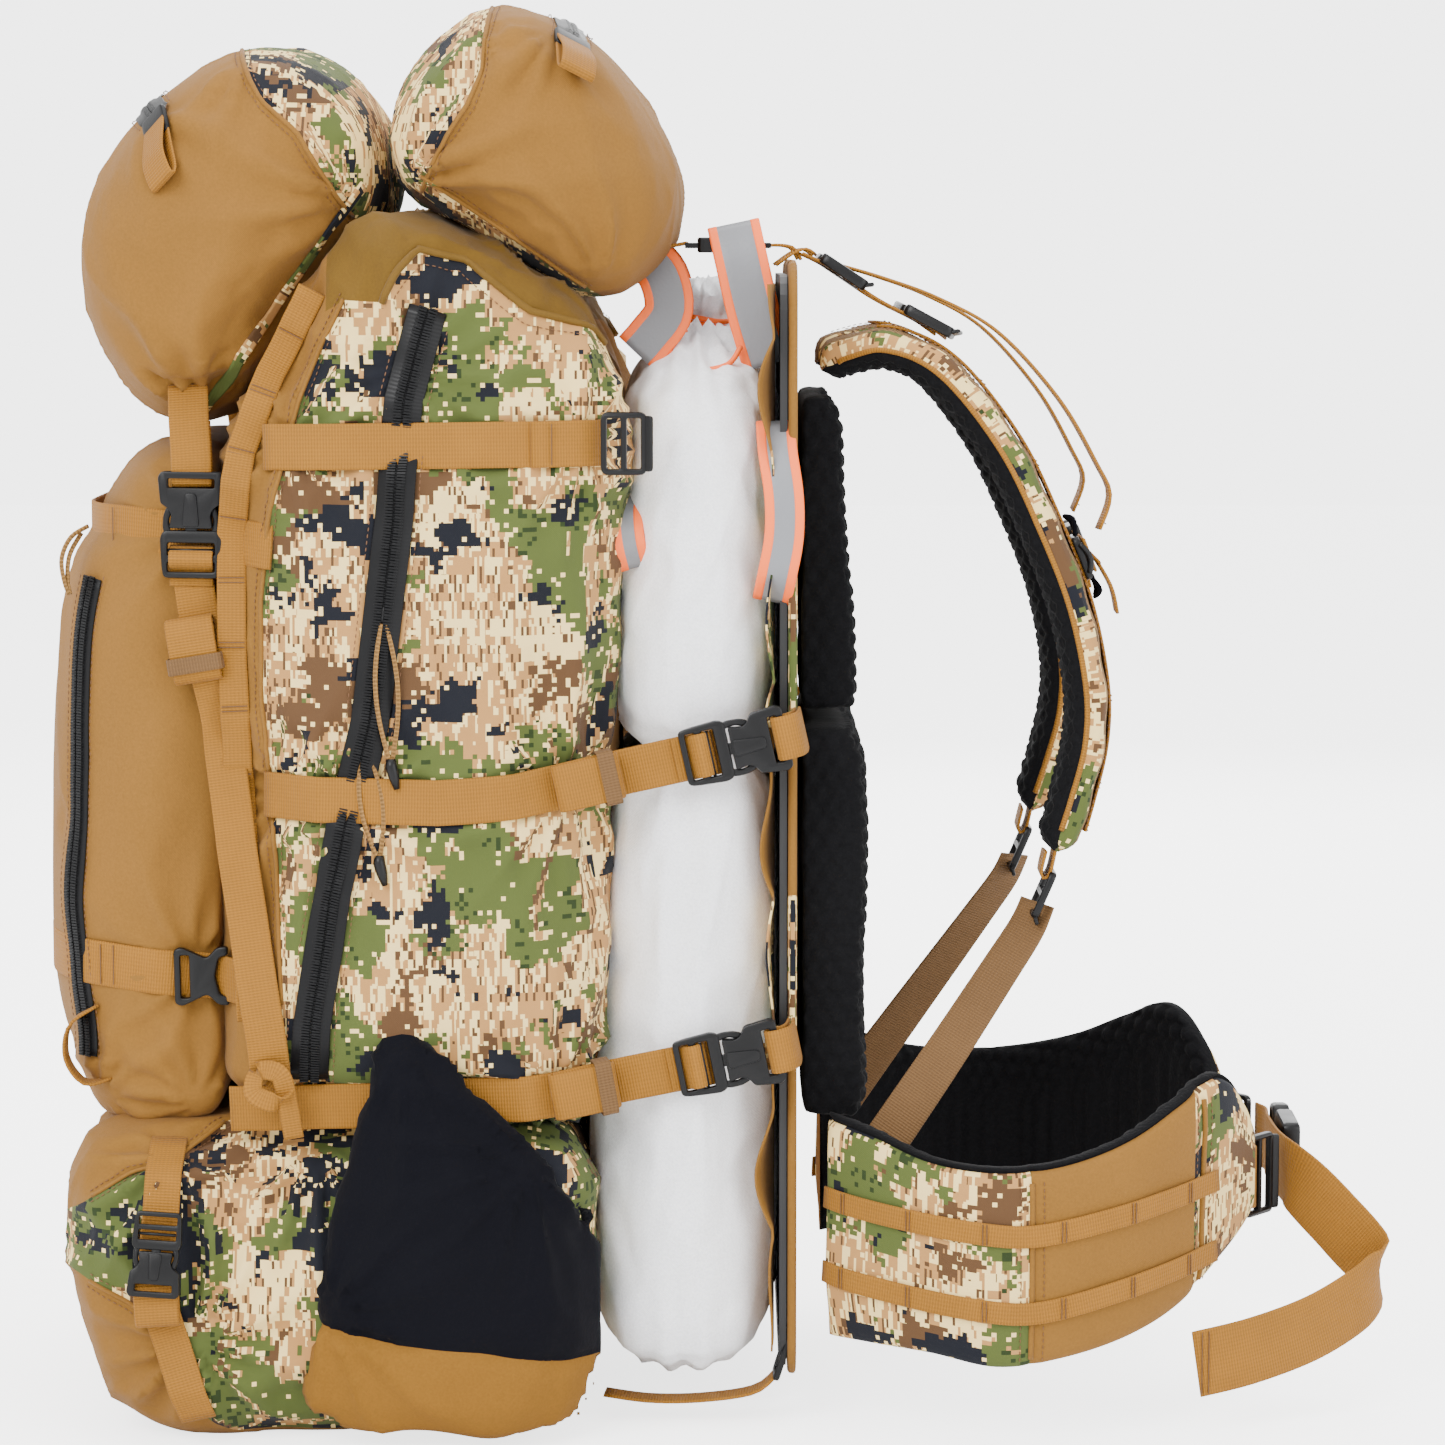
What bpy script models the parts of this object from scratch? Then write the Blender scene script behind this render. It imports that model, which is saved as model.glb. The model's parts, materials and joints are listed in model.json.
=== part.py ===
"""Hunting backpack, packed out, with two game bags strapped on its load shelf.

Metres. +X is the way the wearer faces, +Y the wearer's left, +Z up.
The floor is Z = 0 and the origin is under the middle of the whole pack.
Right-hand pieces (Y < 0) are built first and mirrored to the left.
"""
import math

import bmesh
import bpy
from mathutils import Vector
from mathutils.bvhtree import BVHTree

for stale in list(bpy.data.objects):
    bpy.data.objects.remove(stale, do_unlink=True)

# ---------------------------------------------------------------- dimensions
FRONT_X = -0.3775            # foremost point of the front pocket
PANEL_X = -0.2725            # seam plane between front pocket and main bag
BAG_HALF = 0.166             # half width of the main bag at its side seams
BASE_HALF = 0.170            # half width of the bottom compartment
POCKET_HALF = 0.142          # half width of the front pocket at the seam plane
LID_HALF = 0.156             # half width of both lid pods
GAME_HALF = 0.148            # half width of the game bags
FRAME_HALF = 0.140           # half width of the frame sheet
FRAME_FRONT = 0.0315         # load side of the frame sheet
FRAME_THICK = 0.0040
FRAME_FOOT = 0.030
FRAME_TOP = 0.640
COVER_THICK = 0.0050         # padded cover on the wearer's side of the sheet
WEB = 0.025                  # compression, lid and harness webbing
WEB_THICK = 0.0018
BELT_WEB = 0.038             # hip belt webbing
GAP = 0.0006                 # clearance between neighbouring pieces
STRAP_PLANE = -0.1610        # inner face of the side straps past the bag
BUCKLE_LENGTH = 0.058
BUCKLE_WIDTH = 0.036
TONGUE = 0.017               # reach of a buckle latch into its socket
STRAP_WIDTH = 0.062          # shoulder strap
STRAP_THICK = 0.022
BELT_PAD = 0.016             # thickness of the hip belt wings


# ---------------------------------------------------------------- mesh tools
def body(name, points, faces):
    """One closed solid from points and faces."""
    work = bmesh.new()
    corners = [work.verts.new(point) for point in points]
    for face in faces:
        work.faces.new([corners[i] for i in face])
    bmesh.ops.recalc_face_normals(work, faces=work.faces)
    mesh = bpy.data.meshes.new(name)
    work.to_mesh(mesh)
    work.free()
    solid = bpy.data.objects.new(name, mesh)
    bpy.context.scene.collection.objects.link(solid)
    return solid


def loft(name, rings, ends=None):
    """Skin a row of equal rings; each end closes on a middle point."""
    count = len(rings[0])
    points = [point for ring in rings for point in ring]
    faces = []
    for r in range(len(rings) - 1):
        for i in range(count):
            j = (i + 1) % count
            faces.append((r * count + i, r * count + j,
                          (r + 1) * count + j, (r + 1) * count + i))
    for side, ring in enumerate((rings[0], rings[-1])):
        tip = ends[side] if ends else sum((Vector(p) for p in ring), Vector()) / count
        points.append(tip)
        start = 0 if side == 0 else (len(rings) - 1) * count
        for i in range(count):
            faces.append((start + i, start + (i + 1) % count, len(points) - 1))
    return body(name, points, faces)


def bar(name, rings):
    """Skin four-cornered rings with plain end faces, for webbing and blocks."""
    count = len(rings[0])
    points = [point for ring in rings for point in ring]
    faces = [tuple(range(count)), tuple(range(len(points) - count, len(points)))]
    for r in range(len(rings) - 1):
        for i in range(count):
            j = (i + 1) % count
            faces.append((r * count + i, r * count + j,
                          (r + 1) * count + j, (r + 1) * count + i))
    return body(name, points, faces)


def rounded(outline, radius, steps=2):
    """Round every corner of a closed 2-D outline."""
    result = []
    count = len(outline)
    for i in range(count):
        before, here, after = (Vector(outline[(i + k) % count]) for k in (-1, 0, 1))
        to_before, to_after = before - here, after - here
        reach = min(radius, 0.45 * to_before.length, 0.45 * to_after.length)
        start = here + to_before.normalized() * reach
        end = here + to_after.normalized() * reach
        for k in range(steps + 1):
            t = k / steps
            result.append((1 - t) ** 2 * start + 2 * t * (1 - t) * here + t * t * end)
    return result


def pillow(name, outline, radius, profile, anchor):
    """Loft a side outline (X, Z) across Y.

    profile rows are (half width, scale along X, scale along Z) from the
    outermost inwards; anchor is the (X, Z) the scales work about.
    """
    loop = rounded(outline, radius)
    rows = [(-y, sx, sz) for y, sx, sz in profile]
    rows += [(y, sx, sz) for y, sx, sz in reversed(profile)]
    rings = [[Vector((anchor[0] + (p.x - anchor[0]) * sx, y,
                      anchor[1] + (p.y - anchor[1]) * sz)) for p in loop]
             for y, sx, sz in rows]
    return loft(name, rings)


def oval(x_low, x_high, half, z, power=3.2, count=26):
    """Superellipse ring in a level plane."""
    ring = []
    for i in range(count):
        a = 2 * math.pi * i / count
        c, s = math.cos(a), math.sin(a)
        u = math.copysign(abs(c) ** (2 / power), c)
        v = math.copysign(abs(s) ** (2 / power), s)
        ring.append(Vector(((x_low + x_high) / 2 + u * (x_high - x_low) / 2, v * half, z)))
    return ring


def ribbon(name, path, across, width, thick):
    """Webbing: path runs along its middle, across gives its width direction."""
    rings = []
    for i, point in enumerate(path):
        ahead = path[min(i + 1, len(path) - 1)]
        behind = path[max(i - 1, 0)]
        along = (ahead - behind).normalized()
        side = across[i] if isinstance(across, list) else across
        side = (side - along * side.dot(along)).normalized()
        out = along.cross(side).normalized()
        half, lift = side * width / 2, out * thick / 2
        rings.append([point - half - lift, point + half - lift,
                      point + half + lift, point - half + lift])
    return bar(name, rings)


def plate(name, outline, holes, thick, origin, u_axis, v_axis, bevel=0.0):
    """Flat plate with holes; outline and holes are (u, v) loops on one face."""
    normal = u_axis.cross(v_axis).normalized()
    work = bmesh.new()
    edges = []
    for loop in [outline] + holes:
        corners = [work.verts.new(origin + u_axis * p[0] + v_axis * p[1]) for p in loop]
        edges += [work.edges.new((corners[i], corners[(i + 1) % len(corners)]))
                  for i in range(len(corners))]
    bmesh.ops.triangle_fill(work, use_beauty=True, edges=edges)
    grown = bmesh.ops.extrude_face_region(work, geom=work.faces[:])["geom"]
    for vert in [g for g in grown if isinstance(g, bmesh.types.BMVert)]:
        vert.co += normal * thick
    bmesh.ops.recalc_face_normals(work, faces=work.faces)
    if bevel:
        rims = [e for e in work.edges
                if len(e.link_faces) == 2 and e.calc_face_angle() > 1.2]
        bmesh.ops.bevel(work, geom=rims, offset=bevel, segments=1, affect="EDGES")
        bmesh.ops.recalc_face_normals(work, faces=work.faces)
    mesh = bpy.data.meshes.new(name)
    work.to_mesh(mesh)
    work.free()
    solid = bpy.data.objects.new(name, mesh)
    bpy.context.scene.collection.objects.link(solid)
    return solid


def fuse(base, *extras):
    """Join overlapping solids into one."""
    for extra in extras:
        step = base.modifiers.new("fuse", "BOOLEAN")
        step.operation = "UNION"
        step.solver = "EXACT"
        step.object = extra
        done = bpy.data.meshes.new_from_object(
            base.evaluated_get(bpy.context.evaluated_depsgraph_get()))
        base.modifiers.clear()
        base.data = done
        bpy.data.objects.remove(extra, do_unlink=True)
    return base


def mirrored(right):
    """Left-hand twin of a right-hand piece."""
    mesh = right.data.copy()
    for vert in mesh.vertices:
        vert.co.y = -vert.co.y
    mesh.flip_normals()
    twin = bpy.data.objects.new(right.name[:-2] + "_l", mesh)
    bpy.context.scene.collection.objects.link(twin)
    return twin


def rectangle(u0, u1, v0, v1):
    return [(u0, v0), (u1, v0), (u1, v1), (u0, v1)]


# ---------------------------------------------------------------- bag bodies
main_outline = [(-0.2715, 0.172), (-0.2715, 0.552), (-0.245, 0.590), (-0.228, 0.6135),
                (-0.206, 0.652), (-0.186, 0.6765), (-0.160, 0.667), (-0.133, 0.654),
                (-0.098, 0.633), (-0.072, 0.610), (-0.058, 0.583), (-0.057, 0.530),
                (-0.061, 0.480), (-0.063, 0.420), (-0.068, 0.376), (-0.069, 0.338),
                (-0.072, 0.243), (-0.075, 0.1875), (-0.0765, 0.172)]
main_bag = pillow("main_bag", main_outline, 0.020,
                  [(0.1735, 0.25, 0.25), (0.1725, 0.50, 0.50), (0.1700, 0.75, 0.75),
                   (BAG_HALF, 0.88, 0.90), (0.157, 0.95, 0.96), (0.140, 0.99, 0.99),
                   (0.115, 1.0, 1.0)], (-0.166, 0.395))

pocket_outline = [(-0.274, 0.548), (-0.300, 0.548), (-0.326, 0.541), (-0.345, 0.512),
                  (-0.361, 0.486), (-0.370, 0.455), (-0.374, 0.397), (FRONT_X, 0.310),
                  (FRONT_X, 0.258), (-0.370, 0.223), (-0.363, 0.190), (-0.357, 0.1715),
                  (-0.274, 0.1715)]
front_pocket = pillow("front_pocket", pocket_outline, 0.018,
                      [(POCKET_HALF, 0.30, 0.95), (0.137, 0.52, 0.97), (0.127, 0.72, 0.985),
                       (0.110, 0.86, 0.995), (0.085, 0.95, 1.0), (0.050, 1.0, 1.0)],
                      (-0.2735, 0.35))

base_outline = [(-0.356, 0.1690), (-0.3595, 0.1350), (-0.3595, 0.0925), (-0.352, 0.057), (-0.339, 0.022),
                (-0.319, 0.004), (-0.295, 0.0), (-0.110, 0.0), (-0.088, 0.006),
                (-0.0775, 0.030), (-0.0765, 0.100), (-0.0765, 0.1690)]
bottom_compartment = pillow("bottom_compartment", base_outline, 0.016,
                            [(0.1790, 0.30, 0.30), (0.1775, 0.55, 0.55), (0.1750, 0.75, 0.75),
                             (BASE_HALF, 0.88, 0.88), (0.158, 0.95, 0.95),
                             (0.135, 1.0, 1.0)], (-0.19, 0.085))

lid_rings = [(LID_HALF, 0.30, 0.30), (0.153, 0.52, 0.52), (0.145, 0.72, 0.72),
             (0.130, 0.86, 0.86), (0.108, 0.95, 0.95), (0.075, 1.0, 1.0)]
lid_front = pillow("lid_front",
                   [(-0.263, 0.763), (-0.309, 0.7355), (-0.337, 0.697), (-0.353, 0.6535),
                    (-0.349, 0.6205), (-0.333, 0.5875), (-0.309, 0.556), (-0.283, 0.5555),
                    (-0.264, 0.584), (-0.235, 0.628), (-0.189, 0.6865), (-0.1875, 0.705),
                    (-0.192, 0.724), (-0.210, 0.746), (-0.235, 0.759)],
                   0.018, lid_rings, (-0.268, 0.662))
lid_rear = pillow("lid_rear",
                  [(-0.1275, 0.787), (-0.1605, 0.763), (-0.180, 0.735), (-0.1845, 0.705),
                   (-0.181, 0.688), (-0.150, 0.675), (-0.125, 0.660), (-0.089, 0.637),
                   (-0.064, 0.6245), (-0.043, 0.640), (-0.031, 0.660), (-0.0265, 0.685),
                   (-0.032, 0.706), (-0.051, 0.741), (-0.0755, 0.768), (-0.106, 0.782)],
                  0.018, lid_rings, (-0.105, 0.707))


# ---------------------------------------------------------------- game bags
def bag_back(z):
    """Rear face of the main bag and base at a height."""
    table = [(0.0, -0.0745), (0.172, -0.0735), (0.243, -0.070), (0.338, -0.067),
             (0.376, -0.066), (0.420, -0.061), (0.480, -0.059), (0.530, -0.055),
             (0.583, -0.054), (0.700, -0.045)]
    for (z0, x0), (z1, x1) in zip(table, table[1:]):
        if z <= z1:
            return x0 + (x1 - x0) * (z - z0) / (z1 - z0)
    return table[-1][1]


shelf = FRAME_FRONT - 0.0012
lower_rows = [(0.034, 0.30, 0.100), (0.037, 0.62, 0.128), (0.046, 0.86, 0.141),
              (0.062, 0.97, 0.146), (0.100, 1.0, GAME_HALF), (0.180, 1.0, GAME_HALF),
              (0.260, 1.0, GAME_HALF), (0.320, 1.0, 0.147), (0.350, 0.97, 0.143),
              (0.364, 0.86, 0.136), (0.371, 0.62, 0.120), (0.373, 0.30, 0.100)]
upper_rows = [(0.3765, 0.30, 0.100), (0.379, 0.62, 0.124), (0.387, 0.86, 0.138),
              (0.405, 0.97, 0.145), (0.440, 1.0, GAME_HALF), (0.500, 1.0, 0.147),
              (0.545, 1.0, 0.142), (0.570, 0.96, 0.130), (0.587, 0.84, 0.105),
              (0.600, 0.58, 0.068), (0.608, 0.36, 0.034), (0.616, 0.34, 0.026),
              (0.624, 0.42, 0.034), (0.630, 0.44, 0.038), (0.633, 0.30, 0.028)]


def game_bag(name, rows):
    rings = []
    for z, spread, half in rows:
        low, high = bag_back(z), shelf
        middle = (low + high) / 2
        reach = (high - low) / 2 * spread
        rings.append(oval(middle - reach, middle + reach, half, z))
    return loft(name, rings)


game_bag_lower = game_bag("game_bag_lower", lower_rows)
game_bag_upper = game_bag("game_bag_upper", upper_rows)

# ---------------------------------------------------------------- frame
Y_AXIS, Z_AXIS, X_AXIS = Vector((0, 1, 0)), Vector((0, 0, 1)), Vector((1, 0, 0))


def slab(name, half_low, half_high, foot, top, x, thick, holes=(), corner=0.03):
    outline = rounded([(-half_low, foot), (half_low, foot), (half_high, top), (-half_high, top)],
                      corner, 5)
    return plate(name, outline, [list(hole) for hole in holes], thick,
                 Vector((x, 0, 0)), Y_AXIS, Z_AXIS)


slots = [rounded(rectangle(y - 0.012, y + 0.012, z, z + 0.065), 0.008, 1)
         for y in (-0.085, 0.0, 0.085) for z in (0.110, 0.300, 0.490)]
frame_sheet = slab("frame_sheet", FRAME_HALF, FRAME_HALF - 0.008, FRAME_FOOT, FRAME_TOP,
                   FRAME_FRONT, FRAME_THICK, slots)
cover_x = FRAME_FRONT + FRAME_THICK + GAP
back_panel = slab("back_panel", FRAME_HALF + 0.004, FRAME_HALF - 0.004, 0.026, 0.648,
                  cover_x, COVER_THICK)
for height in (0.3905, 0.2205):
    for side in (-1, 1):
        tab_path = [Vector((cover_x + 0.0030, side * 0.136, height)),
                    Vector((cover_x + 0.0020, side * 0.147, height - 0.0005)),
                    Vector((cover_x - 0.0030, side * 0.1565, height - 0.0015)),
                    Vector((cover_x - 0.0150, side * 0.1590, height - 0.0035))]
        tab = ribbon("tab", tab_path, Z_AXIS, WEB - 0.001, WEB_THICK)
        fuse(back_panel, tab)

pad_x = cover_x + COVER_THICK + 0.0025
pad_rings = [(1.0, 0.55, 0.93), (0.985, 0.80, 0.97), (0.95, 0.95, 0.99), (0.85, 1.0, 1.0)]


def back_pad(name, outline, half):
    anchor = (pad_x, sum(p[1] for p in outline) / len(outline))
    rings = [(half * y, sx, sz) for y, sx, sz in pad_rings]
    return pillow(name, outline, 0.006, rings, anchor)


lumbar_pad = back_pad("lumbar_pad",
                      [(pad_x, 0.170), (0.074, 0.168), (0.080, 0.180), (0.0785, 0.235),
                       (0.080, 0.340), (0.0795, 0.370), (0.072, 0.391), (pad_x, 0.391)], 0.118)
yoke = back_pad("yoke", [(pad_x, 0.396), (0.074, 0.398), (0.0735, 0.430), (0.069, 0.500),
                         (0.0655, 0.560), (0.059, 0.5735), (pad_x, 0.5735)], 0.094)

# ---------------------------------------------------------------- surfaces
trees = [BVHTree.FromObject(solid, bpy.context.evaluated_depsgraph_get())
         for solid in (main_bag, front_pocket, bottom_compartment)]


def side_y(x, z):
    """Outermost right-hand surface of the bag at a side-view point."""
    found = [tree.ray_cast(Vector((x, -0.5, z)), Y_AXIS)[0] for tree in trees]
    found = [hit.y for hit in found if hit is not None]
    return min(found) if found else 0.0


def side_path(points, width, lift, plane=0.0, step=0.013):
    """Follow the bag side along side-view points, clear of it by lift."""
    path = []
    for (x0, z0), (x1, z1) in zip(points, points[1:]):
        count = max(1, round(math.hypot(x1 - x0, z1 - z0) / step))
        for k in range(count + (1 if (x1, z1) == points[-1] else 0)):
            t = k / count
            x, z = x0 + (x1 - x0) * t, z0 + (z1 - z0) * t
            run = Vector((x1 - x0, z1 - z0)).normalized() * width / 2
            reach = [side_y(x + a * -run.y + b * run.x, z + a * run.x + b * run.y)
                     for a in (-1, -0.5, 0, 0.5, 1) for b in (-0.4, 0, 0.4)]
            path.append(Vector((x, min(min(reach) - lift, plane), z)))
    return path


def eased(path, held_from=1.0, rounds=6):
    """Pull a path outwards into a taut, gentle curve, up to where it is held."""
    for _ in range(rounds):
        for i in range(1, len(path) - 1):
            if path[i].x < held_from:
                path[i].y = min(path[i].y, (path[i - 1].y + path[i + 1].y) / 2)
    return path


# ---------------------------------------------------------------- zips
zip_line = [(-0.158, 0.622), (-0.171, 0.573), (-0.1765, 0.508), (-0.1900, 0.400),
            (-0.2035, 0.345), (-0.214, 0.290), (-0.223, 0.235), (-0.226, 0.203)]
ZIP_WIDTH = 0.020
side_zip = ribbon("side_zip_r", side_path(zip_line, ZIP_WIDTH, 0.0012), -X_AXIS,
                  ZIP_WIDTH, 0.0012)
mirrored(side_zip)


def front_surface(y, z):
    hit = trees[1].ray_cast(Vector((-0.6, y, z)), X_AXIS)[0]
    return hit


front_zip_path, front_zip_across = [], []
for k in range(13):
    z = 0.472 - 0.262 * k / 12
    y = -0.1215
    here, inner, outer = (front_surface(y + d, z) for d in (0, 0.006, -0.006))
    across = (outer - inner).normalized()
    out = Vector((across.y, -across.x, 0)).normalized()
    if out.x > 0:
        out = -out
    front_zip_path.append(here + out * 0.0026)
    front_zip_across.append(across)
front_zip = ribbon("front_zip_r", front_zip_path, front_zip_across, 0.016, 0.0012)
mirrored(front_zip)

# ---------------------------------------------------------------- side straps
STRAP_LIFT = 0.0046
STRAP_HELD = -0.050          # the buckles hold the straps flat from here on


def roll(strap, path, x0, x1, depth):
    """Folded strap tail held in a bundle on the outside of the strap."""
    def on_path(x):
        for a, b in zip(path, path[1:]):
            if a.x <= x <= b.x:
                return a.lerp(b, (x - a.x) / (b.x - a.x))
        return path[-1]

    start, end = on_path(x0), on_path(x1)
    u_axis = (end - start).normalized()
    v_axis = Y_AXIS.cross(u_axis).normalized()
    outline = rounded(rectangle(0, (end - start).length, -WEB / 2 - 0.001, WEB / 2 + 0.001),
                      0.003, 2)
    if u_axis.cross(v_axis).y > 0:
        v_axis = -v_axis
    return fuse(strap, plate("roll", outline, [], depth, start, u_axis, v_axis))


strap_top = ribbon("strap_top_r",
                   eased(side_path([(-0.247, 0.548), (-0.066, 0.550)], WEB, STRAP_LIFT)),
                   Z_AXIS, WEB, WEB_THICK)
mid_path = eased(side_path([(-0.249, 0.359), (-0.154, 0.3565), (-0.112, 0.3590),
                            (-0.090, 0.3630), (-0.002, 0.3825)], WEB, STRAP_LIFT,
                           STRAP_PLANE - WEB_THICK / 2), STRAP_HELD)
strap_mid = ribbon("strap_mid_r", mid_path, Z_AXIS, WEB, WEB_THICK)
low_path = eased(side_path([(-0.270, 0.185), (-0.188, 0.188), (-0.111, 0.1920),
                            (-0.088, 0.1945), (-0.006, 0.2110)], WEB, STRAP_LIFT,
                           STRAP_PLANE - WEB_THICK / 2), STRAP_HELD)
strap_low = ribbon("strap_low_r", low_path, Z_AXIS, WEB, WEB_THICK)
roll(strap_mid, mid_path, -0.093, -0.056, 0.009)
roll(strap_low, low_path, -0.096, -0.059, 0.009)
for strap in (strap_top, strap_mid, strap_low):
    mirrored(strap)


# ---------------------------------------------------------------- buckles
def ladder_lock(name, middle, u_axis, v_axis, width, length, thick=0.005):
    """Frame with two slots and a middle bar, web running along u."""
    outline = rounded(rectangle(-length / 2, length / 2, -width / 2, width / 2), 0.004, 2)
    rail, rib = 0.0035, 0.0040
    slot = (length - 3 * rib) / 2
    holes = []
    for start in (-length / 2 + rib, -length / 2 + 2 * rib + slot):
        holes.append(rectangle(start, start + slot, -width / 2 + rail, width / 2 - rail))
    normal = u_axis.cross(v_axis).normalized()
    return plate(name, outline, holes, thick, middle - normal * thick / 2, u_axis, v_axis)


def latch(name, root, u_axis, v_axis, out):
    """Strap half of a side-release buckle: slotted frame and a tongue."""
    frame_length = 0.026
    depth = 0.0060
    outline = rounded([(0, -0.0155), (frame_length - 0.004, -0.0170), (frame_length, -0.0150),
                       (frame_length, 0.0150), (frame_length - 0.004, 0.0170), (0, 0.0155)],
                      0.002, 2)
    holes = [rectangle(0.0035, 0.0095, -0.0128, 0.0128),
             rectangle(0.0135, 0.0185, -0.0128, 0.0128)]
    base = out * (WEB_THICK + 0.0010)
    if u_axis.cross(v_axis).dot(out) < 0:
        v_axis = -v_axis
    frame = plate(name, outline, holes, depth, root + base, u_axis, v_axis)
    middle = root + base + out * (depth / 2 - 0.0015)
    tongue = plate("tongue", rounded([(frame_length - 0.002, -0.0060), (frame_length + 0.010, -0.0060),
                                      (frame_length + TONGUE, -0.0035), (frame_length + TONGUE, 0.0035),
                                      (frame_length + 0.010, 0.0060), (frame_length - 0.002, 0.0060)],
                                     0.001, 1), [], 0.0030, middle, u_axis, v_axis)
    arms = []
    for side in (-1, 1):
        arms.append(plate("arm", [(frame_length - 0.002, side * 0.0150), (frame_length + 0.004, side * 0.0152),
                                  (frame_length + 0.012, side * 0.0130), (frame_length + 0.012, side * 0.0108),
                                  (frame_length + 0.004, side * 0.0122), (frame_length - 0.002, side * 0.0118)],
                          [], 0.0030, middle, u_axis, v_axis))
    return fuse(frame, tongue, *arms)


def socket(name, root, u_axis, v_axis, out):
    """Anchor half: two cheeks over the tongue, joined at the web bar end."""
    if u_axis.cross(v_axis).dot(out) < 0:
        v_axis = -v_axis
    start, stop = 0.0270, BUCKLE_LENGTH
    depth = 0.0080
    base = out * (WEB_THICK + 0.0002)
    cheek = [(start, -0.0120), (start + 0.008, -0.0140), (start + 0.020, -0.0165),
             (stop - 0.004, -0.0180), (stop, -0.0165), (stop, 0.0165), (stop - 0.004, 0.0180),
             (start + 0.020, 0.0165), (start + 0.008, 0.0140), (start, 0.0120)]
    slot = rectangle(stop - 0.0085, stop - 0.0035, -0.0128, 0.0128)
    parts = []
    for level, thick in ((0.0, 0.0018), (depth - 0.0018, 0.0018)):
        parts.append(plate("cheek", rounded(cheek, 0.001, 1), [slot], thick,
                           root + base + out * level, u_axis, v_axis))
    parts.append(plate("bridge", [(start + TONGUE + 0.0010, -0.0150), (stop - 0.0002, -0.0160),
                                  (stop - 0.0002, 0.0160), (start + TONGUE + 0.0010, 0.0150)],
                       [slot], depth - 0.0022, root + base + out * 0.0011, u_axis, v_axis))
    solid = fuse(*parts)
    solid.name = name
    return solid


def buckle(prefix, root, toward):
    """Closed side-release buckle on the right side, mirrored to the left."""
    u_axis = toward.normalized()
    v_axis = Vector((-u_axis.z, 0, u_axis.x))
    out = Vector((0, -1, 0))
    halves = (latch(prefix + "_latch_r", root, u_axis, v_axis, out),
              socket(prefix + "_socket_r", root, u_axis, v_axis, out))
    for half in halves:
        mirrored(half)
    return halves


buckle("mid", Vector((-0.0215, STRAP_PLANE, 0.3785)), Vector((0.0585, 0, 0.0130)))
buckle("low", Vector((-0.0250, STRAP_PLANE, 0.2075)), Vector((0.0585, 0, 0.0118)))

lock_top = ladder_lock("lock_top_r", Vector((-0.0530, strap_top.data.vertices[-1].co.y - 0.0015, 0.5500)),
                       X_AXIS, Z_AXIS, 0.032, 0.024)
mirrored(lock_top)

# lid straps: the socket hangs from the front pod, the latch stays on the strap
lid_line = [(-0.2875, 0.490), (-0.2740, 0.400), (-0.2630, 0.320), (-0.2480, 0.225), (-0.2465, 0.206)]
lid_path = eased(side_path(lid_line, 0.022, 0.0032))
lid_strap = ribbon("lid_strap_r", lid_path, X_AXIS, 0.022, WEB_THICK)
mirrored(lid_strap)
lid_root = Vector((-0.2890, lid_path[0].y - 0.0020, 0.4760))
buckle("lid", lid_root, Vector((0.0010, 0, 0.0585)))

# ---------------------------------------------------------------- sliders
slide_low, slide_high = Vector((-0.1874, 0, 0.419)), Vector((-0.1762, 0, 0.511))
for end in (slide_low, slide_high):
    end.y = min(side_y(end.x + dx, end.z) for dx in (-0.008, 0, 0.008)) - 0.0034
slide_axis = (slide_high - slide_low).normalized()
slider_place = slide_low + slide_axis * 0.040
across = Vector((0, -1, 0)).cross(slide_axis).normalized()
slider = plate("zip_slider_r", rounded(rectangle(-0.009, 0.007, -0.0055, 0.0055), 0.003, 3), [],
               0.0042, slider_place, slide_axis, across)
pull = plate("pull", rounded(rectangle(-0.030, -0.004, -0.0030, 0.0030), 0.002, 3), [],
             0.0016, slider_place + slide_axis.cross(across) * 0.0030, slide_axis, across)
fuse(slider, pull)
mirrored(slider)

# ---------------------------------------------------------------- side pockets
pocket_left = [(-0.209, 0.0095), (-0.231, 0.030), (-0.220, 0.071), (-0.2215, 0.101),
               (-0.205, 0.162), (-0.192, 0.203), (-0.184, 0.232)]
pocket_right = [(-0.080, 0.0095), (-0.0690, 0.030), (-0.0640, 0.071), (-0.0650, 0.107),
                (-0.0950, 0.162), (-0.140, 0.203), (-0.168, 0.232)]


def along_table(table, z):
    for (x0, z0), (x1, z1) in zip(table, table[1:]):
        if z <= z1:
            return x0 + (x1 - x0) * (z - z0) / (z1 - z0)
    return table[-1][0]


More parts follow.
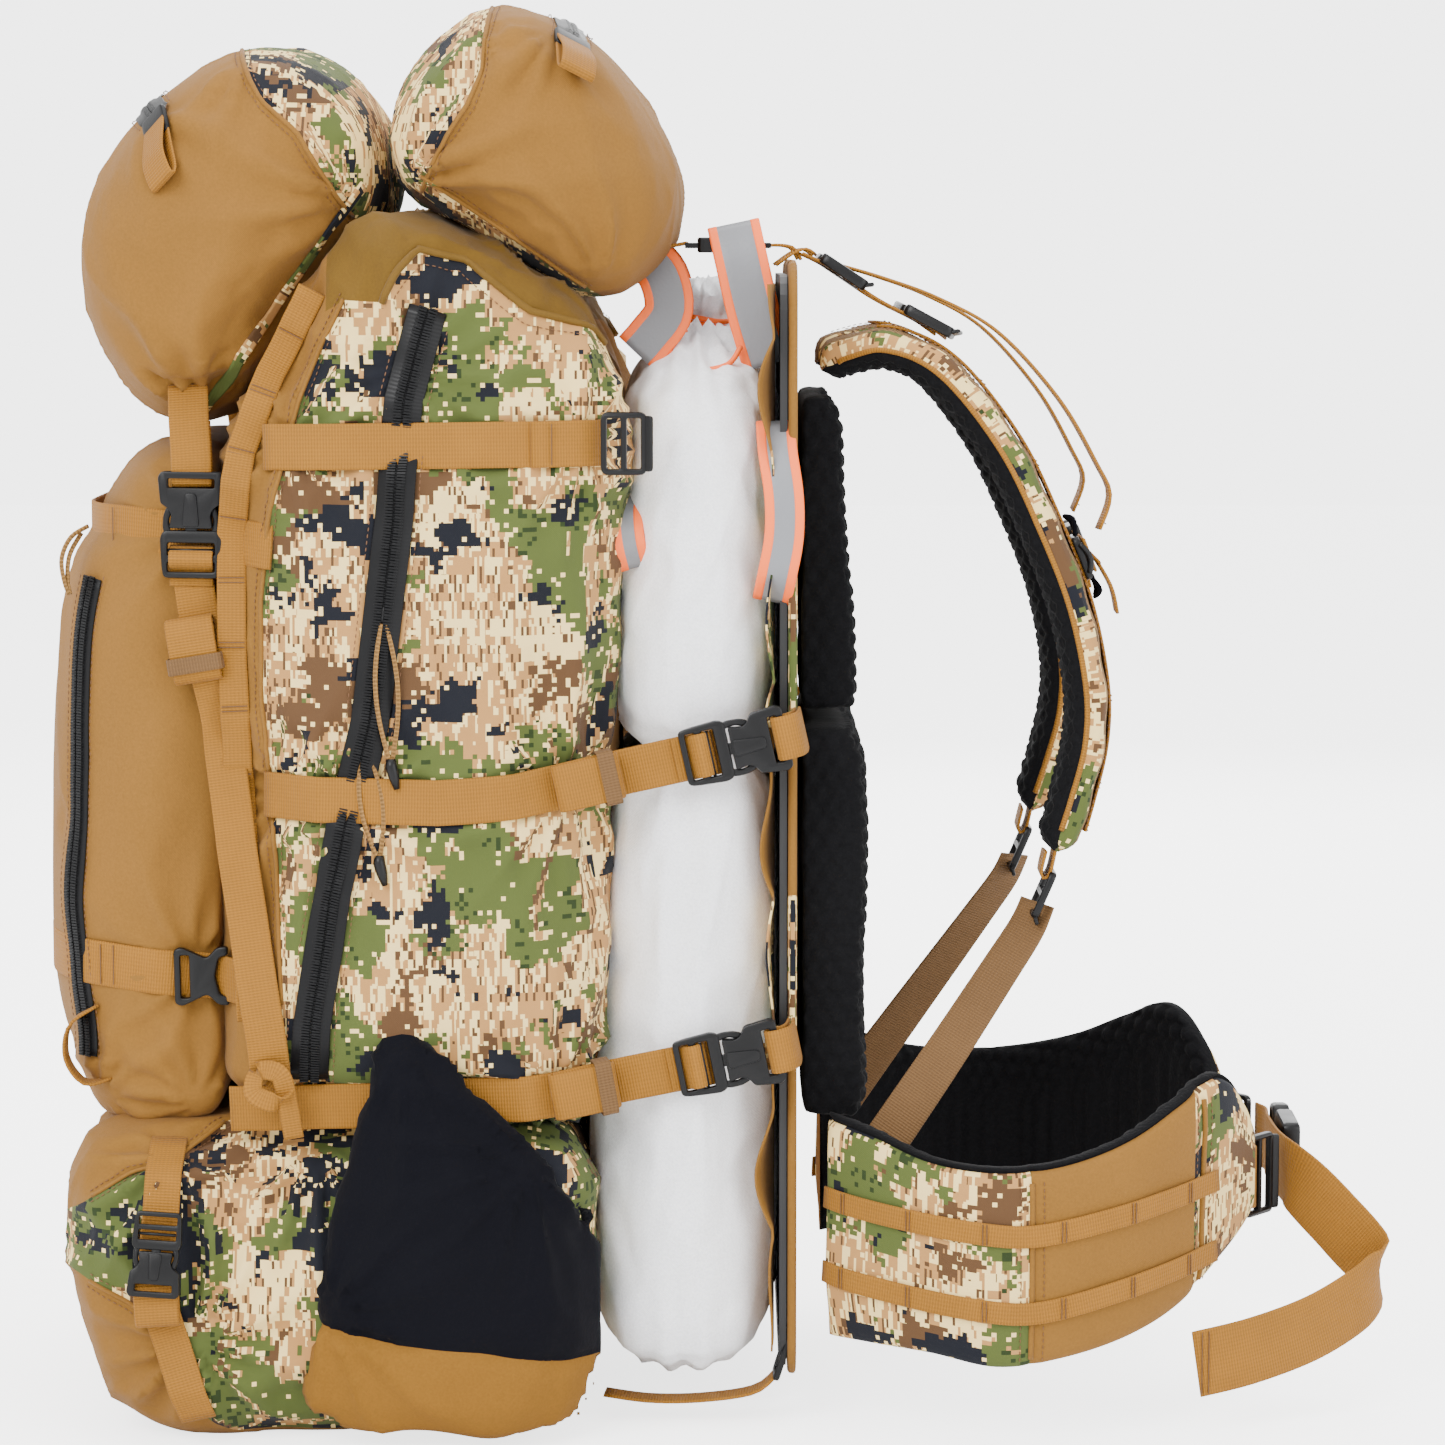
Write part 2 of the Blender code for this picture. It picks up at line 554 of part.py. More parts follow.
def side_pocket(name):
    rows, columns = 14, 10
    inner, outer = [], []
    for r in range(rows + 1):
        z = 0.0100 + (0.231 - 0.0100) * r / rows
        x0, x1 = along_table(pocket_left, z), along_table(pocket_right, z)
        for c in range(columns + 1):
            t = c / columns
            x = x0 + (x1 - x0) * t
            near = [(x + dx, z + dz) for dx in (-0.007, 0, 0.007) for dz in (-0.009, 0, 0.009)]
            skin = min(side_y(*point) for point in near)
            if skin > -0.120:
                skin = -0.120
            band = max(0.0, 1 - abs(z - 0.192) / 0.034)
            lift = 0.0012 + 0.0075 * min(1.0, band * 1.8)
            if x > -0.076:
                skin = min(skin, -0.152)
            edge = math.sin(math.pi * min(1.0, max(0.0, t))) ** 0.6
            rise = math.sin(math.pi * min(1.0, (z - 0.004) / 0.225) ** 0.75) ** 0.7
            thick = 0.0028 + 0.024 * edge * rise
            inner.append(Vector((x, skin - lift, z)))
            outer.append(Vector((x, skin - lift - thick, z)))
    points = inner + outer
    width = columns + 1
    shift = len(inner)
    faces = []
    for r in range(rows):
        for c in range(columns):
            a = r * width + c
            faces.append((a, a + 1, a + width + 1, a + width))
            faces.append((shift + a, shift + a + 1, shift + a + width + 1, shift + a + width))
    for r in range(rows):
        for c in (0, columns):
            a = r * width + c
            faces.append((a, a + width, shift + a + width, shift + a))
    for c in range(columns):
        for r in (0, rows):
            a = r * width + c
            faces.append((a, a + 1, shift + a + 1, shift + a))
    return body(name, points, faces)


mirrored(side_pocket("side_pocket_r"))

# ---------------------------------------------------------------- lid anchor
anchor_path = [Vector((-0.0210, -0.060, 0.6560)), Vector((0.0, -0.060, 0.6560)),
               Vector((0.0270, -0.060, 0.6560))]
lid_anchor = ribbon("lid_anchor_r", anchor_path, Y_AXIS, 0.020, 0.0030)
shell = plate("shell", rounded(rectangle(-0.014, 0.022, -0.013, 0.013), 0.004, 3), [], 0.0085,
              Vector((0, -0.060, 0.6520)), X_AXIS, Y_AXIS, 0.0008)
fuse(lid_anchor, shell)
mirrored(lid_anchor)

# ---------------------------------------------------------------- harness
strap_arc = [(0.0560, 0.588), (0.0720, 0.5960), (0.0960, 0.5980), (0.1240, 0.5830),
             (0.1550, 0.5435), (0.1765, 0.4995), (0.1930, 0.4570), (0.2020, 0.4140),
             (0.2020, 0.3830), (0.1945, 0.3500), (0.1855, 0.3200)]
strap_lateral = [-0.058, -0.060, -0.068, -0.078, -0.087, -0.091, -0.093, -0.094, -0.095,
                 -0.097, -0.099]


def curve_through(points, per_span=4):
    """Catmull-Rom curve through points."""
    result = []
    for i in range(len(points) - 1):
        p0, p1 = points[max(i - 1, 0)], points[i]
        p2, p3 = points[i + 1], points[min(i + 2, len(points) - 1)]
        for k in range(per_span):
            t = k / per_span
            result.append(0.5 * ((2 * p1) + (p2 - p0) * t + (2 * p0 - 5 * p1 + 4 * p2 - p3) * t * t
                                 + (3 * p1 - p0 - 3 * p2 + p3) * t ** 3))
    result.append(points[-1].copy())
    return result


def shoulder_strap(name):
    spine = curve_through([Vector((x, y, z)) for (x, z), y in zip(strap_arc, strap_lateral)], 3)
    rings = []
    count = len(spine) - 1
    for i, point in enumerate(spine):
        along = (spine[min(i + 1, count)] - spine[max(i - 1, 0)]).normalized()
        side = (Y_AXIS - along * along.y).normalized()
        out = along.cross(side).normalized()
        t = i / count
        taper = min(1.0, 0.72 + 0.28 * min(1.0, t / 0.2), 0.56 + 0.44 * min(1.0, (1 - t) / 0.16))
        end = min(1.0, 0.55 + 0.45 * min(t, 1 - t) / 0.04)
        half, depth = STRAP_WIDTH / 2 * taper, STRAP_THICK / 2 * end
        ring = []
        for k in range(12):
            a = 2 * math.pi * k / 12
            c, s = math.cos(a), math.sin(a)
            ring.append(point + side * math.copysign(abs(c) ** 0.55, c) * half
                        + out * math.copysign(abs(s) ** 0.6, s) * depth)
        rings.append(ring)
    return loft(name, rings)


mirrored(shoulder_strap("shoulder_strap_r"))

lifter_path = curve_through([Vector((0.0450, -0.060, 0.6515)), Vector((0.0600, -0.061, 0.6440)),
                             Vector((0.0870, -0.064, 0.6260)), Vector((0.1130, -0.072, 0.6125))], 3)
mirrored(ribbon("lifter_web_r", lifter_path, Y_AXIS, WEB, WEB_THICK))

lock_dir = Vector((-0.40, 0, -0.92)).normalized()
mirrored(ladder_lock("strap_lock_r", Vector((0.1790, -0.099, 0.2960)), lock_dir, Y_AXIS, 0.032, 0.026))

lower_path = curve_through([Vector((0.1700, -0.102, 0.2760)), Vector((0.1540, -0.108, 0.2520)),
                            Vector((0.1240, -0.119, 0.2080)), Vector((0.0900, -0.1275, 0.1590))], 4)
lower_across = [Vector((-0.6, 0.8 - 0.72 * i / (len(lower_path) - 1), 0.5))
                for i in range(len(lower_path))]
mirrored(ribbon("lower_web_r", lower_path, lower_across, WEB, WEB_THICK))

# sternum strap: sliders ride on the outside of the shoulder straps
rail = Vector((0.0165, 0, -0.0425)).normalized()
rail_out = Vector((0.0425, 0, 0.0165)).normalized()
slider_at = Vector((0.1850, -0.0925, 0.4780)) + rail_out * (STRAP_THICK / 2 + 0.0022)
clip = plate("sternum_slider_r", rounded(rectangle(-0.012, 0.012, -0.015, 0.015), 0.003, 3), [],
             0.0050, slider_at, rail, Y_AXIS)
mirrored(clip)
chest = slider_at + rail_out * 0.0068
chest_path = [Vector((chest.x, y, chest.z)) for y in (-0.104, -0.06, 0.0, 0.06, 0.104)]
ribbon("sternum_strap", chest_path, rail, 0.020, WEB_THICK)

# ---------------------------------------------------------------- hip belt
wing_rows = [((0.0600, -0.1340), 0.178, 0.052), ((0.0850, -0.1575), 0.172, 0.053),
             ((0.1150, -0.1750), 0.161, 0.052), ((0.1500, -0.1830), 0.157, 0.046),
             ((0.1850, -0.1790), 0.160, 0.050), ((0.2200, -0.1640), 0.170, 0.058),
             ((0.2500, -0.1410), 0.186, 0.070), ((0.2730, -0.1150), 0.197, 0.088),
             ((0.2900, -0.0900), 0.178, 0.102), ((0.2980, -0.0780), 0.156, 0.114)]


def belt_wing(name):
    middle = curve_through([Vector((x, y, 0)) for (x, y), _, _ in wing_rows], 3)
    tops = curve_through([Vector((top, 0, 0)) for _, top, _ in wing_rows], 3)
    feet = curve_through([Vector((foot, 0, 0)) for _, _, foot in wing_rows], 3)
    rings = []
    count = len(middle) - 1
    for i, point in enumerate(middle):
        along = (middle[min(i + 1, count)] - middle[max(i - 1, 0)]).normalized()
        out = Vector((along.y, -along.x, 0))
        t = i / count
        depth = BELT_PAD / 2 * min(1.0, 0.55 + 0.45 * min(t, 1 - t) / 0.05)
        top, foot = tops[i].x, feet[i].x
        middle_z, half = (top + foot) / 2, (top - foot) / 2
        ring = []
        for k in range(14):
            a = 2 * math.pi * k / 14
            c, s = math.cos(a), math.sin(a)
            ring.append(Vector((point.x, point.y, middle_z))
                        + out * math.copysign(abs(s) ** 0.6, s) * depth
                        + Z_AXIS * math.copysign(abs(c) ** 0.35, c) * half)
        rings.append(ring)
    return loft(name, rings)


mirrored(belt_wing("belt_wing_r"))

TIP_Z = 0.128
lock_u = Vector((0.62, 0.78, 0)).normalized()
belt_lock_at = Vector((0.3060, -0.0640, TIP_Z))
mirrored(ladder_lock("belt_lock_r", belt_lock_at, lock_u, Z_AXIS, 0.046, 0.026, 0.005))

waist_front = 0.3185
web_path = curve_through([Vector((0.2630, -0.1490, 0.0385)), Vector((0.2950, -0.1395, 0.0440)),
                          Vector((0.3300, -0.1240, 0.0530)), Vector((0.3580, -0.1065, 0.0650)),
                          Vector((0.3700, -0.0935, 0.0740)), Vector((0.3715, -0.0860, 0.0800)),
                          Vector((0.3650, -0.0795, 0.0870)), Vector((0.3500, -0.0700, 0.1030)),
                          Vector((0.3300, -0.0560, 0.1230)), Vector((0.3230, -0.0420, TIP_Z)),
                          Vector((waist_front + 0.0030, -0.0200, TIP_Z)),
                          Vector((waist_front + 0.0030, 0.0200, TIP_Z)),
                          Vector((0.3230, 0.0420, TIP_Z)), Vector((0.3190, 0.0560, TIP_Z))], 4)
ribbon("belt_web", web_path, Z_AXIS, BELT_WEB, WEB_THICK)
plate("belt_buckle", rounded(rectangle(-0.034, 0.034, -0.026, 0.026), 0.008, 4), [], 0.0105,
      Vector((waist_front + 0.0052, 0, TIP_Z)), Y_AXIS, Z_AXIS, 0.0012)
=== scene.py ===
"""Hunting backpack with a split lid and two game bags on its load shelf.

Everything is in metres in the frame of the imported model: +X the way the
wearer faces, +Y the wearer's left, +Z up, floor at Z = 0.
"""
import sys
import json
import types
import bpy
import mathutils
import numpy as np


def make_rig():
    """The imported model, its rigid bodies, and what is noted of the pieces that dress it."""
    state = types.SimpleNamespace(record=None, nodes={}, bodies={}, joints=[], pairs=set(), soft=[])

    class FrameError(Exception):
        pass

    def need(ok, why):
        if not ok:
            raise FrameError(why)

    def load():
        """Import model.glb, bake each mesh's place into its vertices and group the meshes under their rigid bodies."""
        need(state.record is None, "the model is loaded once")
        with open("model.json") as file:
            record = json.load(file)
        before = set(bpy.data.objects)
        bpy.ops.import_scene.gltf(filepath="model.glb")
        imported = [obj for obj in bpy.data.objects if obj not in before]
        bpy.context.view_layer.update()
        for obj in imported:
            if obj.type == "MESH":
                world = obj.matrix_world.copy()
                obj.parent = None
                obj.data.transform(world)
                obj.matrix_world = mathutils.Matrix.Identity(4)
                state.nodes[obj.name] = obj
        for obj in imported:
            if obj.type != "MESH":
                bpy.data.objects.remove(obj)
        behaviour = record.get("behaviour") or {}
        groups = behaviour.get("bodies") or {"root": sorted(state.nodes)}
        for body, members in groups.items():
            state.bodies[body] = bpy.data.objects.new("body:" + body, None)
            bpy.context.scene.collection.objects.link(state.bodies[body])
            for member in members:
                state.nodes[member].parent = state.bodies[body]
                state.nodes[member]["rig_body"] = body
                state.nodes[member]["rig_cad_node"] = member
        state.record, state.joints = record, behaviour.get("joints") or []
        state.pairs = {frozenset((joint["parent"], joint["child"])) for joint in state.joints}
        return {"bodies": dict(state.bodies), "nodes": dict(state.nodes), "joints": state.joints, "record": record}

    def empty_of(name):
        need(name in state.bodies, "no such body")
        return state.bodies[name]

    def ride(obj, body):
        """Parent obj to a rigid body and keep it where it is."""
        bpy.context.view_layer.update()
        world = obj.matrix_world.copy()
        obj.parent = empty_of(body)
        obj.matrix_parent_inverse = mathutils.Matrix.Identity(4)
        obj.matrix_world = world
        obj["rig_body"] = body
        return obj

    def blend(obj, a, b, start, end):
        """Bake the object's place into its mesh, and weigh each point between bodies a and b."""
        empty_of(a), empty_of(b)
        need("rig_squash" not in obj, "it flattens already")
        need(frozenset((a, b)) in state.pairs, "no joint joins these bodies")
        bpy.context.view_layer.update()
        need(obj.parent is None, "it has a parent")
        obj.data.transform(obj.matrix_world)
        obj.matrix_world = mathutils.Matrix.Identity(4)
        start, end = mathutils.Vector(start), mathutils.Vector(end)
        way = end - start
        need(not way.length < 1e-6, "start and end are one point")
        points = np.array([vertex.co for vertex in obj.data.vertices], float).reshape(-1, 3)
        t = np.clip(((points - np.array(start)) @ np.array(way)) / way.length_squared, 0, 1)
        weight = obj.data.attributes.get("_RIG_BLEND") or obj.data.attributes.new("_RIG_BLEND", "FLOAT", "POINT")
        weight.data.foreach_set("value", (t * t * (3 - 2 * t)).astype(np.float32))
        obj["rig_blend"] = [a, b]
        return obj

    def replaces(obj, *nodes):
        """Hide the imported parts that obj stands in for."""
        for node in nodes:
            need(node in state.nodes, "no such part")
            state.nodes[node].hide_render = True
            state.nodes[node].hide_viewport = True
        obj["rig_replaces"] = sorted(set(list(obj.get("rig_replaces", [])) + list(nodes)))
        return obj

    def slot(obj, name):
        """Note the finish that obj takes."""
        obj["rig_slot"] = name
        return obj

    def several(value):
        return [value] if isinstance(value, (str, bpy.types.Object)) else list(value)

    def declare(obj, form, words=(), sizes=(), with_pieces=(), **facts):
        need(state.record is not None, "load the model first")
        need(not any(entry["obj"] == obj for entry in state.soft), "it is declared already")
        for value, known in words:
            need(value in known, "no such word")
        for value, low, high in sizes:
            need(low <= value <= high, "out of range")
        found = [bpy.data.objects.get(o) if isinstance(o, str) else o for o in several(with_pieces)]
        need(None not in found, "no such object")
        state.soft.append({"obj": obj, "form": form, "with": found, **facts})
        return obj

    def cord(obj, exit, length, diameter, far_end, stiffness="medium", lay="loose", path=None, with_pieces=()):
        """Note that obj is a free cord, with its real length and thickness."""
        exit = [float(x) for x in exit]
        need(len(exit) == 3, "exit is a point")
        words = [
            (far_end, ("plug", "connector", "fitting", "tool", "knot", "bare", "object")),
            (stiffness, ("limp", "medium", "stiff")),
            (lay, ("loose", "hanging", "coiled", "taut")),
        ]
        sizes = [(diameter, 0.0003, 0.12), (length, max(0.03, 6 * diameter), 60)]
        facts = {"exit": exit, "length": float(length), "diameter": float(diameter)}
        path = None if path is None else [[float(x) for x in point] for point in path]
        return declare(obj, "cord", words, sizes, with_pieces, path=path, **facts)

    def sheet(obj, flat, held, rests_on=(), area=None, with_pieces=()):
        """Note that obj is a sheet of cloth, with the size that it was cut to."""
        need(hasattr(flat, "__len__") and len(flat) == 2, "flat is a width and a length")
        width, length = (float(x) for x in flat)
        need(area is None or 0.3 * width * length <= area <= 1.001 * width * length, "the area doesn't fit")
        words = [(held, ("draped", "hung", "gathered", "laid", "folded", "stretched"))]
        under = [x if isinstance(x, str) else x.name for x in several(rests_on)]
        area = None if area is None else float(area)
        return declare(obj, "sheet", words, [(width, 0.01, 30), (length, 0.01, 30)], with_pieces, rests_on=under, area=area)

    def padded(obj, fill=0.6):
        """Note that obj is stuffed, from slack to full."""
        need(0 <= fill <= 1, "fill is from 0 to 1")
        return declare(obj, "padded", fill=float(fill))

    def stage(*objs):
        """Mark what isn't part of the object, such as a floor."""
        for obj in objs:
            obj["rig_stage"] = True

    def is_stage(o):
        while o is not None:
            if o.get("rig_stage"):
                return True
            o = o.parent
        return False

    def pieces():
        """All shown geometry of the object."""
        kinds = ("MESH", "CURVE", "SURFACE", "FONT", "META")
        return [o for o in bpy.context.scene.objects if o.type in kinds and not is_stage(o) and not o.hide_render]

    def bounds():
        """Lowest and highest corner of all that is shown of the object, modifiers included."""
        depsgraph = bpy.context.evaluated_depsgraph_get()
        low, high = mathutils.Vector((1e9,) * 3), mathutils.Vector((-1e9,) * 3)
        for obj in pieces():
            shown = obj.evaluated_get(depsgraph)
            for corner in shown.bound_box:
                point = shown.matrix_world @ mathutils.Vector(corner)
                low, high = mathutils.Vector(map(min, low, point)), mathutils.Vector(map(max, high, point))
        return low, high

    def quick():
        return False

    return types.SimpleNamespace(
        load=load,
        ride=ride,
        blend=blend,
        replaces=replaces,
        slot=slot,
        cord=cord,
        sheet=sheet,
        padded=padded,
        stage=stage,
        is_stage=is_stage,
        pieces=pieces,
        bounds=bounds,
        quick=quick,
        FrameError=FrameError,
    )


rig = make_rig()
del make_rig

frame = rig.load()
CAD_LOW, CAD_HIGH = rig.bounds()

import json
import math

import bmesh
import bpy
import numpy as np
from mathutils import Matrix, Vector
from mathutils.bvhtree import BVHTree

bl_info = {
    "name": "Hunting backpack",
    "version": (1, 0, 0),
    "blender": (4, 5, 0),
    "location": "View3D > Sidebar > Backpack",
    "description": "Builds the cloth, webbing and buckles of a hunting backpack",
    "category": "Object",
}

MADE = {}                    # pieces that later pieces lie on, by name
SIDES = (("r", -1), ("l", 1))
UP = Vector((0, 0, 1))


def metres(label, about, default):
    return bpy.props.FloatProperty(name=label, description=about, default=default,
                                   min=0.0, subtype="DISTANCE", unit="LENGTH")


def colour(label, about, default):
    return bpy.props.FloatVectorProperty(name=label, description=about, default=default,
                                         size=3, min=0.0, max=1.0, subtype="COLOR")


class BackpackColours(bpy.types.PropertyGroup):
    brown: colour("Brown cloth", "Plain body cloth", (0.205, 0.094, 0.015))
    collar: colour("Collar cloth", "Thin cloth of the drawstring collar", (0.12, 0.062, 0.006))
    webbing: colour("Webbing", "Straps and loops", (0.288, 0.12, 0.011))
    harness: colour("Harness webbing", "Webbing under the shoulder straps", (0.145, 0.074, 0.026))
    cream: colour("Camouflage cream", "Lightest print colour", (0.86, 0.64, 0.265))
    tan: colour("Camouflage tan", "Second print colour", (0.42, 0.215, 0.07))
    green: colour("Camouflage green", "Leaf print colour", (0.075, 0.098, 0.022))
    bark: colour("Camouflage brown", "Bark print colour", (0.092, 0.045, 0.018))
    night: colour("Camouflage dark", "Darkest print colour", (0.0055, 0.0065, 0.011))
    stretch: colour("Stretch cloth", "Side pocket fronts", (0.0022, 0.0023, 0.0045))
    mesh: colour("Spacer mesh", "Padding against the wearer", (0.0055, 0.0055, 0.0065))
    orange: colour("Signal orange", "Edging and cords of the game bags", (1.000, 0.15, 0.015))


class BackpackSizes(bpy.types.PropertyGroup):
    web: metres("Strap width", "Compression and harness webbing", 0.025)
    web_thick: metres("Strap thickness", "Thickness of all webbing", 0.0017)
    lid_web: metres("Lid strap width", "Straps that close the lid", 0.022)
    belt_web: metres("Belt strap width", "Hip belt webbing", 0.038)
    zip_width: metres("Zip width", "Coated zip tape", 0.021)
    print_cell: metres("Print cell", "Side of one square of the camouflage", 0.0025)
    voxel: metres("Cloth grain", "Edge length of the cloth before it is refined", 0.0064)


def colours():
    return bpy.context.scene.backpack_colours


def sizes():
    return bpy.context.scene.backpack_sizes


class Sock:
    """A shader socket that can be used in sums."""

    def __init__(self, paint, socket):
        self.paint, self.socket = paint, socket

    def _math(self, operation, *others):
        return self.paint.add("Math", {"operation": operation}, values=(self,) + others)

    def __add__(self, other): return self._math("ADD", other)
    def __radd__(self, other): return self._math("ADD", other)
    def __sub__(self, other): return self._math("SUBTRACT", other)
    def __mul__(self, other): return self._math("MULTIPLY", other)
    def __rmul__(self, other): return self._math("MULTIPLY", other)
    def __truediv__(self, other): return self._math("DIVIDE", other)
    def __gt__(self, other): return self._math("GREATER_THAN", other)
    def __lt__(self, other): return self._math("LESS_THAN", other)
    def __pow__(self, other): return self._math("POWER", other)
    def __abs__(self): return self._math("ABSOLUTE")
    def __neg__(self): return self._math("MULTIPLY", -1.0)

    def __rsub__(self, other):
        return self.paint.add("Math", {"operation": "SUBTRACT"}, values=(other, self))

    def sine(self): return self._math("SINE")
    def fract(self): return self._math("FRACT")
    def most(self, other): return self._math("MAXIMUM", other)

    def smooth(self, low, high):
        return self.paint.add("MapRange", {"interpolation_type": "SMOOTHSTEP"},
                              values={"Value": self, "From Min": low, "From Max": high})


class Paint:
    """A material under construction."""

    def __init__(self, name, roughness=0.8, **settings):
        self.name = name
        self.material = bpy.data.materials.new(name + "_look")
        self.material.use_nodes = True
        self.tree = self.material.node_tree
        self.tree.nodes.clear()
        output = self.tree.nodes.new("ShaderNodeOutputMaterial")
        self.shader = self.tree.nodes.new("ShaderNodeBsdfPrincipled")
        self.tree.links.new(self.shader.outputs[0], output.inputs["Surface"])
        self.shader.inputs["Roughness"].default_value = roughness
        for key, value in settings.items():
            self.shader.inputs[key.replace("_", " ")].default_value = value

    def plug(self, socket, value):
        if isinstance(value, Sock):
            self.tree.links.new(value.socket, socket)
        elif socket.type == "RGBA":
            socket.default_value = (*value[:3], 1.0)
        else:
            socket.default_value = value

    def add(self, kind, settings=None, values=(), out=0, stops=None):
        node = self.tree.nodes.new("ShaderNode" + kind)
        for key, value in (settings or {}).items():
            setattr(node, key, value)
        if stops:
            ramp = node.color_ramp
            while len(ramp.elements) < len(stops):
                ramp.elements.new(0.5)
            for element, (place, shade) in zip(ramp.elements, stops):
                element.position, element.color = place, (*shade, 1.0)
        pairs = values.items() if isinstance(values, dict) else enumerate(values)
        for key, value in pairs:
            self.plug(node.inputs[key], value)
        return Sock(self, node.outputs[out])

    def mix(self, factor, first, second):
        node = self.tree.nodes.new("ShaderNodeMix")
        node.data_type = "RGBA"
        node.clamp_factor = True
        for socket, value in ((node.inputs[0], factor), (node.inputs[6], first),
                              (node.inputs[7], second)):
            self.plug(socket, value)
        return Sock(self, node.outputs[2])

    def vector(self, operation, *values):
        return self.add("VectorMath", {"operation": operation}, values=values)

    def place(self):
        return self.add("TexCoord", out=3)

    def cloth_map(self):
        return self.add("UVMap", {"uv_map": "cloth"})

    def parts(self, vector):
        node = self.tree.nodes.new("ShaderNodeSeparateXYZ")
        self.plug(node.inputs[0], vector)
        return [Sock(self, output) for output in node.outputs]

    def noise(self, vector, scale, detail=2.0, roughness=0.5):
        return self.add("TexNoise", values={"Vector": vector, "Scale": scale,
                                            "Detail": detail, "Roughness": roughness})

    def speckle(self, vector):
        return self.add("TexWhiteNoise", values={"Vector": vector})

    def scaled(self, base, tone):
        return self.add("VectorMath", {"operation": "SCALE"}, values={0: base, "Scale": tone})

    def colour(self, value):
        self.plug(self.shader.inputs["Base Color"], value)

    def rough(self, value):
        self.plug(self.shader.inputs["Roughness"], value)

    def bump(self, height, depth, strength=1.0):
        bump = self.add("Bump", values={"Height": height, "Distance": depth,
                                        "Strength": strength})
        self.plug(self.shader.inputs["Normal"], bump)
        return self


def shaded(paint, base, amount=0.1, scale=14.0):
    """Slow colour change and fine grain over a cloth colour."""
    place = paint.place()
    slow = paint.noise(place, scale, 3.0)
    grain = paint.noise(place, 700.0, 1.0)
    tone = (slow - 0.5) * (amount * 2) + (grain - 0.5) * 0.3 + 1.0
    return paint.scaled(base, tone)


def weave_height(paint, cell):
    """Plain weave on the cloth map: 0 to 1."""
    u, v, _ = paint.parts(paint.cloth_map())
    turn = 2 * math.pi / cell
    return (u * turn).sine() * (v * turn).sine() * 0.5 + 0.5


def camo_colour(paint):
    """Square-celled field camouflage on the cloth map, with painted shade: more dark patches low on the front, near
    the floor.
    """
    tones, cell = colours(), sizes().print_cell
    flat = paint.cloth_map()
    blocks = paint.vector("SNAP", flat, (cell, cell, cell))
    strokes = paint.vector("SNAP", flat, (cell * 0.55, cell * 1.9, cell))
    fine = paint.speckle(blocks)
    x, _, z = paint.parts(paint.place())
    # Painted shade: low on the front, near the floor, the bark, leaf and dark patches below spread wider, so the print
    # reads darker where the bag lies in shade.
    low = z.smooth(0.205, 0.15) * (x < -0.05)

    def patch(shift, scale, level, ragged=0.05):
        moved = paint.vector("ADD", blocks, (shift, shift * 0.7, shift * 1.3))
        return paint.noise(moved, scale, 3.0, 0.62) + (fine - 0.5) * ragged > level

    streak = paint.noise(paint.vector("MULTIPLY", strokes, (2.6, 0.75, 1.0)), 90.0, 2.0, 0.6)
    shade_zone = paint.noise(blocks, 16.0, 2.0)
    tan_mask = streak + (shade_zone - 0.5) * 0.55 > 0.495
    ground = paint.mix(tan_mask, tones.cream, tones.tan)
    specks = (paint.speckle(paint.vector("ADD", strokes, (3.1, 1.7, 0.4)))
              + (paint.noise(blocks, 24.0, 1.0) - 0.5) * 0.5 > 0.9)
    ground = paint.mix(specks, ground, tones.bark)
    ground = paint.mix(patch(7.3, 17.0, 0.58 - low * 0.035), ground, tones.bark)
    leaf = patch(2.1, 15.0, 0.54 - low * 0.05)
    ground = paint.mix(leaf, ground, tones.green)
    leaf_dots = paint.speckle(paint.vector("ADD", blocks, (0.3, 9.1, 2.0))) > 0.8
    zone = paint.noise(blocks, 30.0, 1.0) > 0.52
    ground = paint.mix(leaf_dots * leaf * zone, ground, (0.02, 0.034, 0.008))
    ground = paint.mix(patch(11.9, 21.0, 0.59 - low * 0.06, 0.03), ground, tones.night)
    holes = paint.speckle(paint.vector("ADD", blocks, (5.0, 2.0, 8.0))) > 0.955
    return paint.mix(holes, ground, tones.cream)


def cloth_finish(paint, fuzz=0.05, gloss=0.22):
    paint.shader.inputs["Sheen Weight"].default_value = fuzz
    paint.shader.inputs["Sheen Roughness"].default_value = 0.45
    paint.shader.inputs["Specular IOR Level"].default_value = gloss
    return paint


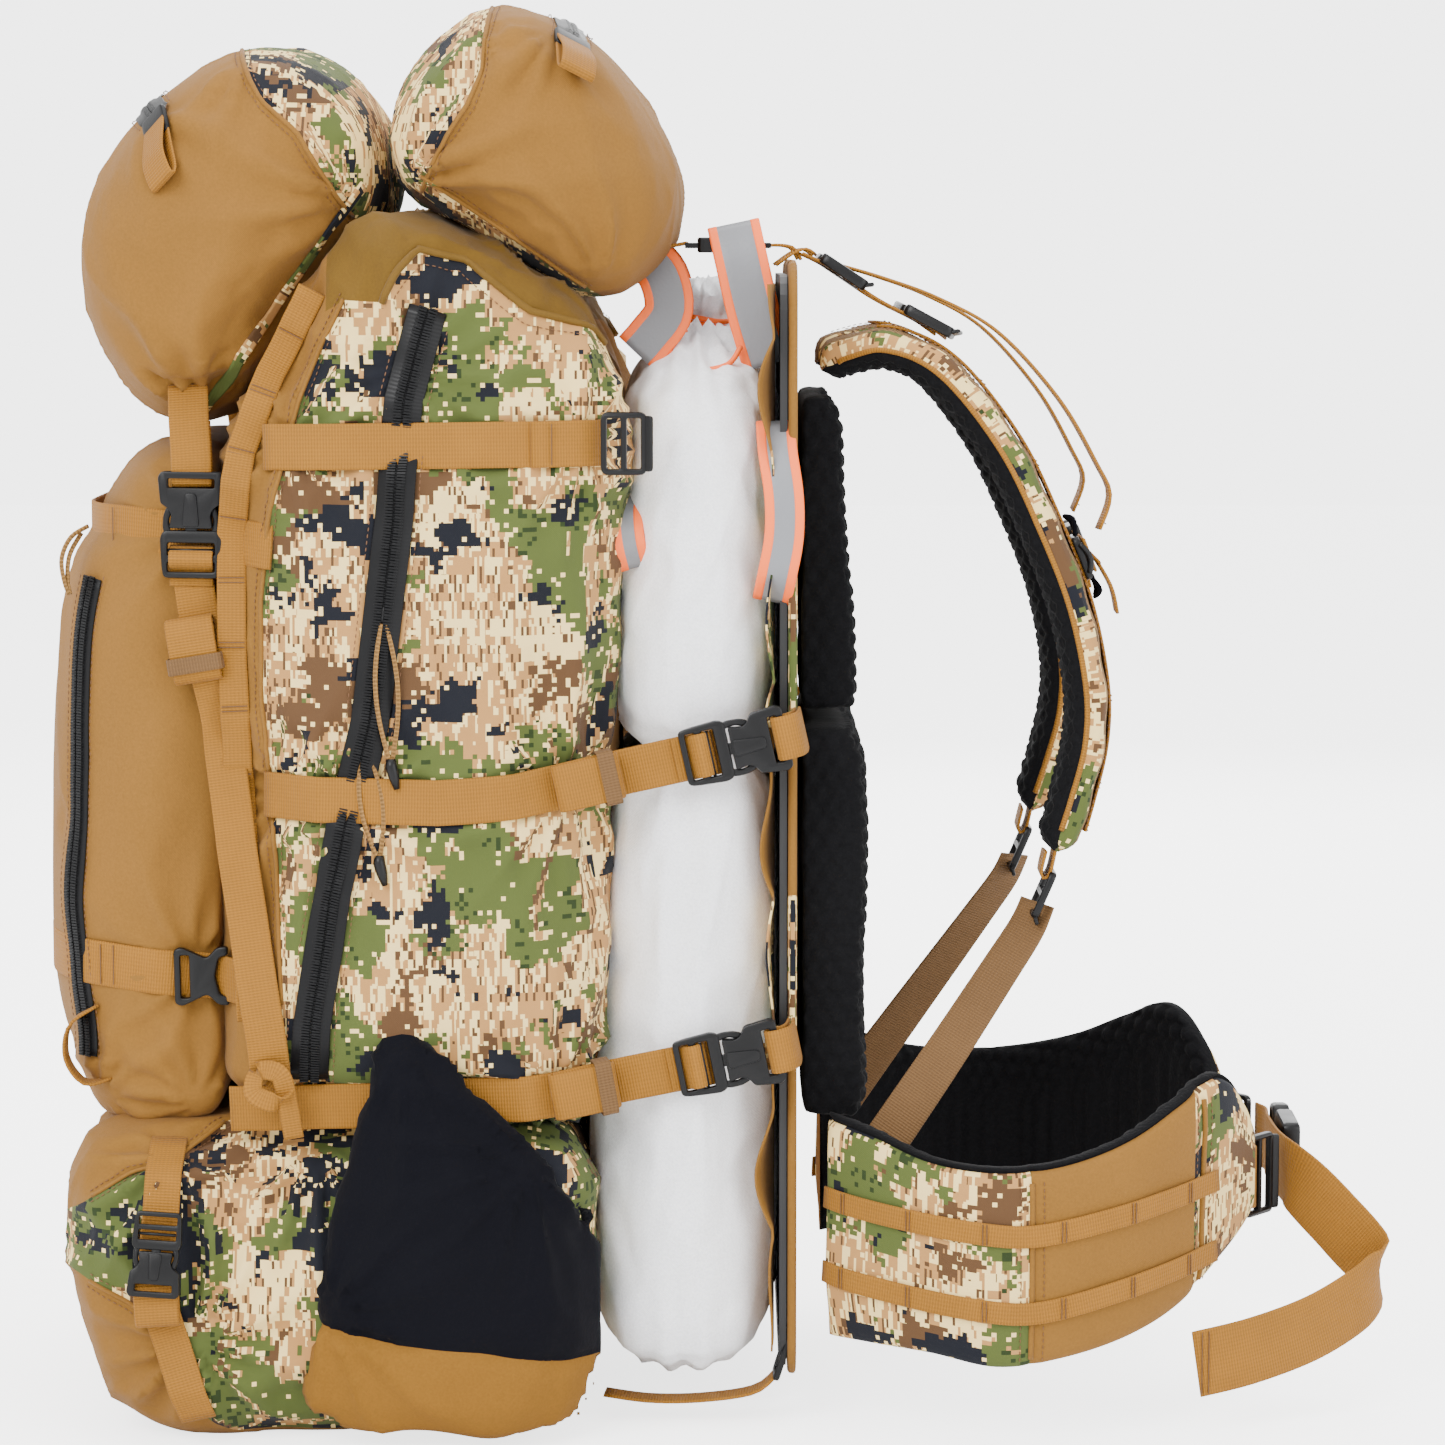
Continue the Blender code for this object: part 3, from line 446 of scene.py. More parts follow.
def make_materials():
    """Every finish of the pack, by name."""
    tones = colours()
    made = {}

    def keep(paint):
        made[paint.name] = paint.material
        return paint

    camo = cloth_finish(keep(Paint("camo_cloth", 0.86)), 0.04)
    camo.colour(camo_colour(camo))
    camo.bump(camo.noise(camo.place(), 260.0, 3.0) + weave_height(camo, 0.0011) * 0.4, 0.0005, 0.5)

    brown = cloth_finish(keep(Paint("brown_cloth", 0.82)), 0.06)
    brown.colour(shaded(brown, tones.brown))
    brown.bump(brown.noise(brown.place(), 230.0, 3.0) + weave_height(brown, 0.0009) * 0.5,
               0.0004, 0.5)

    collar = cloth_finish(keep(Paint("collar_cloth", 0.7)), 0.05)
    collar.colour(shaded(collar, tones.collar, 0.2, 20.0))
    collar.bump(collar.noise(collar.place(), 90.0, 3.0), 0.0012, 0.6)

    stretch = cloth_finish(keep(Paint("stretch_cloth", 0.92)), 0.02, 0.1)
    stretch.colour(shaded(stretch, tones.stretch, 0.15, 22.0))
    stretch.bump(stretch.noise(stretch.place(), 420.0, 2.0), 0.0004, 0.5)

    white = keep(Paint("game_cloth", 0.78))
    white.colour(shaded(white, (0.93, 0.94, 0.97), 0.02, 9.0))
    white.bump(white.noise(white.place(), 60.0, 4.0, 0.6) + weave_height(white, 0.0014) * 0.15,
               0.0016, 0.5)

    for name, tone in (("webbing", tones.webbing), ("harness_webbing", tones.harness)):
        web = cloth_finish(keep(Paint(name, 0.66)), 0.04)
        u, v, _ = web.parts(web.cloth_map())
        ribs = (u * (2 * math.pi / 0.0016)).sine() * 0.5 + 0.5
        warp = (v * (2 * math.pi / 0.0022)).sine() * 0.5 + 0.5
        cross = (abs((v * 450.0).fract() - 0.5) * 2.0 + u * 620.0).fract()
        height = ribs * 0.6 + warp * 0.25 + cross * 0.25
        depth = height * 0.42 + (web.noise(web.place(), 40.0, 3.0) - 0.5) * 0.25 + 0.68
        web.colour(web.scaled(tone, depth))
        web.bump(height, 0.0005, 0.8)

    plastic = keep(Paint("buckle_plastic", 0.28, Specular_IOR_Level=0.26))
    plastic.colour((0.0035, 0.0035, 0.004))
    fine = plastic.noise(plastic.place(), 900.0, 2.0)
    plastic.rough(plastic.noise(plastic.place(), 60.0, 2.0) * 0.22 + 0.24)
    plastic.bump(fine, 0.00012, 0.5)

    sheet = keep(Paint("frame_plastic", 0.5))
    sheet.colour((0.008, 0.008, 0.009))
    sheet.bump(sheet.noise(sheet.place(), 300.0, 2.0), 0.0002, 0.5)

    tape = keep(Paint("zip_tape", 0.4, Specular_IOR_Level=0.2))
    u, v, _ = tape.parts(tape.cloth_map())
    ridge = (u * (2 * math.pi / 0.0022)).sine() * 0.5 + 0.5
    tape.colour((0.0035, 0.0036, 0.0042))
    tape.rough(ridge * 0.2 + 0.34)
    tape.bump(ridge * (abs(v) < 0.0034), 0.0008, 0.9)

    mesh = cloth_finish(keep(Paint("spacer_mesh", 0.93)), 0.02, 0.12)
    place = mesh.place()
    mesh.colour(mesh.mix(mesh.noise(place, 380.0, 1.0), (0.002, 0.002, 0.0025), tones.mesh))
    mesh.bump(mesh.noise(place, 520.0, 2.0), 0.0008, 0.8)

    tan = cloth_finish(keep(Paint("strap_mesh", 0.88)), 0.04)
    u, v, _ = tan.parts(tan.cloth_map())
    pores = ((u * (2 * math.pi / 0.0034)).sine() * (v * (2 * math.pi / 0.0034)).sine())
    tan.colour(tan.mix(pores * 0.5 + 0.5, (0.09, 0.05, 0.018), (0.34, 0.19, 0.075)))
    tan.bump(pores, 0.0008, 0.8)

    for name, tone in (("thread", (0.13, 0.052, 0.014)), ("tack_thread", (0.11, 0.046, 0.012))):
        thread = keep(Paint(name, 0.6))
        thread.colour(shaded(thread, tone))
    cord = cloth_finish(keep(Paint("tan_cord", 0.75)), 0.05)
    u, v, _ = cord.parts(cord.cloth_map())
    braid = ((u * 1400.0 + v * 900.0).sine() * (u * 1400.0 - v * 900.0).sine())
    cord.colour(cord.mix(braid * 0.5 + 0.5, (0.12, 0.06, 0.016), (0.36, 0.19, 0.055)))
    cord.bump(braid, 0.0005, 0.8)

    for name, tone, rough in (("orange_trim", tones.orange, 0.6),
                              ("reflective", (0.2, 0.205, 0.22), 0.36)):
        trim = keep(Paint(name, rough))
        trim.colour(tone)
        trim.bump(trim.noise(trim.place(), 500.0, 1.0), 0.0003, 0.5)

    floor = keep(Paint("floor", 0.9))
    floor.colour((0.95, 0.95, 0.95))
    seen = floor.add("LightPath", out="Is Camera Ray")
    floor.shader.inputs["Emission Strength"].default_value = 1.0
    floor.plug(floor.shader.inputs["Emission Color"], floor.mix(seen, (0.0, 0.0, 0.0),
                                                                (2.6, 2.6, 2.6)))
    return made


def finish_of(name):
    if "finishes" not in MADE:
        MADE["finishes"] = make_materials()
    return MADE["finishes"][name]


def new_object(name, data):
    """An object in the scene that holds a mesh, curve, lamp or lens."""
    made = bpy.data.objects.new(name, data)
    bpy.context.scene.collection.objects.link(made)
    return made


def read(items, label, width=1, kind=np.float32):
    """An attribute of many mesh elements as an array."""
    out = np.empty(len(items) * width, kind)
    items.foreach_get(label, out)
    return out.reshape(-1, width) if width > 1 else out


def wear(piece, finishes):
    """Give a piece its finishes and nothing else."""
    piece.data.materials.clear()
    for finish in finishes if isinstance(finishes, (list, tuple)) else [finishes]:
        piece.data.materials.append(finish_of(finish))


def mesh_piece(name, points, faces, finishes, cloth=None, indices=None):
    """A new object from points and faces; cloth gives (u, v) per corner."""
    mesh = bpy.data.meshes.new(name)
    mesh.from_pydata([tuple(p) for p in points], [], faces)
    piece = new_object(name, mesh)
    wear(piece, finishes)
    if indices is not None:
        mesh.polygons.foreach_set("material_index", indices)
    if cloth is not None:
        layer = mesh.uv_layers.new(name="cloth")
        layer.data.foreach_set("uv", np.asarray(cloth, np.float32).ravel())
    mesh.polygons.foreach_set("use_smooth", [True] * len(mesh.polygons))
    mesh.update()
    return piece


def points_of(piece):
    return read(piece.data.vertices, "co", 3).astype(float)


def normals_of(piece):
    return read(piece.data.vertex_normals, "vector", 3).astype(float)


def put_points(piece, points):
    piece.data.vertices.foreach_set("co", np.asarray(points, np.float32).ravel())
    piece.data.update()


def bake_modifiers(piece):
    """Turn a piece and its modifiers into a plain mesh."""
    graph = bpy.context.evaluated_depsgraph_get()
    mesh = bpy.data.meshes.new_from_object(piece.evaluated_get(graph))
    piece.modifiers.clear()
    piece.data = mesh
    return piece


def drop(piece):
    bpy.data.objects.remove(piece, do_unlink=True)


def box_cloth(piece):
    """Lay a cloth map in metres over a piece, by which way each face looks."""
    mesh = piece.data
    layer = mesh.uv_layers.get("cloth") or mesh.uv_layers.new(name="cloth")
    points = points_of(piece)
    loops = read(mesh.loops, "vertex_index", kind=np.int32)
    totals = read(mesh.polygons, "loop_total", kind=np.int32)
    normals = read(mesh.polygons, "normal", 3)
    face = np.repeat(np.arange(len(totals)), totals)
    reach = np.abs(normals)
    reach[:, 1] *= 1.25
    axis = np.argmax(reach, axis=1)[face]
    where = points[loops]
    u = np.where(axis == 0, where[:, 1] + 1.7, where[:, 0])
    v = np.where(axis == 2, where[:, 1] + 2.9, where[:, 2])
    layer.data.foreach_set("uv", np.stack([u, v], 1).astype(np.float32).ravel())


def value_noise(points, scale, seed=0):
    """Smooth noise from -1 to 1 at an array of points."""
    p = points * scale + seed * 17.31
    cell = np.floor(p).astype(np.int64)
    part = p - cell
    part = part * part * part * (part * (part * 6 - 15) + 10)
    total = np.zeros(len(p))
    for corner in range(8):
        step = np.array([corner & 1, corner >> 1 & 1, corner >> 2 & 1])
        at = cell + step
        mixed = (at[:, 0] * 374761393 + at[:, 1] * 668265263 + at[:, 2] * 2147483647
                 + seed * 1274126177) & 0xFFFFFFFF
        mixed = ((mixed ^ (mixed >> 13)) * 1274126177) & 0xFFFFFFFF
        value = ((mixed ^ (mixed >> 16)) & 0xFFFF) / 32767.5 - 1
        weight = np.prod(np.where(step, part, 1 - part), axis=1)
        total += value * weight
    return total


def folds(points, along, scale, seed=0, stretch=4.0):
    """Sharp-crested folds that run along a direction, 0 to 1."""
    along = np.asarray(along, float) / np.linalg.norm(along)
    squeezed = points - np.outer(points @ along, along) * (1 - 1 / stretch)
    warp = np.stack([value_noise(points, scale * 0.4, seed + k) for k in range(3)], 1)
    wave = value_noise(squeezed + warp * 0.25 / scale, scale, seed)
    return 1 - np.abs(wave) * 2.0


def fan(points, centre, count, reach, depth, seed):
    """Folds that spread from a gathered point of the side view."""
    flat = points[:, [0, 2]] - np.asarray(centre)
    away = np.hypot(flat[:, 0], flat[:, 1])
    angle = np.arctan2(flat[:, 1], flat[:, 0])
    wave = np.sin(angle * count * 0.5 + 1.4 * value_noise(points, 14.0, seed) + seed)
    fade = np.exp(-(away / reach) ** 2) * smoothstep(0.0, 0.3 * reach, away)
    return depth * fade * (1 - 2 * np.abs(wave))


def segment_distance(points, start, end):
    start, end = np.asarray(start, float), np.asarray(end, float)
    run = end - start
    t = np.clip((points - start) @ run / (run @ run), 0, 1)
    return np.linalg.norm(points - (start + t[:, None] * run), axis=1)


def smoothstep(low, high, x):
    t = np.clip((x - low) / (high - low), 0, 1)
    return t * t * (3 - 2 * t)


def soft_shell(name, nodes, finishes, voxel=None, rounds=5):
    """Even cloth surface over one or more of the model's soft solids."""
    work = bmesh.new()
    for node in nodes:
        work.from_mesh(frame["nodes"][node].data)
    bmesh.ops.remove_doubles(work, verts=work.verts, dist=1e-5)
    mesh = bpy.data.meshes.new(name)
    work.to_mesh(mesh)
    work.free()
    piece = new_object(name, mesh)
    remesh = piece.modifiers.new("even", "REMESH")
    remesh.mode = "VOXEL"
    remesh.voxel_size = voxel or sizes().voxel
    ease = piece.modifiers.new("ease", "SMOOTH")
    ease.factor, ease.iterations = 0.5, rounds
    bake_modifiers(piece)
    wear(piece, finishes)
    return piece


CLOTH_STIFFNESS = 12.0


def settle_cloth(piece, frames, pressure, shrink, cap, pinned=None):
    """Let the shell swell and crease as cloth, then keep the result."""
    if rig.quick():
        return piece
    start = points_of(piece)
    if pinned is not None:
        group = piece.vertex_groups.new(name="sewn")
        for level in (0.35, 0.7, 1.0):
            chosen = np.nonzero(pinned >= level)[0]
            group.add([int(i) for i in chosen], level, "REPLACE")
    cloth = piece.modifiers.new("cloth", "CLOTH")
    facts = cloth.settings
    facts.quality, facts.mass = 5, 0.2
    facts.tension_stiffness = facts.compression_stiffness = CLOTH_STIFFNESS
    facts.shear_stiffness, facts.bending_stiffness = CLOTH_STIFFNESS * 0.5, 0.25
    facts.use_pressure, facts.uniform_pressure_force = True, pressure
    facts.effector_weights.gravity = 0.0
    facts.shrink_min = facts.shrink_max = shrink
    if pinned is not None:
        facts.vertex_group_mass = "sewn"
    cloth.point_cache.frame_start, cloth.point_cache.frame_end = 1, frames
    scene = bpy.context.scene
    for step in range(1, frames + 1):
        scene.frame_set(step)
    moved_mesh = bpy.data.meshes.new_from_object(
        piece.evaluated_get(bpy.context.evaluated_depsgraph_get()))
    piece.modifiers.clear()
    moved = read(moved_mesh.vertices, "co", 3).astype(float) - start
    bpy.data.meshes.remove(moved_mesh)
    reach = np.linalg.norm(moved, axis=1, keepdims=True)
    moved *= np.minimum(1.0, cap / np.maximum(reach, 1e-9))
    put_points(piece, start + moved)
    piece.vertex_groups.clear()
    scene.frame_set(1)
    return piece


def refine(piece):
    """Finer, rounder surface for folds."""
    finer = piece.modifiers.new("finer", "SUBSURF")
    finer.levels = finer.render_levels = 1
    return bake_modifiers(piece)


def finish_shell(piece, body, node_names, slot_name, padded=None):
    """Smooth, map, and hand a cloth shell to the frame."""
    piece.data.polygons.foreach_set("use_smooth", [True] * len(piece.data.polygons))
    box_cloth(piece)
    hand_over(piece, body, node_names, slot_name)
    if padded is not None:
        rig.padded(piece, fill=padded)
    return piece


def hand_over(piece, body, node_names=(), slot_name=None):
    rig.ride(piece, body)
    if node_names:
        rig.replaces(piece, *node_names)
    if slot_name:
        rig.slot(piece, slot_name)
    MADE[piece.name] = piece
    return piece


def tree_of(*pieces):
    points, faces = [], []
    for piece in pieces:
        shift = len(points)
        points += [v.co.copy() for v in piece.data.vertices]
        faces += [[shift + i for i in p.vertices] for p in piece.data.polygons]
    return BVHTree.FromPolygons(points, faces)


def mirror_piece(piece, name):
    """Left-hand copy of a right-hand piece."""
    mesh = piece.data.copy()
    mesh.name = name
    points = points_of(piece)
    points[:, 1] *= -1
    mesh.vertices.foreach_set("co", points.astype(np.float32).ravel())
    mesh.flip_normals()
    mesh.update()
    return new_object(name, mesh)


def spline(points, spacing=0.006):
    """Even points, as an array, on a smooth curve through the given ones."""
    control = [np.asarray(p, float) for p in points]
    fine = []
    for i in range(len(control) - 1):
        p0, p1 = control[max(i - 1, 0)], control[i]
        p2, p3 = control[i + 1], control[min(i + 2, len(control) - 1)]
        for k in range(12):
            t = k / 12
            fine.append(0.5 * (2 * p1 + (p2 - p0) * t + (2 * p0 - 5 * p1 + 4 * p2 - p3) * t * t
                               + (3 * p1 - p0 - 3 * p2 + p3) * t ** 3))
    fine.append(control[-1])
    return resample(np.array(fine), spacing)


def travel(line):
    """Distance from the start of a line to each of its points."""
    return np.concatenate([[0], np.cumsum(np.linalg.norm(np.diff(line, axis=0), axis=1))])


def length_of(line):
    return float(np.sum(np.linalg.norm(np.diff(line, axis=0), axis=1)))


def resample(line, spacing):
    line = np.asarray(line, float)
    reach = travel(line)
    count = max(2, int(round(reach[-1] / spacing)) + 1)
    at = np.linspace(0, reach[-1], count)
    return np.stack([np.interp(at, reach, line[:, k]) for k in range(line.shape[1])], 1)


def directions(line):
    ahead = np.gradient(line, axis=0)
    return ahead / np.maximum(np.linalg.norm(ahead, axis=1, keepdims=True), 1e-12)


def sweep(name, line, across, profile, finish, closed=False):
    """Skin a profile of (across, out) offsets along a line.

    across is one direction or one per point; the cloth map runs along the
    line in u and across it in v.
    """
    line = np.asarray(line, float)
    along = directions(line)
    if closed:
        along = np.roll(line, -1, 0) - np.roll(line, 1, 0)
        along /= np.linalg.norm(along, axis=1, keepdims=True)
    across = np.broadcast_to(np.asarray(across, float), line.shape).copy()
    across -= along * np.sum(across * along, axis=1, keepdims=True)
    across /= np.linalg.norm(across, axis=1, keepdims=True)
    out = np.cross(along, across)
    profile = np.asarray(profile, float)
    if profile.ndim == 2:
        profile = np.repeat(profile[None], len(line), 0)
    rings = (line[:, None] + across[:, None] * profile[..., :1]
             + out[:, None] * profile[..., 1:])
    n, m = rings.shape[:2]
    reach = travel(line)
    edge = travel(profile[0])
    faces, cloth = [], []
    flat = profile[0][:, 0]
    spread = np.ptp(profile[0][:, 0]) > 2.5 * np.ptp(profile[0][:, 1])
    v_at = flat if spread else edge
    for i in range(n if closed else n - 1):
        j = (i + 1) % n
        for k in range(m):
            l = (k + 1) % m
            faces.append((i * m + k, i * m + l, j * m + l, j * m + k))
            u0 = reach[i]
            u1 = reach[j] if j else reach[i] + 0.005
            v0, v1 = v_at[k], v_at[l] if l or spread else v_at[k] + 0.001
            cloth += [(u0, v0), (u0, v1), (u1, v1), (u1, v0)]
    if not closed:
        faces.append(tuple(range(m)))
        cloth += [(0.0, flat[k]) for k in range(m)]
        faces.append(tuple((n - 1) * m + k for k in reversed(range(m))))
        cloth += [(reach[-1], flat[k]) for k in reversed(range(m))]
    piece = mesh_piece(name, rings.reshape(-1, 3), faces, finish, cloth)
    right_way_out(piece)
    return piece


def right_way_out(piece):
    """Make every closed part's faces look outwards, keeping the cloth map."""
    work = bmesh.new()
    work.from_mesh(piece.data)
    bmesh.ops.recalc_face_normals(work, faces=work.faces)
    work.to_mesh(piece.data)
    work.free()


def web_profile(width, thick):
    """Cross-section of webbing with soft edges."""
    w, t = width / 2, thick / 2
    r = t * 0.9
    upper = [(-w, 0), (-w + r * 0.4, t * 0.75), (-w + r * 1.2, t), (-w * 0.5, t), (0, t),
             (w * 0.5, t), (w - r * 1.2, t), (w - r * 0.4, t * 0.75), (w, 0)]
    return upper + [(x, -y) for x, y in reversed(upper[1:-1])]


def tube_profile(radius, count=8):
    return [(radius * math.cos(2 * math.pi * k / count),
             radius * math.sin(2 * math.pi * k / count))
            for k in range(count)]


def webbing(name, line, across, width=None, finish="webbing", thick=None):
    return sweep(name, line, across, web_profile(width or sizes().web,
                                                 thick or sizes().web_thick), finish)


def cordage(name, line, radius, finish="tan_cord", count=8):
    line = np.asarray(line, float)
    along = directions(line)
    across = np.cross(along, (0.13, 0.91, 0.38))
    return sweep(name, line, across, tube_profile(radius, count), finish)


def join_pieces(name, pieces):
    """One piece from several, keeping cloth maps and finishes."""
    for other in bpy.context.selected_objects:
        other.select_set(False)
    for piece in pieces:
        piece.select_set(True)
    bpy.context.view_layer.objects.active = pieces[0]
    bpy.ops.object.join()
    pieces[0].name = name
    pieces[0].data.name = name
    return pieces[0]


SEWN = {}                    # body -> thread runs, each (line, outs)
TACKED = {}                  # body -> bar tacks, each (line, outs)
TEETH = {}                   # body -> zip coils, each (line, outs)


def sew(body, line, outs, kind=SEWN):
    line = np.asarray(line, float)
    outs = np.broadcast_to(np.asarray(outs, float), line.shape)
    kind.setdefault(body, []).append((line, outs))


def tack(body, middle, across, out, width, rows=2, gap=0.0022, along=None):
    """Short dense rows of thread across a strap."""
    middle, across, out = (np.asarray(v, float) for v in (middle, across, out))
    across = across / np.linalg.norm(across)
    step = np.cross(across, out) if along is None else np.asarray(along, float)
    for k in range(rows):
        at = middle + step * gap * (k - (rows - 1) / 2)
        sew(body, [at - across * width / 2, at + across * width / 2], out, TACKED)


def run_tree(name, kind):
    """Node tree that repeats a small bar along every line of a mesh."""
    tree = bpy.data.node_groups.new(name, "GeometryNodeTree")
    face = tree.interface
    face.new_socket("Geometry", in_out="INPUT", socket_type="NodeSocketGeometry")
    for label in ("Spacing", "Length", "Width", "Height"):
        face.new_socket(label, in_out="INPUT", socket_type="NodeSocketFloat")
    face.new_socket("Finish", in_out="INPUT", socket_type="NodeSocketMaterial")
    face.new_socket("Geometry", in_out="OUTPUT", socket_type="NodeSocketGeometry")
    add, link = tree.nodes.new, tree.links.new
    given, result = add("NodeGroupInput"), add("NodeGroupOutput")
    curve, even = add("GeometryNodeMeshToCurve"), add("GeometryNodeResampleCurve")
    even.mode = "LENGTH"
    link(given.outputs["Geometry"], curve.inputs[0])
    link(curve.outputs[0], even.inputs["Curve"])
    link(given.outputs["Spacing"], even.inputs["Length"])
    size = add("ShaderNodeCombineXYZ")
    for at, label in enumerate(("Length", "Width", "Height")):
        link(given.outputs[label], size.inputs[at])
    bar = add("GeometryNodeMeshUVSphere" if kind == "thread" else "GeometryNodeMeshCube")
    shape = bar.outputs[0]
    if kind == "thread":
        bar.inputs["Segments"].default_value = 6
        bar.inputs["Rings"].default_value = 4
        bar.inputs["Radius"].default_value = 0.5
        scale = add("GeometryNodeTransform")
        link(shape, scale.inputs["Geometry"])
        link(size.outputs[0], scale.inputs["Scale"])
        shape = scale.outputs[0]
    else:
        link(size.outputs[0], bar.inputs["Size"])
    tangent, out = add("GeometryNodeInputTangent"), add("GeometryNodeInputNamedAttribute")
    out.data_type = "FLOAT_VECTOR"
    out.inputs["Name"].default_value = "out"
    first, second = add("FunctionNodeAlignRotationToVector"), add("FunctionNodeAlignRotationToVector")
    first.axis, second.axis, second.pivot_axis = "X", "Z", "X"
    link(tangent.outputs[0], first.inputs["Vector"])
    link(first.outputs[0], second.inputs["Rotation"])
    link(out.outputs["Attribute"], second.inputs["Vector"])
    spread = add("GeometryNodeInstanceOnPoints")
    link(even.outputs[0], spread.inputs["Points"])
    link(shape, spread.inputs["Instance"])
    link(second.outputs[0], spread.inputs["Rotation"])
    real, paint = add("GeometryNodeRealizeInstances"), add("GeometryNodeSetMaterial")
    link(spread.outputs[0], real.inputs[0])
    link(real.outputs[0], paint.inputs["Geometry"])
    link(given.outputs["Finish"], paint.inputs["Material"])
    link(paint.outputs[0], result.inputs[0])
    return tree


def repeat_along(name, body, runs, tree, finish, spacing, length, width, height):
    """One piece holding a small bar every so often along all the runs."""
    points, edges, outs = [], [], []
    for line, out in runs:
        start = len(points)
        out = out / np.maximum(np.linalg.norm(out, axis=1, keepdims=True), 1e-9)
        points += [tuple(p) for p in line]
        outs += [tuple(o) for o in out]
        edges += [(i, i + 1) for i in range(start, len(points) - 1)]
    mesh = bpy.data.meshes.new(name)
    mesh.from_pydata(points, edges, [])
    layer = mesh.attributes.new("out", "FLOAT_VECTOR", "POINT")
    layer.data.foreach_set("vector", np.asarray(outs, np.float32).ravel())
    piece = new_object(name, mesh)
    runner = piece.modifiers.new("run", "NODES")
    runner.node_group = tree
    values = {"Spacing": spacing, "Length": length, "Width": width, "Height": height,
              "Finish": finish_of(finish)}
    for item in tree.interface.items_tree:
        if item.in_out == "INPUT" and item.name in values:
            runner[item.identifier] = values[item.name]
    bake_modifiers(piece)
    piece.data.polygons.foreach_set("use_smooth", [finish == "thread"] * len(piece.data.polygons))
    return hand_over(piece, body)


HARD_EDGE = 0.7              # radians between faces that meet in a crisp edge


def plate(name, outline, holes, thick, origin, u_axis, v_axis, bevel=0.0008,
          finish="buckle_plastic"):
    """Flat moulded part with rounded edges; outline and holes in (u, v)."""
    curve = bpy.data.curves.new(name, "CURVE")
    curve.dimensions, curve.fill_mode = "2D", "BOTH"
    curve.extrude, curve.bevel_depth = max(thick / 2 - bevel, 1e-5), bevel
    curve.bevel_resolution, curve.offset = 1, -bevel
    for loop in [outline] + list(holes):
        line = curve.splines.new("POLY")
        line.points.add(len(loop) - 1)
        for at, (u, v) in zip(line.points, loop):
            at.co = (u, v, 0, 1)
        line.use_cyclic_u = True
    holder = new_object(name, curve)
    mesh = bpy.data.meshes.new_from_object(
        holder.evaluated_get(bpy.context.evaluated_depsgraph_get()))
    drop(holder)
    piece = new_object(name, mesh)
    u_axis, v_axis = Vector(u_axis).normalized(), Vector(v_axis).normalized()
    v_axis = (v_axis - u_axis * u_axis.dot(v_axis)).normalized()
    out = u_axis.cross(v_axis)
    spot = Matrix((u_axis, v_axis, out)).transposed().to_4x4()
    spot.translation = Vector(origin)
    mesh.transform(spot)
    tidy_hard(piece, finish)
    return piece


def tidy_hard(piece, finish):
    """Close the seams of a hard part and keep its edges crisp."""
    work = bmesh.new()
    work.from_mesh(piece.data)
    bmesh.ops.remove_doubles(work, verts=work.verts, dist=2e-5)
    bmesh.ops.recalc_face_normals(work, faces=work.faces)
    for face in work.faces:
        face.smooth = True
    for edge in work.edges:
        edge.smooth = edge.calc_face_angle(0.0) < HARD_EDGE
    work.to_mesh(piece.data)
    work.free()
    wear(piece, finish)


def rounded(outline, radius, steps=3):
    """Outline with its corners rounded off."""
    result, count = [], len(outline)
    for i in range(count):
        before, here, after = (Vector((*outline[j % count], 0)) for j in (i - 1, i, i + 1))
        reach = min(radius, (before - here).length * 0.48, (after - here).length * 0.48)
        start = here + (before - here).normalized() * reach
        end = here + (after - here).normalized() * reach
        for k in range(steps + 1):
            t = k / steps
            p = start * (1 - t) ** 2 + here * 2 * t * (1 - t) + end * t * t
            result.append((p.x, p.y))
    return result


def block(u0, u1, v0, v1):
    return [(u0, v0), (u1, v0), (u1, v1), (u0, v1)]


def window(u0, u1, v0, v1):
    """Rectangular hole with eased corners."""
    return rounded(block(u0, u1, v0, v1), 0.001, 2)


def bar_between(name, start, end, radius):
    start, end = np.asarray(start, float), np.asarray(end, float)
    return cordage(name, [start, (start + end) / 2, end], radius, "buckle_plastic")


def ladder_lock(name, middle, u_axis, v_axis, width, length, thick=0.005):
    """Strap adjuster: side rails, a lifted thumb end and two cross bars."""
    u, v = Vector(u_axis).normalized(), Vector(v_axis).normalized()
    v = (v - u * u.dot(v)).normalized()
    out = u.cross(v)
    middle = Vector(middle)
    half, reach = width / 2, length / 2
    parts = []
    outline = rounded(block(-reach, reach, -half, half), 0.0045, 4)
    gap = (length - 3 * 0.0034) / 2
    holes = [window(-reach + 0.0034, -reach + 0.0034 + gap, -half + 0.0034, half - 0.0034),
             window(reach - 0.0034 - gap, reach - 0.0034, -half + 0.0034, half - 0.0034)]
    parts.append(plate(name, outline, holes, thick * 0.72, middle, u, v, 0.0012))
    lip = rounded(block(-0.0018, 0.005, -half + 0.002, half - 0.002), 0.002, 3)
    lift = (u + out * 0.8).normalized()
    parts.append(plate("lip", lip, [], 0.0022, middle + u * (reach - 0.001) + out * 0.0004,
                       lift, v, 0.0008))
    return join_pieces(name, parts)


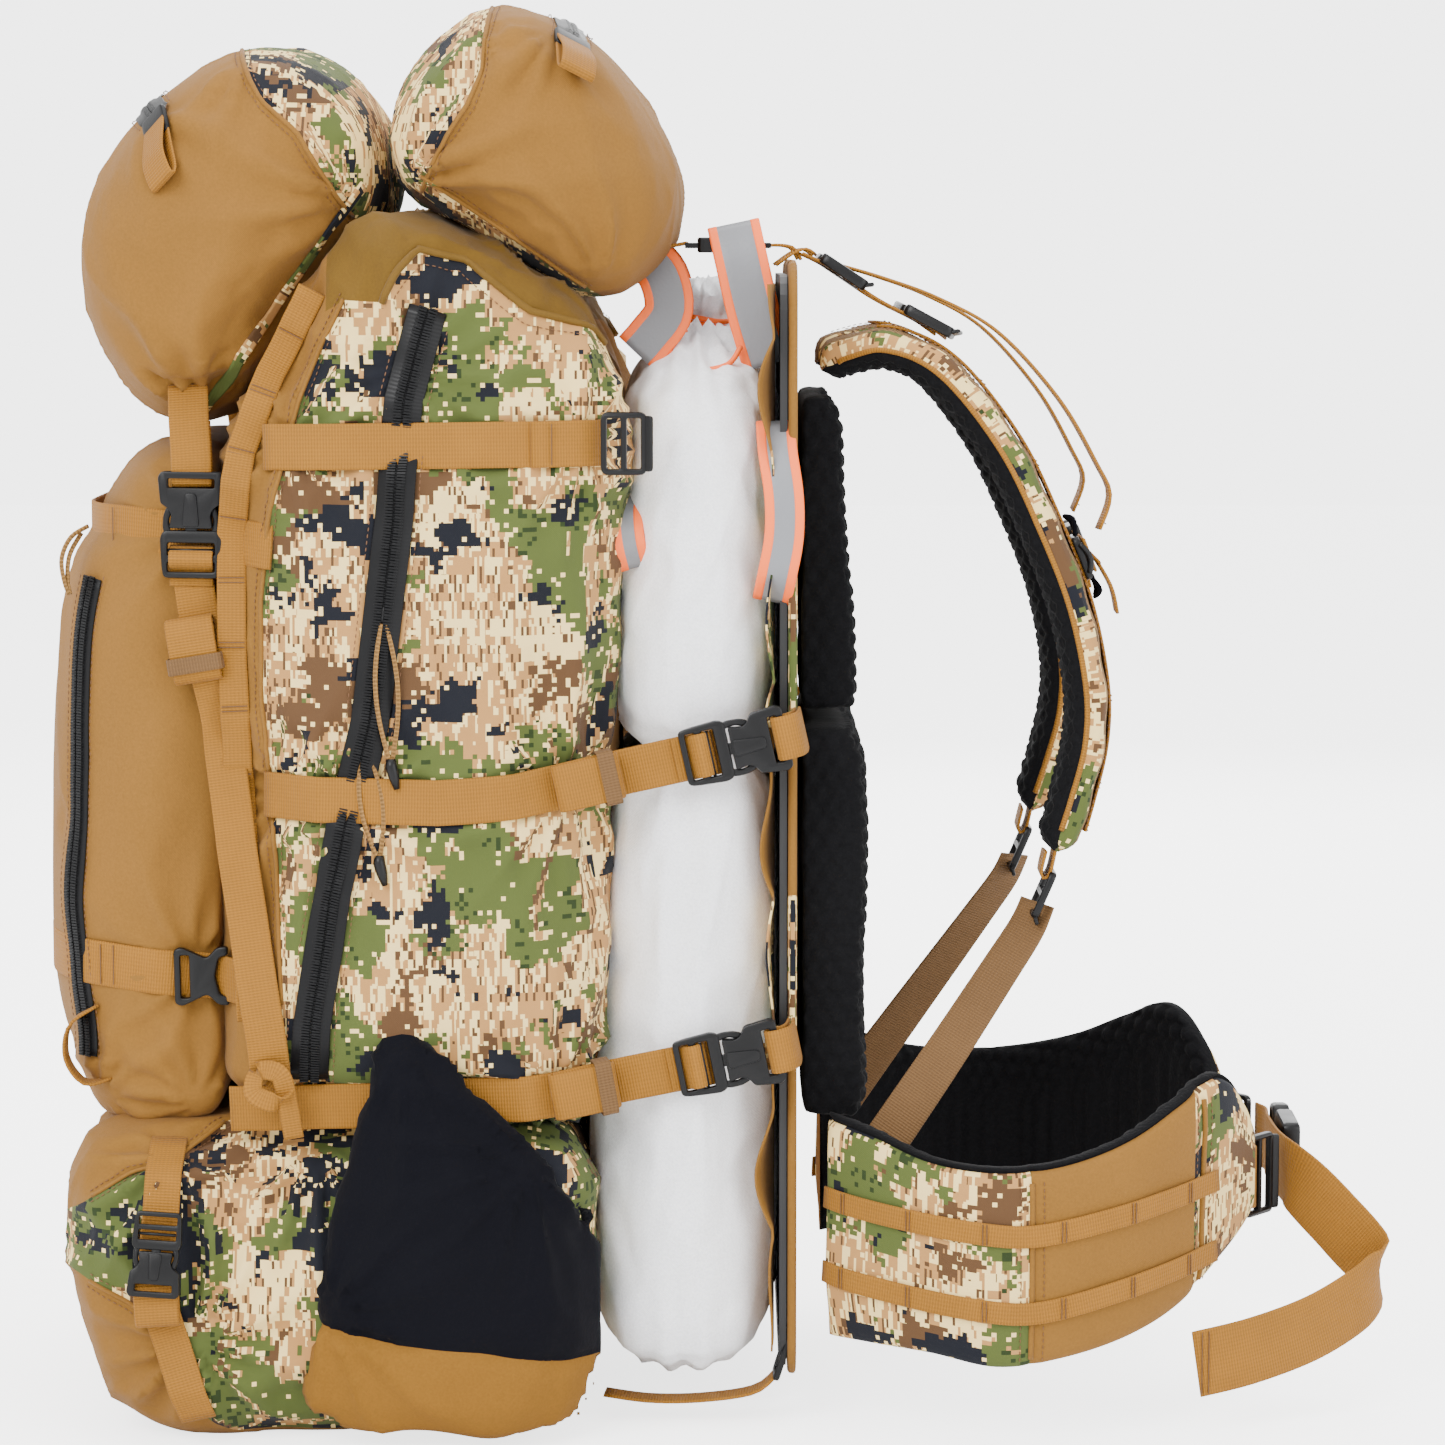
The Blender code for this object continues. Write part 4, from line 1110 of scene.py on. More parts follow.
def latch_half(name, root, u, v, out):
    """Strap half of a side-release buckle with two curved prongs."""
    root, u, v, out = Vector(root), Vector(u), Vector(v), Vector(out)
    if u.cross(v).dot(out) < 0:
        v = -v
    deck = root + out * (0.0018 + 0.001 + 0.003)
    parts = []
    outline = rounded([(0, -0.015), (0.006, -0.016), (0.022, -0.017), (0.026, -0.015),
                       (0.026, 0.015), (0.022, 0.017), (0.006, 0.016), (0, 0.015)], 0.0025, 3)
    holes = [window(0.0035, 0.0088, -0.0128, 0.0128),
             window(0.0125, 0.0192, -0.0128, 0.0128)]
    parts.append(plate(name, outline, holes, 0.0052, deck, u, v, 0.0013))
    for lift in (0.0, 0.0022):
        at = deck + u * (0.0108 + lift * 2) + out * 0.0012
        parts.append(bar_between("rib", at - v * 0.0125, at + v * 0.0125, 0.001))
    tongue = rounded([(0.024, -0.0034), (0.043, -0.0022), (0.043, 0.0022), (0.024, 0.0034)],
                     0.0015, 2)
    parts.append(plate("tongue", tongue, [], 0.003, deck, u, v, 0.0008))
    for side in (-1, 1):
        prong = [(0.0235, 0.0148), (0.028, 0.0156), (0.034, 0.0152), (0.0385, 0.0135),
                 (0.0385, 0.0098),
                 (0.0355, 0.0106), (0.0315, 0.0122), (0.0235, 0.0108)]
        parts.append(plate("prong", rounded([(a, b * side) for a, b in prong], 0.0012, 2), [],
                           0.0032, deck, u, v, 0.001))
    return join_pieces(name, parts)


def socket_half(name, root, u, v, out):
    """Anchor half: hollow body with side windows and a raised barrel."""
    root, u, v, out = Vector(root), Vector(u), Vector(v), Vector(out)
    if u.cross(v).dot(out) < 0:
        v = -v
    deck = root + out * (0.0018 + 0.0002)
    start, stop = 0.0272, 0.058
    parts = []
    body = [(start, -0.0118), (start, 0.0118), (start + 0.007, 0.0105), (start + 0.0105, 0.012),
            (start + 0.0135, 0.0165), (stop - 0.003, 0.018), (stop, 0.016), (stop, -0.016),
            (stop - 0.003, -0.018), (start + 0.0135, -0.0165), (start + 0.0105, -0.012),
            (start + 0.007, -0.0105)]
    slot = window(stop - 0.0088, stop - 0.0038, -0.0128, 0.0128)
    for level, thick in ((0.0011, 0.002), (0.007, 0.002)):
        parts.append(plate(name, rounded(body, 0.0015, 3), [slot], thick, deck + out * level, u, v,
                           0.0008))
    for side in (-1, 1):
        wall = [(start + 0.015, 0.0112), (start + 0.0165, 0.015), (stop - 0.01, 0.0158),
                (stop - 0.01, 0.0112)]
        parts.append(plate("wall", [(a, b * side) for a, b in wall], [], 0.0052,
                           deck + out * 0.004, u, v, 0.0004))
        rail = [(start + 0.0005, 0.004), (start + 0.0005, 0.0062), (stop - 0.0105, 0.0062),
                (stop - 0.0105, 0.004)]
        parts.append(plate("rail", [(a, b * side) for a, b in rail], [], 0.005,
                           deck + out * 0.004, u, v, 0.0004))
    ridge = [(start + 0.001, -0.0048), (start + 0.001, 0.0048), (stop - 0.0115, 0.003),
             (stop - 0.0115, -0.003)]
    parts.append(plate("ridge", rounded(ridge, 0.002, 3), [], 0.0016, deck + out * 0.0084, u, v,
                       0.0007))
    return join_pieces(name, parts)


def rolled_tail(name, middle, u_axis, out, length, layers=3, width=None, gap=0.0022):
    """Spare webbing wound into a flat roll, open on both edges."""
    u, out = np.asarray(u_axis, float), np.asarray(out, float)
    across = np.cross(u, out)
    points = []
    for k in range(layers * 20):
        turn = 2 * math.pi * k / 20
        shrink = gap * k / 20
        half, rise = length / 2 - shrink, layers * gap + 0.0012 - shrink
        c, s = math.cos(turn), math.sin(turn)
        points.append(np.asarray(middle) + u * half * math.copysign(abs(c) ** 0.55, c)
                      + out * rise * math.copysign(abs(s) ** 0.8, s))
    return webbing(name, resample(points, 0.0022), across, width)


CLEAR_RIGHT = -0.5          # Y of a plane clear of the pack on its right


def keeper(name, middle, u_axis, out, across_half, out_low, out_high):
    """Elastic band round a strap and its roll."""
    u, out = np.asarray(u_axis, float), np.asarray(out, float)
    side = np.cross(u, out)
    loop = rounded([(-across_half, out_low), (across_half, out_low), (across_half, out_high),
                    (-across_half, out_high)], 0.003, 4)
    line = [np.asarray(middle) + side * a + out * b for a, b in loop]
    return sweep(name, line, np.broadcast_to(u, (len(line), 3)), web_profile(0.009, 0.001),
                 "harness_webbing", closed=True)


def hits(tree, x, z):
    """Outermost right-hand surface at a side-view point."""
    found = tree.ray_cast(Vector((x, CLEAR_RIGHT, z)), Vector((0, 1, 0)))[0]
    return found.y if found is not None else 0.0


def side_path(tree, points, width, lift, plane=0.0, step=0.006, rounds=10):
    """Taut line over the right side of a surface along side-view points."""
    flat = resample(np.array(points, float), step)
    run = directions(flat)
    rows = []
    for (x, z), (a, b) in zip(flat, run):
        reach = [hits(tree, x - b * k * width / 2, z + a * k * width / 2)
                 for k in (-1, -0.5, 0, 0.5, 1)]
        rows.append(min(min(reach) - lift, plane))
    rows = np.array(rows)
    for _ in range(rounds):
        rows[1:-1] = np.minimum(rows[1:-1], (rows[:-2] + rows[2:]) / 2)
    return np.stack([flat[:, 0], rows, flat[:, 1]], 1)


def sideways(sign):
    return np.array((0.0, sign, 0.0))


def mirrored(values):
    """Lines, points or directions reflected to the other side."""
    out = np.array(values, float)
    out[..., 1] *= -1
    return out


def both(make):
    """Run a right-hand builder for each side."""
    for side, sign in SIDES:
        make(side, sign)


def on_side(values, sign):
    out = np.array(values, float)
    if sign > 0:
        out[..., 1] *= -1
    return out


def on_surface(tree, points, lift):
    """Nearest surface points and normals."""
    spots, outs = [], []
    for p in np.asarray(points, float):
        spot, normal, _, _ = tree.find_nearest(Vector(p))
        spots.append(np.array(spot + normal * lift))
        outs.append(np.array(normal))
    return np.array(spots), np.array(outs)


def edge_of(paint, value, table):
    """Piecewise straight line: what the table gives for a coordinate."""
    places = [a for a, _ in table]
    levels = [b for _, b in table]
    low, high = min(levels), max(levels)
    span = max(high - low, 1e-6)
    at = (value - places[0]) / (places[-1] - places[0])
    stops = [((a - places[0]) / (places[-1] - places[0]), ((b - low) / span,) * 3)
             for a, b in table]
    ramp = paint.add("ValToRGB", {}, values={"Fac": at}, stops=stops)
    return ramp * span + low


def panel_cloth(name, mask):
    """Body cloth that is camouflage where mask is 1 and plain elsewhere."""
    paint = cloth_finish(Paint(name, 0.84), 0.05)
    x, y, z = paint.parts(paint.place())
    camo = camo_colour(paint)
    plain = shaded(paint, colours().brown)
    paint.colour(mask(paint, x, y, z, camo, plain))
    paint.bump(paint.noise(paint.place(), 240.0, 3.0) + weave_height(paint, 0.001) * 0.5,
               0.00045, 0.5)
    MADE["finishes"][name] = paint.material
    return name


def bag_mask(paint, x, y, z, camo, plain):
    """Camouflage side panels, plain front strip, thin collar above the hem."""
    front = edge_of(paint, z, CAMO_FRONT)
    hem = edge_of(paint, x, COLLAR_HEM)
    side = abs(y) > 0.108
    collar = shaded(paint, colours().collar, 0.25, 25.0)
    body = paint.mix((x > front) * side, plain, camo)
    return paint.mix((z > hem) * (x > -0.214), body, collar)


def front_pod_mask(paint, x, y, z, camo, plain):
    seam = edge_of(paint, z, POD_FRONT_SEAM)
    return paint.mix((x > seam) * (z > 0.664), plain, camo)


def rear_pod_mask(paint, x, y, z, camo, plain):
    seam = edge_of(paint, z, POD_REAR_SEAM)
    lower = edge_of(paint, x, POD_REAR_LOWER)
    return paint.mix((x < seam).most(z < lower), plain, camo)


def base_mask(paint, x, y, z, camo, plain):
    top = edge_of(paint, x, BASE_CAMO_TOP)
    boot = edge_of(paint, x, BASE_BOOT)
    return paint.mix((z < top) * (z > boot), plain, camo)


CAMO_FRONT = [(0.15, -0.252), (0.245, -0.24), (0.3, -0.2418), (0.372, -0.2465), (0.41, -0.2504),
              (0.465, -0.2498), (0.508, -0.245), (0.573, -0.2281), (0.6, -0.2171),
              (0.627, -0.2034),
              (0.68, -0.18)]
COLLAR_HEM = [(-0.215, 0.62), (-0.2034, 0.6267), (-0.182, 0.6255), (-0.175, 0.642),
              (-0.164, 0.654),
              (-0.1376, 0.6476), (-0.1047, 0.6212), (-0.0717, 0.612), (-0.0561, 0.5904),
              (-0.045, 0.585)]
POD_FRONT_SEAM = [(0.66, -0.19), (0.6719, -0.2022), (0.6784, -0.2071), (0.7167, -0.229),
                  (0.7334, -0.2489), (0.7624, -0.2643), (0.775, -0.27)]
POD_REAR_SEAM = [(0.66, -0.175), (0.6828, -0.1647), (0.7159, -0.1476), (0.7316, -0.1366),
                 (0.7483, -0.1288), (0.7855, -0.1265), (0.795, -0.126)]
POD_REAR_LOWER = [(-0.2, 0.712), (-0.163, 0.6935), (-0.1163, 0.6625), (-0.0752, 0.634),
                  (-0.03, 0.6)]
BASE_CAMO_TOP = [(-0.37, 0.12), (-0.3452, 0.1378), (-0.3229, 0.1519), (-0.3006, 0.1575),
                 (-0.2755, 0.174), (-0.06, 0.2)]
BASE_BOOT = [(-0.37, 0.098), (-0.3476, 0.0898), (-0.3238, 0.0785), (-0.3018, 0.0615),
             (-0.291, 0.0331),
             (-0.2846, 0.0148), (-0.27, 0.004), (-0.2, 0.002), (-0.07, 0.002)]
STRAP_LINES = {
    "top": [(-0.247, 0.548), (-0.066, 0.55)],
    "mid": [(-0.249, 0.359), (-0.154, 0.3565), (-0.112, 0.359), (-0.09, 0.363), (-0.002, 0.3825)],
    "low": [(-0.27, 0.185), (-0.188, 0.188), (-0.111, 0.192), (-0.088, 0.1945), (-0.006, 0.211)],
}
ZIP_LINE = [(-0.158, 0.622), (-0.171, 0.573), (-0.1765, 0.508), (-0.19, 0.4),
            (-0.2035, 0.345), (-0.214, 0.29), (-0.223, 0.235), (-0.226, 0.203)]
LID_LINE = [(-0.2875, 0.49), (-0.274, 0.4), (-0.263, 0.32), (-0.248, 0.225), (-0.2465, 0.206)]


def strap_dents(points, lines, width, depth):
    """How far a taut strap draws each point of a bag side inwards."""
    total = np.zeros(len(points))
    flat = points[:, [0, 2]]
    for line in lines:
        near = np.full(len(points), 9.0)
        for a, b in zip(line, line[1:]):
            near = np.minimum(near, segment_distance(flat, a, b))
        total += depth * (1 - smoothstep(width * 0.4, width * 1.3, near))
        total -= depth * 0.35 * np.exp(-((near - width * 1.7) / (width * 0.6)) ** 2)
    return total * smoothstep(0.09, 0.13, np.abs(points[:, 1]))


def wrinkle(piece, amount, scale, seed, along, keep=None, ridges=0.5):
    """Push a shell's surface in and out along its normals."""
    points, normals = points_of(piece), normals_of(piece)
    slow = value_noise(points, scale * 0.5, seed)
    sharp = np.clip(folds(points, along, scale, seed + 3), -1, 1) ** 3
    push = amount * (slow * 0.6 + sharp * ridges)
    if keep is not None:
        push = push * keep(points)
    put_points(piece, points + normals * push[:, None])


def flank_of(normals):
    return smoothstep(0.3, 0.85, np.abs(normals[:, 1]))


class Builder:
    """What every building step shares."""
    bl_options = {"REGISTER", "UNDO"}

    def execute(self, context):
        self.make()
        return {"FINISHED"}


class BACKPACK_OT_bag(Builder, bpy.types.Operator):
    """Main bag with its collar, the front pocket and the bottom compartment"""
    bl_idname = "backpack.bag"
    bl_label = "Bag body"

    def make(self):
        finish_of("thread")
        panel_cloth("bag_cloth", bag_mask)
        panel_cloth("base_cloth", base_mask)
        bag = soft_shell("main_bag_cloth", ["main_bag"], "bag_cloth")
        points = points_of(bag)
        held = smoothstep(0.02, 0.0, np.abs(points[:, 2] - 0.174)) * 0.9
        settle_cloth(bag, 14, 2.2, -0.02, 0.007, pinned=np.clip(held, 0.05, 1))
        refine(bag)
        wrinkle(bag, 0.003, 17.0, 4, (0.5, 0, 1), ridges=0.7)
        wrinkle(bag, 0.0024, 34.0, 6, (-0.6, 0, 1), ridges=0.8)
        wrinkle(bag, 0.006, 30.0, 9, (0.2, 0.3, 1),
                keep=lambda p: smoothstep(0.59, 0.632, p[:, 2]), ridges=0.9)
        points, normals = points_of(bag), normals_of(bag)
        dents = strap_dents(points, STRAP_LINES.values(), 0.0125, 0.004)
        dents += strap_dents(points, [ZIP_LINE], 0.01, 0.0014)
        flank = smoothstep(0.1, 0.14, np.abs(points[:, 1]))
        for seed, centre in enumerate(((-0.075, 0.552), (-0.085, 0.362), (-0.09, 0.195),
                                       (-0.238, 0.552), (-0.238, 0.36),
                                       (-0.17, 0.59), (-0.2, 0.352))):
            dents -= flank * fan(points, centre, 13, 0.075, 0.003, seed + 2)
        put_points(bag, points - normals * dents[:, None])
        finish_shell(bag, "pack", ["main_bag"], "camo_fabric", padded=0.85)

        pocket = soft_shell("front_pocket_cloth", ["front_pocket"], "brown_cloth")
        settle_cloth(pocket, 14, 2.0, -0.02, 0.004)
        refine(pocket)
        wrinkle(pocket, 0.0026, 12.0, 21, (0.3, 0.4, 1), ridges=0.7)
        points, normals = points_of(pocket), normals_of(pocket)
        dents = sum(fan(points, centre, 11, 0.06, 0.0024, seed) for seed, centre in
                    enumerate(((-0.285, 0.5), (-0.29, 0.262), (-0.29, 0.185), (-0.345, 0.185))))
        bands = smoothstep(0.016, 0.004, np.abs(points[:, 2] - 0.502)) + smoothstep(0.016, 0.004,
                np.abs(points[:, 2] - 0.262))
        put_points(pocket, points + normals * (dents * flank_of(normals) - 0.0018 * bands)[:,
                None])
        wrinkle(pocket, 0.004, 22.0, 25, (1, 0.2, 0.25),
                keep=lambda p: smoothstep(0.235, 0.195, p[:, 2]), ridges=0.8)
        finish_shell(pocket, "pack", ["front_pocket"], "brown_fabric", padded=0.8)

        base = soft_shell("bottom_compartment_cloth", ["bottom_compartment"], "base_cloth")
        settle_cloth(base, 14, 2.0, -0.02, 0.005)
        refine(base)
        clear = (lambda p: smoothstep(0.0, 0.02, p[:, 2]))
        wrinkle(base, 0.004, 15.0, 31, (1, 0.2, 0.5), ridges=0.8, keep=clear)
        wrinkle(base, 0.0018, 34.0, 35, (1, 0.2, -0.3), ridges=0.8, keep=clear)
        points, normals = points_of(base), normals_of(base)
        dents = sum(fan(points, centre, 12, 0.08, 0.005, seed) for seed, centre in
                    enumerate(((-0.3, 0.16), (-0.29, 0.06), (-0.225, 0.165))))
        put_points(base, points + normals * (dents * clear(points) * flank_of(normals))[:, None])
        points = points_of(base)
        points[:, 2] = np.maximum(points[:, 2], 0.0006)
        put_points(base, points)
        finish_shell(base, "pack", ["bottom_compartment"], "camo_fabric", padded=0.9)


class BACKPACK_OT_lid(Builder, bpy.types.Operator):
    """Front and rear pods of the lid"""
    bl_idname = "backpack.lid"
    bl_label = "Lid pods"

    def make(self):
        panel_cloth("front_pod_cloth", front_pod_mask)
        panel_cloth("rear_pod_cloth", rear_pod_mask)
        for name, finish, seed, gathers in (
                ("lid_front", "front_pod_cloth", 41, ((-0.286, 0.56), (-0.2, 0.68),
                                                      (-0.262, 0.756), (-0.318, 0.725))),
                ("lid_rear", "rear_pod_cloth", 57, ((-0.172, 0.69), (-0.066, 0.632),
                                                    (-0.092, 0.772), (-0.128, 0.782)))):
            pod = soft_shell(name + "_cloth", [name], finish)
            settle_cloth(pod, 16, 2.6, -0.03, 0.005)
            refine(pod)
            points, normals = points_of(pod), normals_of(pod)
            push = sum(fan(points, centre, 12 - k, 0.085 if k < 2 else 0.05,
                           0.0044 if k < 2 else 0.0026, seed + k)
                       for k, centre in enumerate(gathers))
            put_points(pod, points + normals * (push * flank_of(normals))[:, None])
            wrinkle(pod, 0.0034, 12.0, seed, (0.4, 0.5, 1), ridges=0.8)
            wrinkle(pod, 0.0016, 30.0, seed + 4, (-0.5, 0.3, 1), ridges=0.8)
            finish_shell(pod, "lid", [name], "brown_fabric", padded=0.8)


class BACKPACK_OT_pockets(Builder, bpy.types.Operator):
    """Stretch pockets on both sides of the bag"""
    bl_idname = "backpack.pockets"
    bl_label = "Side pockets"

    def make(self):
        paint = cloth_finish(Paint("pocket_cloth", 0.88), 0.02, 0.1)
        x, y, z = paint.parts(paint.place())
        boot = edge_of(paint, x, [(-0.235, 0.074), (-0.2185, 0.0704), (-0.1751, 0.0621),
                                  (-0.1317, 0.0582), (-0.0883, 0.0494), (-0.055, 0.046)])
        paint.colour(paint.mix(z > boot, shaded(paint, colours().brown),
                               shaded(paint, colours().stretch, 0.2)))
        paint.bump(paint.noise(paint.place(), 380.0, 3.0), 0.00045, 0.5)
        MADE["finishes"]["pocket_cloth"] = paint.material

        def make_one(side, sign):
            if sign < 0:
                pocket = soft_shell("side_pocket_cloth_r", ["side_pocket_r"], "pocket_cloth",
                                    0.0042, 4)
                points, normals = points_of(pocket), normals_of(pocket)
                outer = smoothstep(0.1, 0.5, -normals[:, 1]) * smoothstep(-0.064, -0.08,
                        points[:, 0])
                drape = np.clip(folds(points, (0.35, 0, 1), 16.0, 61, 4.0), -1, 1)
                push = outer * (drape ** 3 * 0.0045 + 0.0012)
                for seed, centre in enumerate(((-0.175, 0.226), (-0.215, 0.078), (-0.105, 0.16))):
                    push += outer * np.maximum(fan(points, centre, 13, 0.075, 0.0044, seed),
                                               -0.0012)
                boot_line = np.interp(points[:, 0], [-0.2185, -0.1751, -0.1317, -0.0883, -0.0611],
                                      [0.0704, 0.0621, 0.0582, 0.0494, 0.0471])
                push -= outer * 0.003 * np.exp(-((points[:, 2] - boot_line) / 0.004) ** 2)
                points = points + normals * push[:, None]
                points[:, 1] = np.maximum(points[:, 1], -0.2095)
                put_points(pocket, points)
                MADE["pocket"] = pocket
            else:
                pocket = mirror_piece(MADE["pocket"], "side_pocket_cloth_l")
            finish_shell(pocket, "pack", ["side_pocket_" + side], "stretch_fabric", padded=0.4)
        both(make_one)


class BACKPACK_OT_game_bags(Builder, bpy.types.Operator):
    """Two drawstring cloth bags stacked on the load shelf"""
    bl_idname = "backpack.game_bags"
    bl_label = "Game bags"

    def make(self):
        for name, seed in (("game_bag_lower", 71), ("game_bag_upper", 83)):
            bag = soft_shell(name + "_cloth", [name], "game_cloth", 0.0058, 3)
            points = points_of(bag)
            low, high = points[:, 2].min(), points[:, 2].max()
            settle_cloth(bag, 12, 1.6, -0.03, 0.004)
            refine(bag)
            points, normals = points_of(bag), normals_of(bag)
            rise = (points[:, 2] - low) / (high - low)
            angle = np.arctan2(points[:, 1], (points[:, 0] + 0.018) * 2.4)
            pleats = np.sin(angle * 17 + value_noise(points, 9.0, seed) * 2.0)
            near_top = smoothstep(0.62, 0.95, rise) if seed == 83 else smoothstep(0.8, 1.0,
                    rise) * 0.5
            near_foot = smoothstep(0.22, 0.0, rise) * (0.35 if seed == 83 else 0.6)
            crease = np.clip(folds(points, (0.15, 0.1, 1), 13.0, seed, 4.0), -1, 1) ** 3 * 0.0056
            crease += np.clip(folds(points, (0.3, 0.2, 1), 30.0, seed + 7, 3.0), -1,
                              1) ** 3 * 0.0026
            push = crease + pleats * 0.0034 * (near_top + near_foot)
            inward = smoothstep(0.0, 0.6, np.abs(normals[:, 0]))
            push *= 1 - inward * 0.75
            put_points(bag, points + normals * push[:, None])
            finish_shell(bag, "pack", [name], "white_cloth", padded=0.9)


HEX_PITCH = 0.0105


def hex_bumps(u, v):
    """Domes on a triangular lattice, 0 to 1."""
    pitch = HEX_PITCH

    def dome(a, b):
        da = (a / pitch - np.round(a / pitch)) * pitch
        db = (b / (pitch * 1.732) - np.round(b / (pitch * 1.732))) * pitch * 1.732
        return np.hypot(da, db)
    near = np.minimum(dome(u, v), dome(u + pitch / 2, v + pitch * 0.866))
    return 1 - smoothstep(pitch * 0.18, pitch * 0.52, near)


class BACKPACK_OT_frame(Builder, bpy.types.Operator):
    """Frame sheet, its padded cover, the load panel and the pads on the wearer's back"""
    bl_idname = "backpack.frame"
    bl_label = "Frame and back pads"

    def make(self):
        wear(frame["nodes"]["frame_sheet"], "frame_plastic")
        panel_cloth("cover_cloth", lambda p, x, y, z, camo, plain: p.mix(
            (abs(z - 0.47) < 0.075).most(abs(z - 0.255) < 0.045), plain, camo))
        cover = soft_shell("frame_cover", ["back_panel"], "cover_cloth", 0.002, 1)
        finish_shell(cover, "pack", ["back_panel"], "camo_fabric", padded=0.5)
        self.load_panel()
        for name, seed in (("lumbar_pad", 91), ("yoke", 95)):
            pad = soft_shell(name + "_mesh", [name], "spacer_mesh", 0.0024, 3)
            points, normals = points_of(pad), normals_of(pad)
            rear = smoothstep(0.2, 0.7, normals[:, 0]).clip(0, 1)
            side = smoothstep(0.5, 0.9, np.abs(normals[:, 1]))
            bumps = (hex_bumps(points[:, 1], points[:, 2]) * rear
                     + hex_bumps(points[:, 0] + 0.004, points[:, 2]) * side * 0.7)
            push = (bumps - 0.45) * 0.0024
            channel = np.exp(-(np.abs(points[:, 1]) / 0.011) ** 2) * rear
            push -= 0.0065 * channel
            push += 0.0012 * value_noise(points, 30.0, seed)
            put_points(pad, points + normals * push[:, None])
            finish_shell(pad, "pack", [name], "mesh_pad", padded=0.9)

    def load_panel(self):
        """Wavy fabric sling that holds the load against the sheet."""
        rows, columns = 120, 24
        points, faces = [], []
        for r in range(rows + 1):
            z = 0.045 + 0.59 * r / rows
            sway = 0.0045 * math.sin(z * 31.0) + 0.003 * math.sin(z * 71.0 + 1.0)
            for c in range(columns + 1):
                y = -0.146 + 0.292 * c / columns
                edge = smoothstep(0.11, 0.146, abs(y))
                points.append((0.0296 - 0.0012 + sway * edge * 0.4 - abs(sway) * edge, y, z))
        for r in range(rows):
            for c in range(columns):
                a = r * (columns + 1) + c
                faces.append((a, a + columns + 1, a + columns + 2, a + 1))
        panel = mesh_piece("load_panel", points, faces, "cover_cloth")
        thick = panel.modifiers.new("thick", "SOLIDIFY")
        thick.thickness, thick.offset = 0.0012, 0
        bake_modifiers(panel)
        right_way_out(panel)
        box_cloth(panel)
        hand_over(panel, "pack", slot_name="camo_fabric")
        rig.sheet(panel, flat=(0.292, 0.59), held="stretched", rests_on=["frame_sheet"])


def zip_profile(width):
    """Coated tape with two soft humps over the hidden coil."""
    w = width / 2
    top = [(-w, 0.0003), (-w * 0.96, 0.0008), (-0.0056, 0.001), (-0.004, 0.0022),
           (-0.0022, 0.0026),
           (-0.0004, 0.0022), (0, 0.0014), (0.0004, 0.0022), (0.0022, 0.0026), (0.004, 0.0022),
           (0.0056, 0.001), (w * 0.96, 0.0008), (w, 0.0003)]
    return top + [(w, 0.0), (-w, 0.0)]


def facing(line, across):
    """Outward direction at each point of a strip."""
    along = directions(np.asarray(line, float))
    across = np.broadcast_to(np.asarray(across, float), along.shape)
    out = np.cross(along, across)
    return out / np.maximum(np.linalg.norm(out, axis=1, keepdims=True), 1e-9)


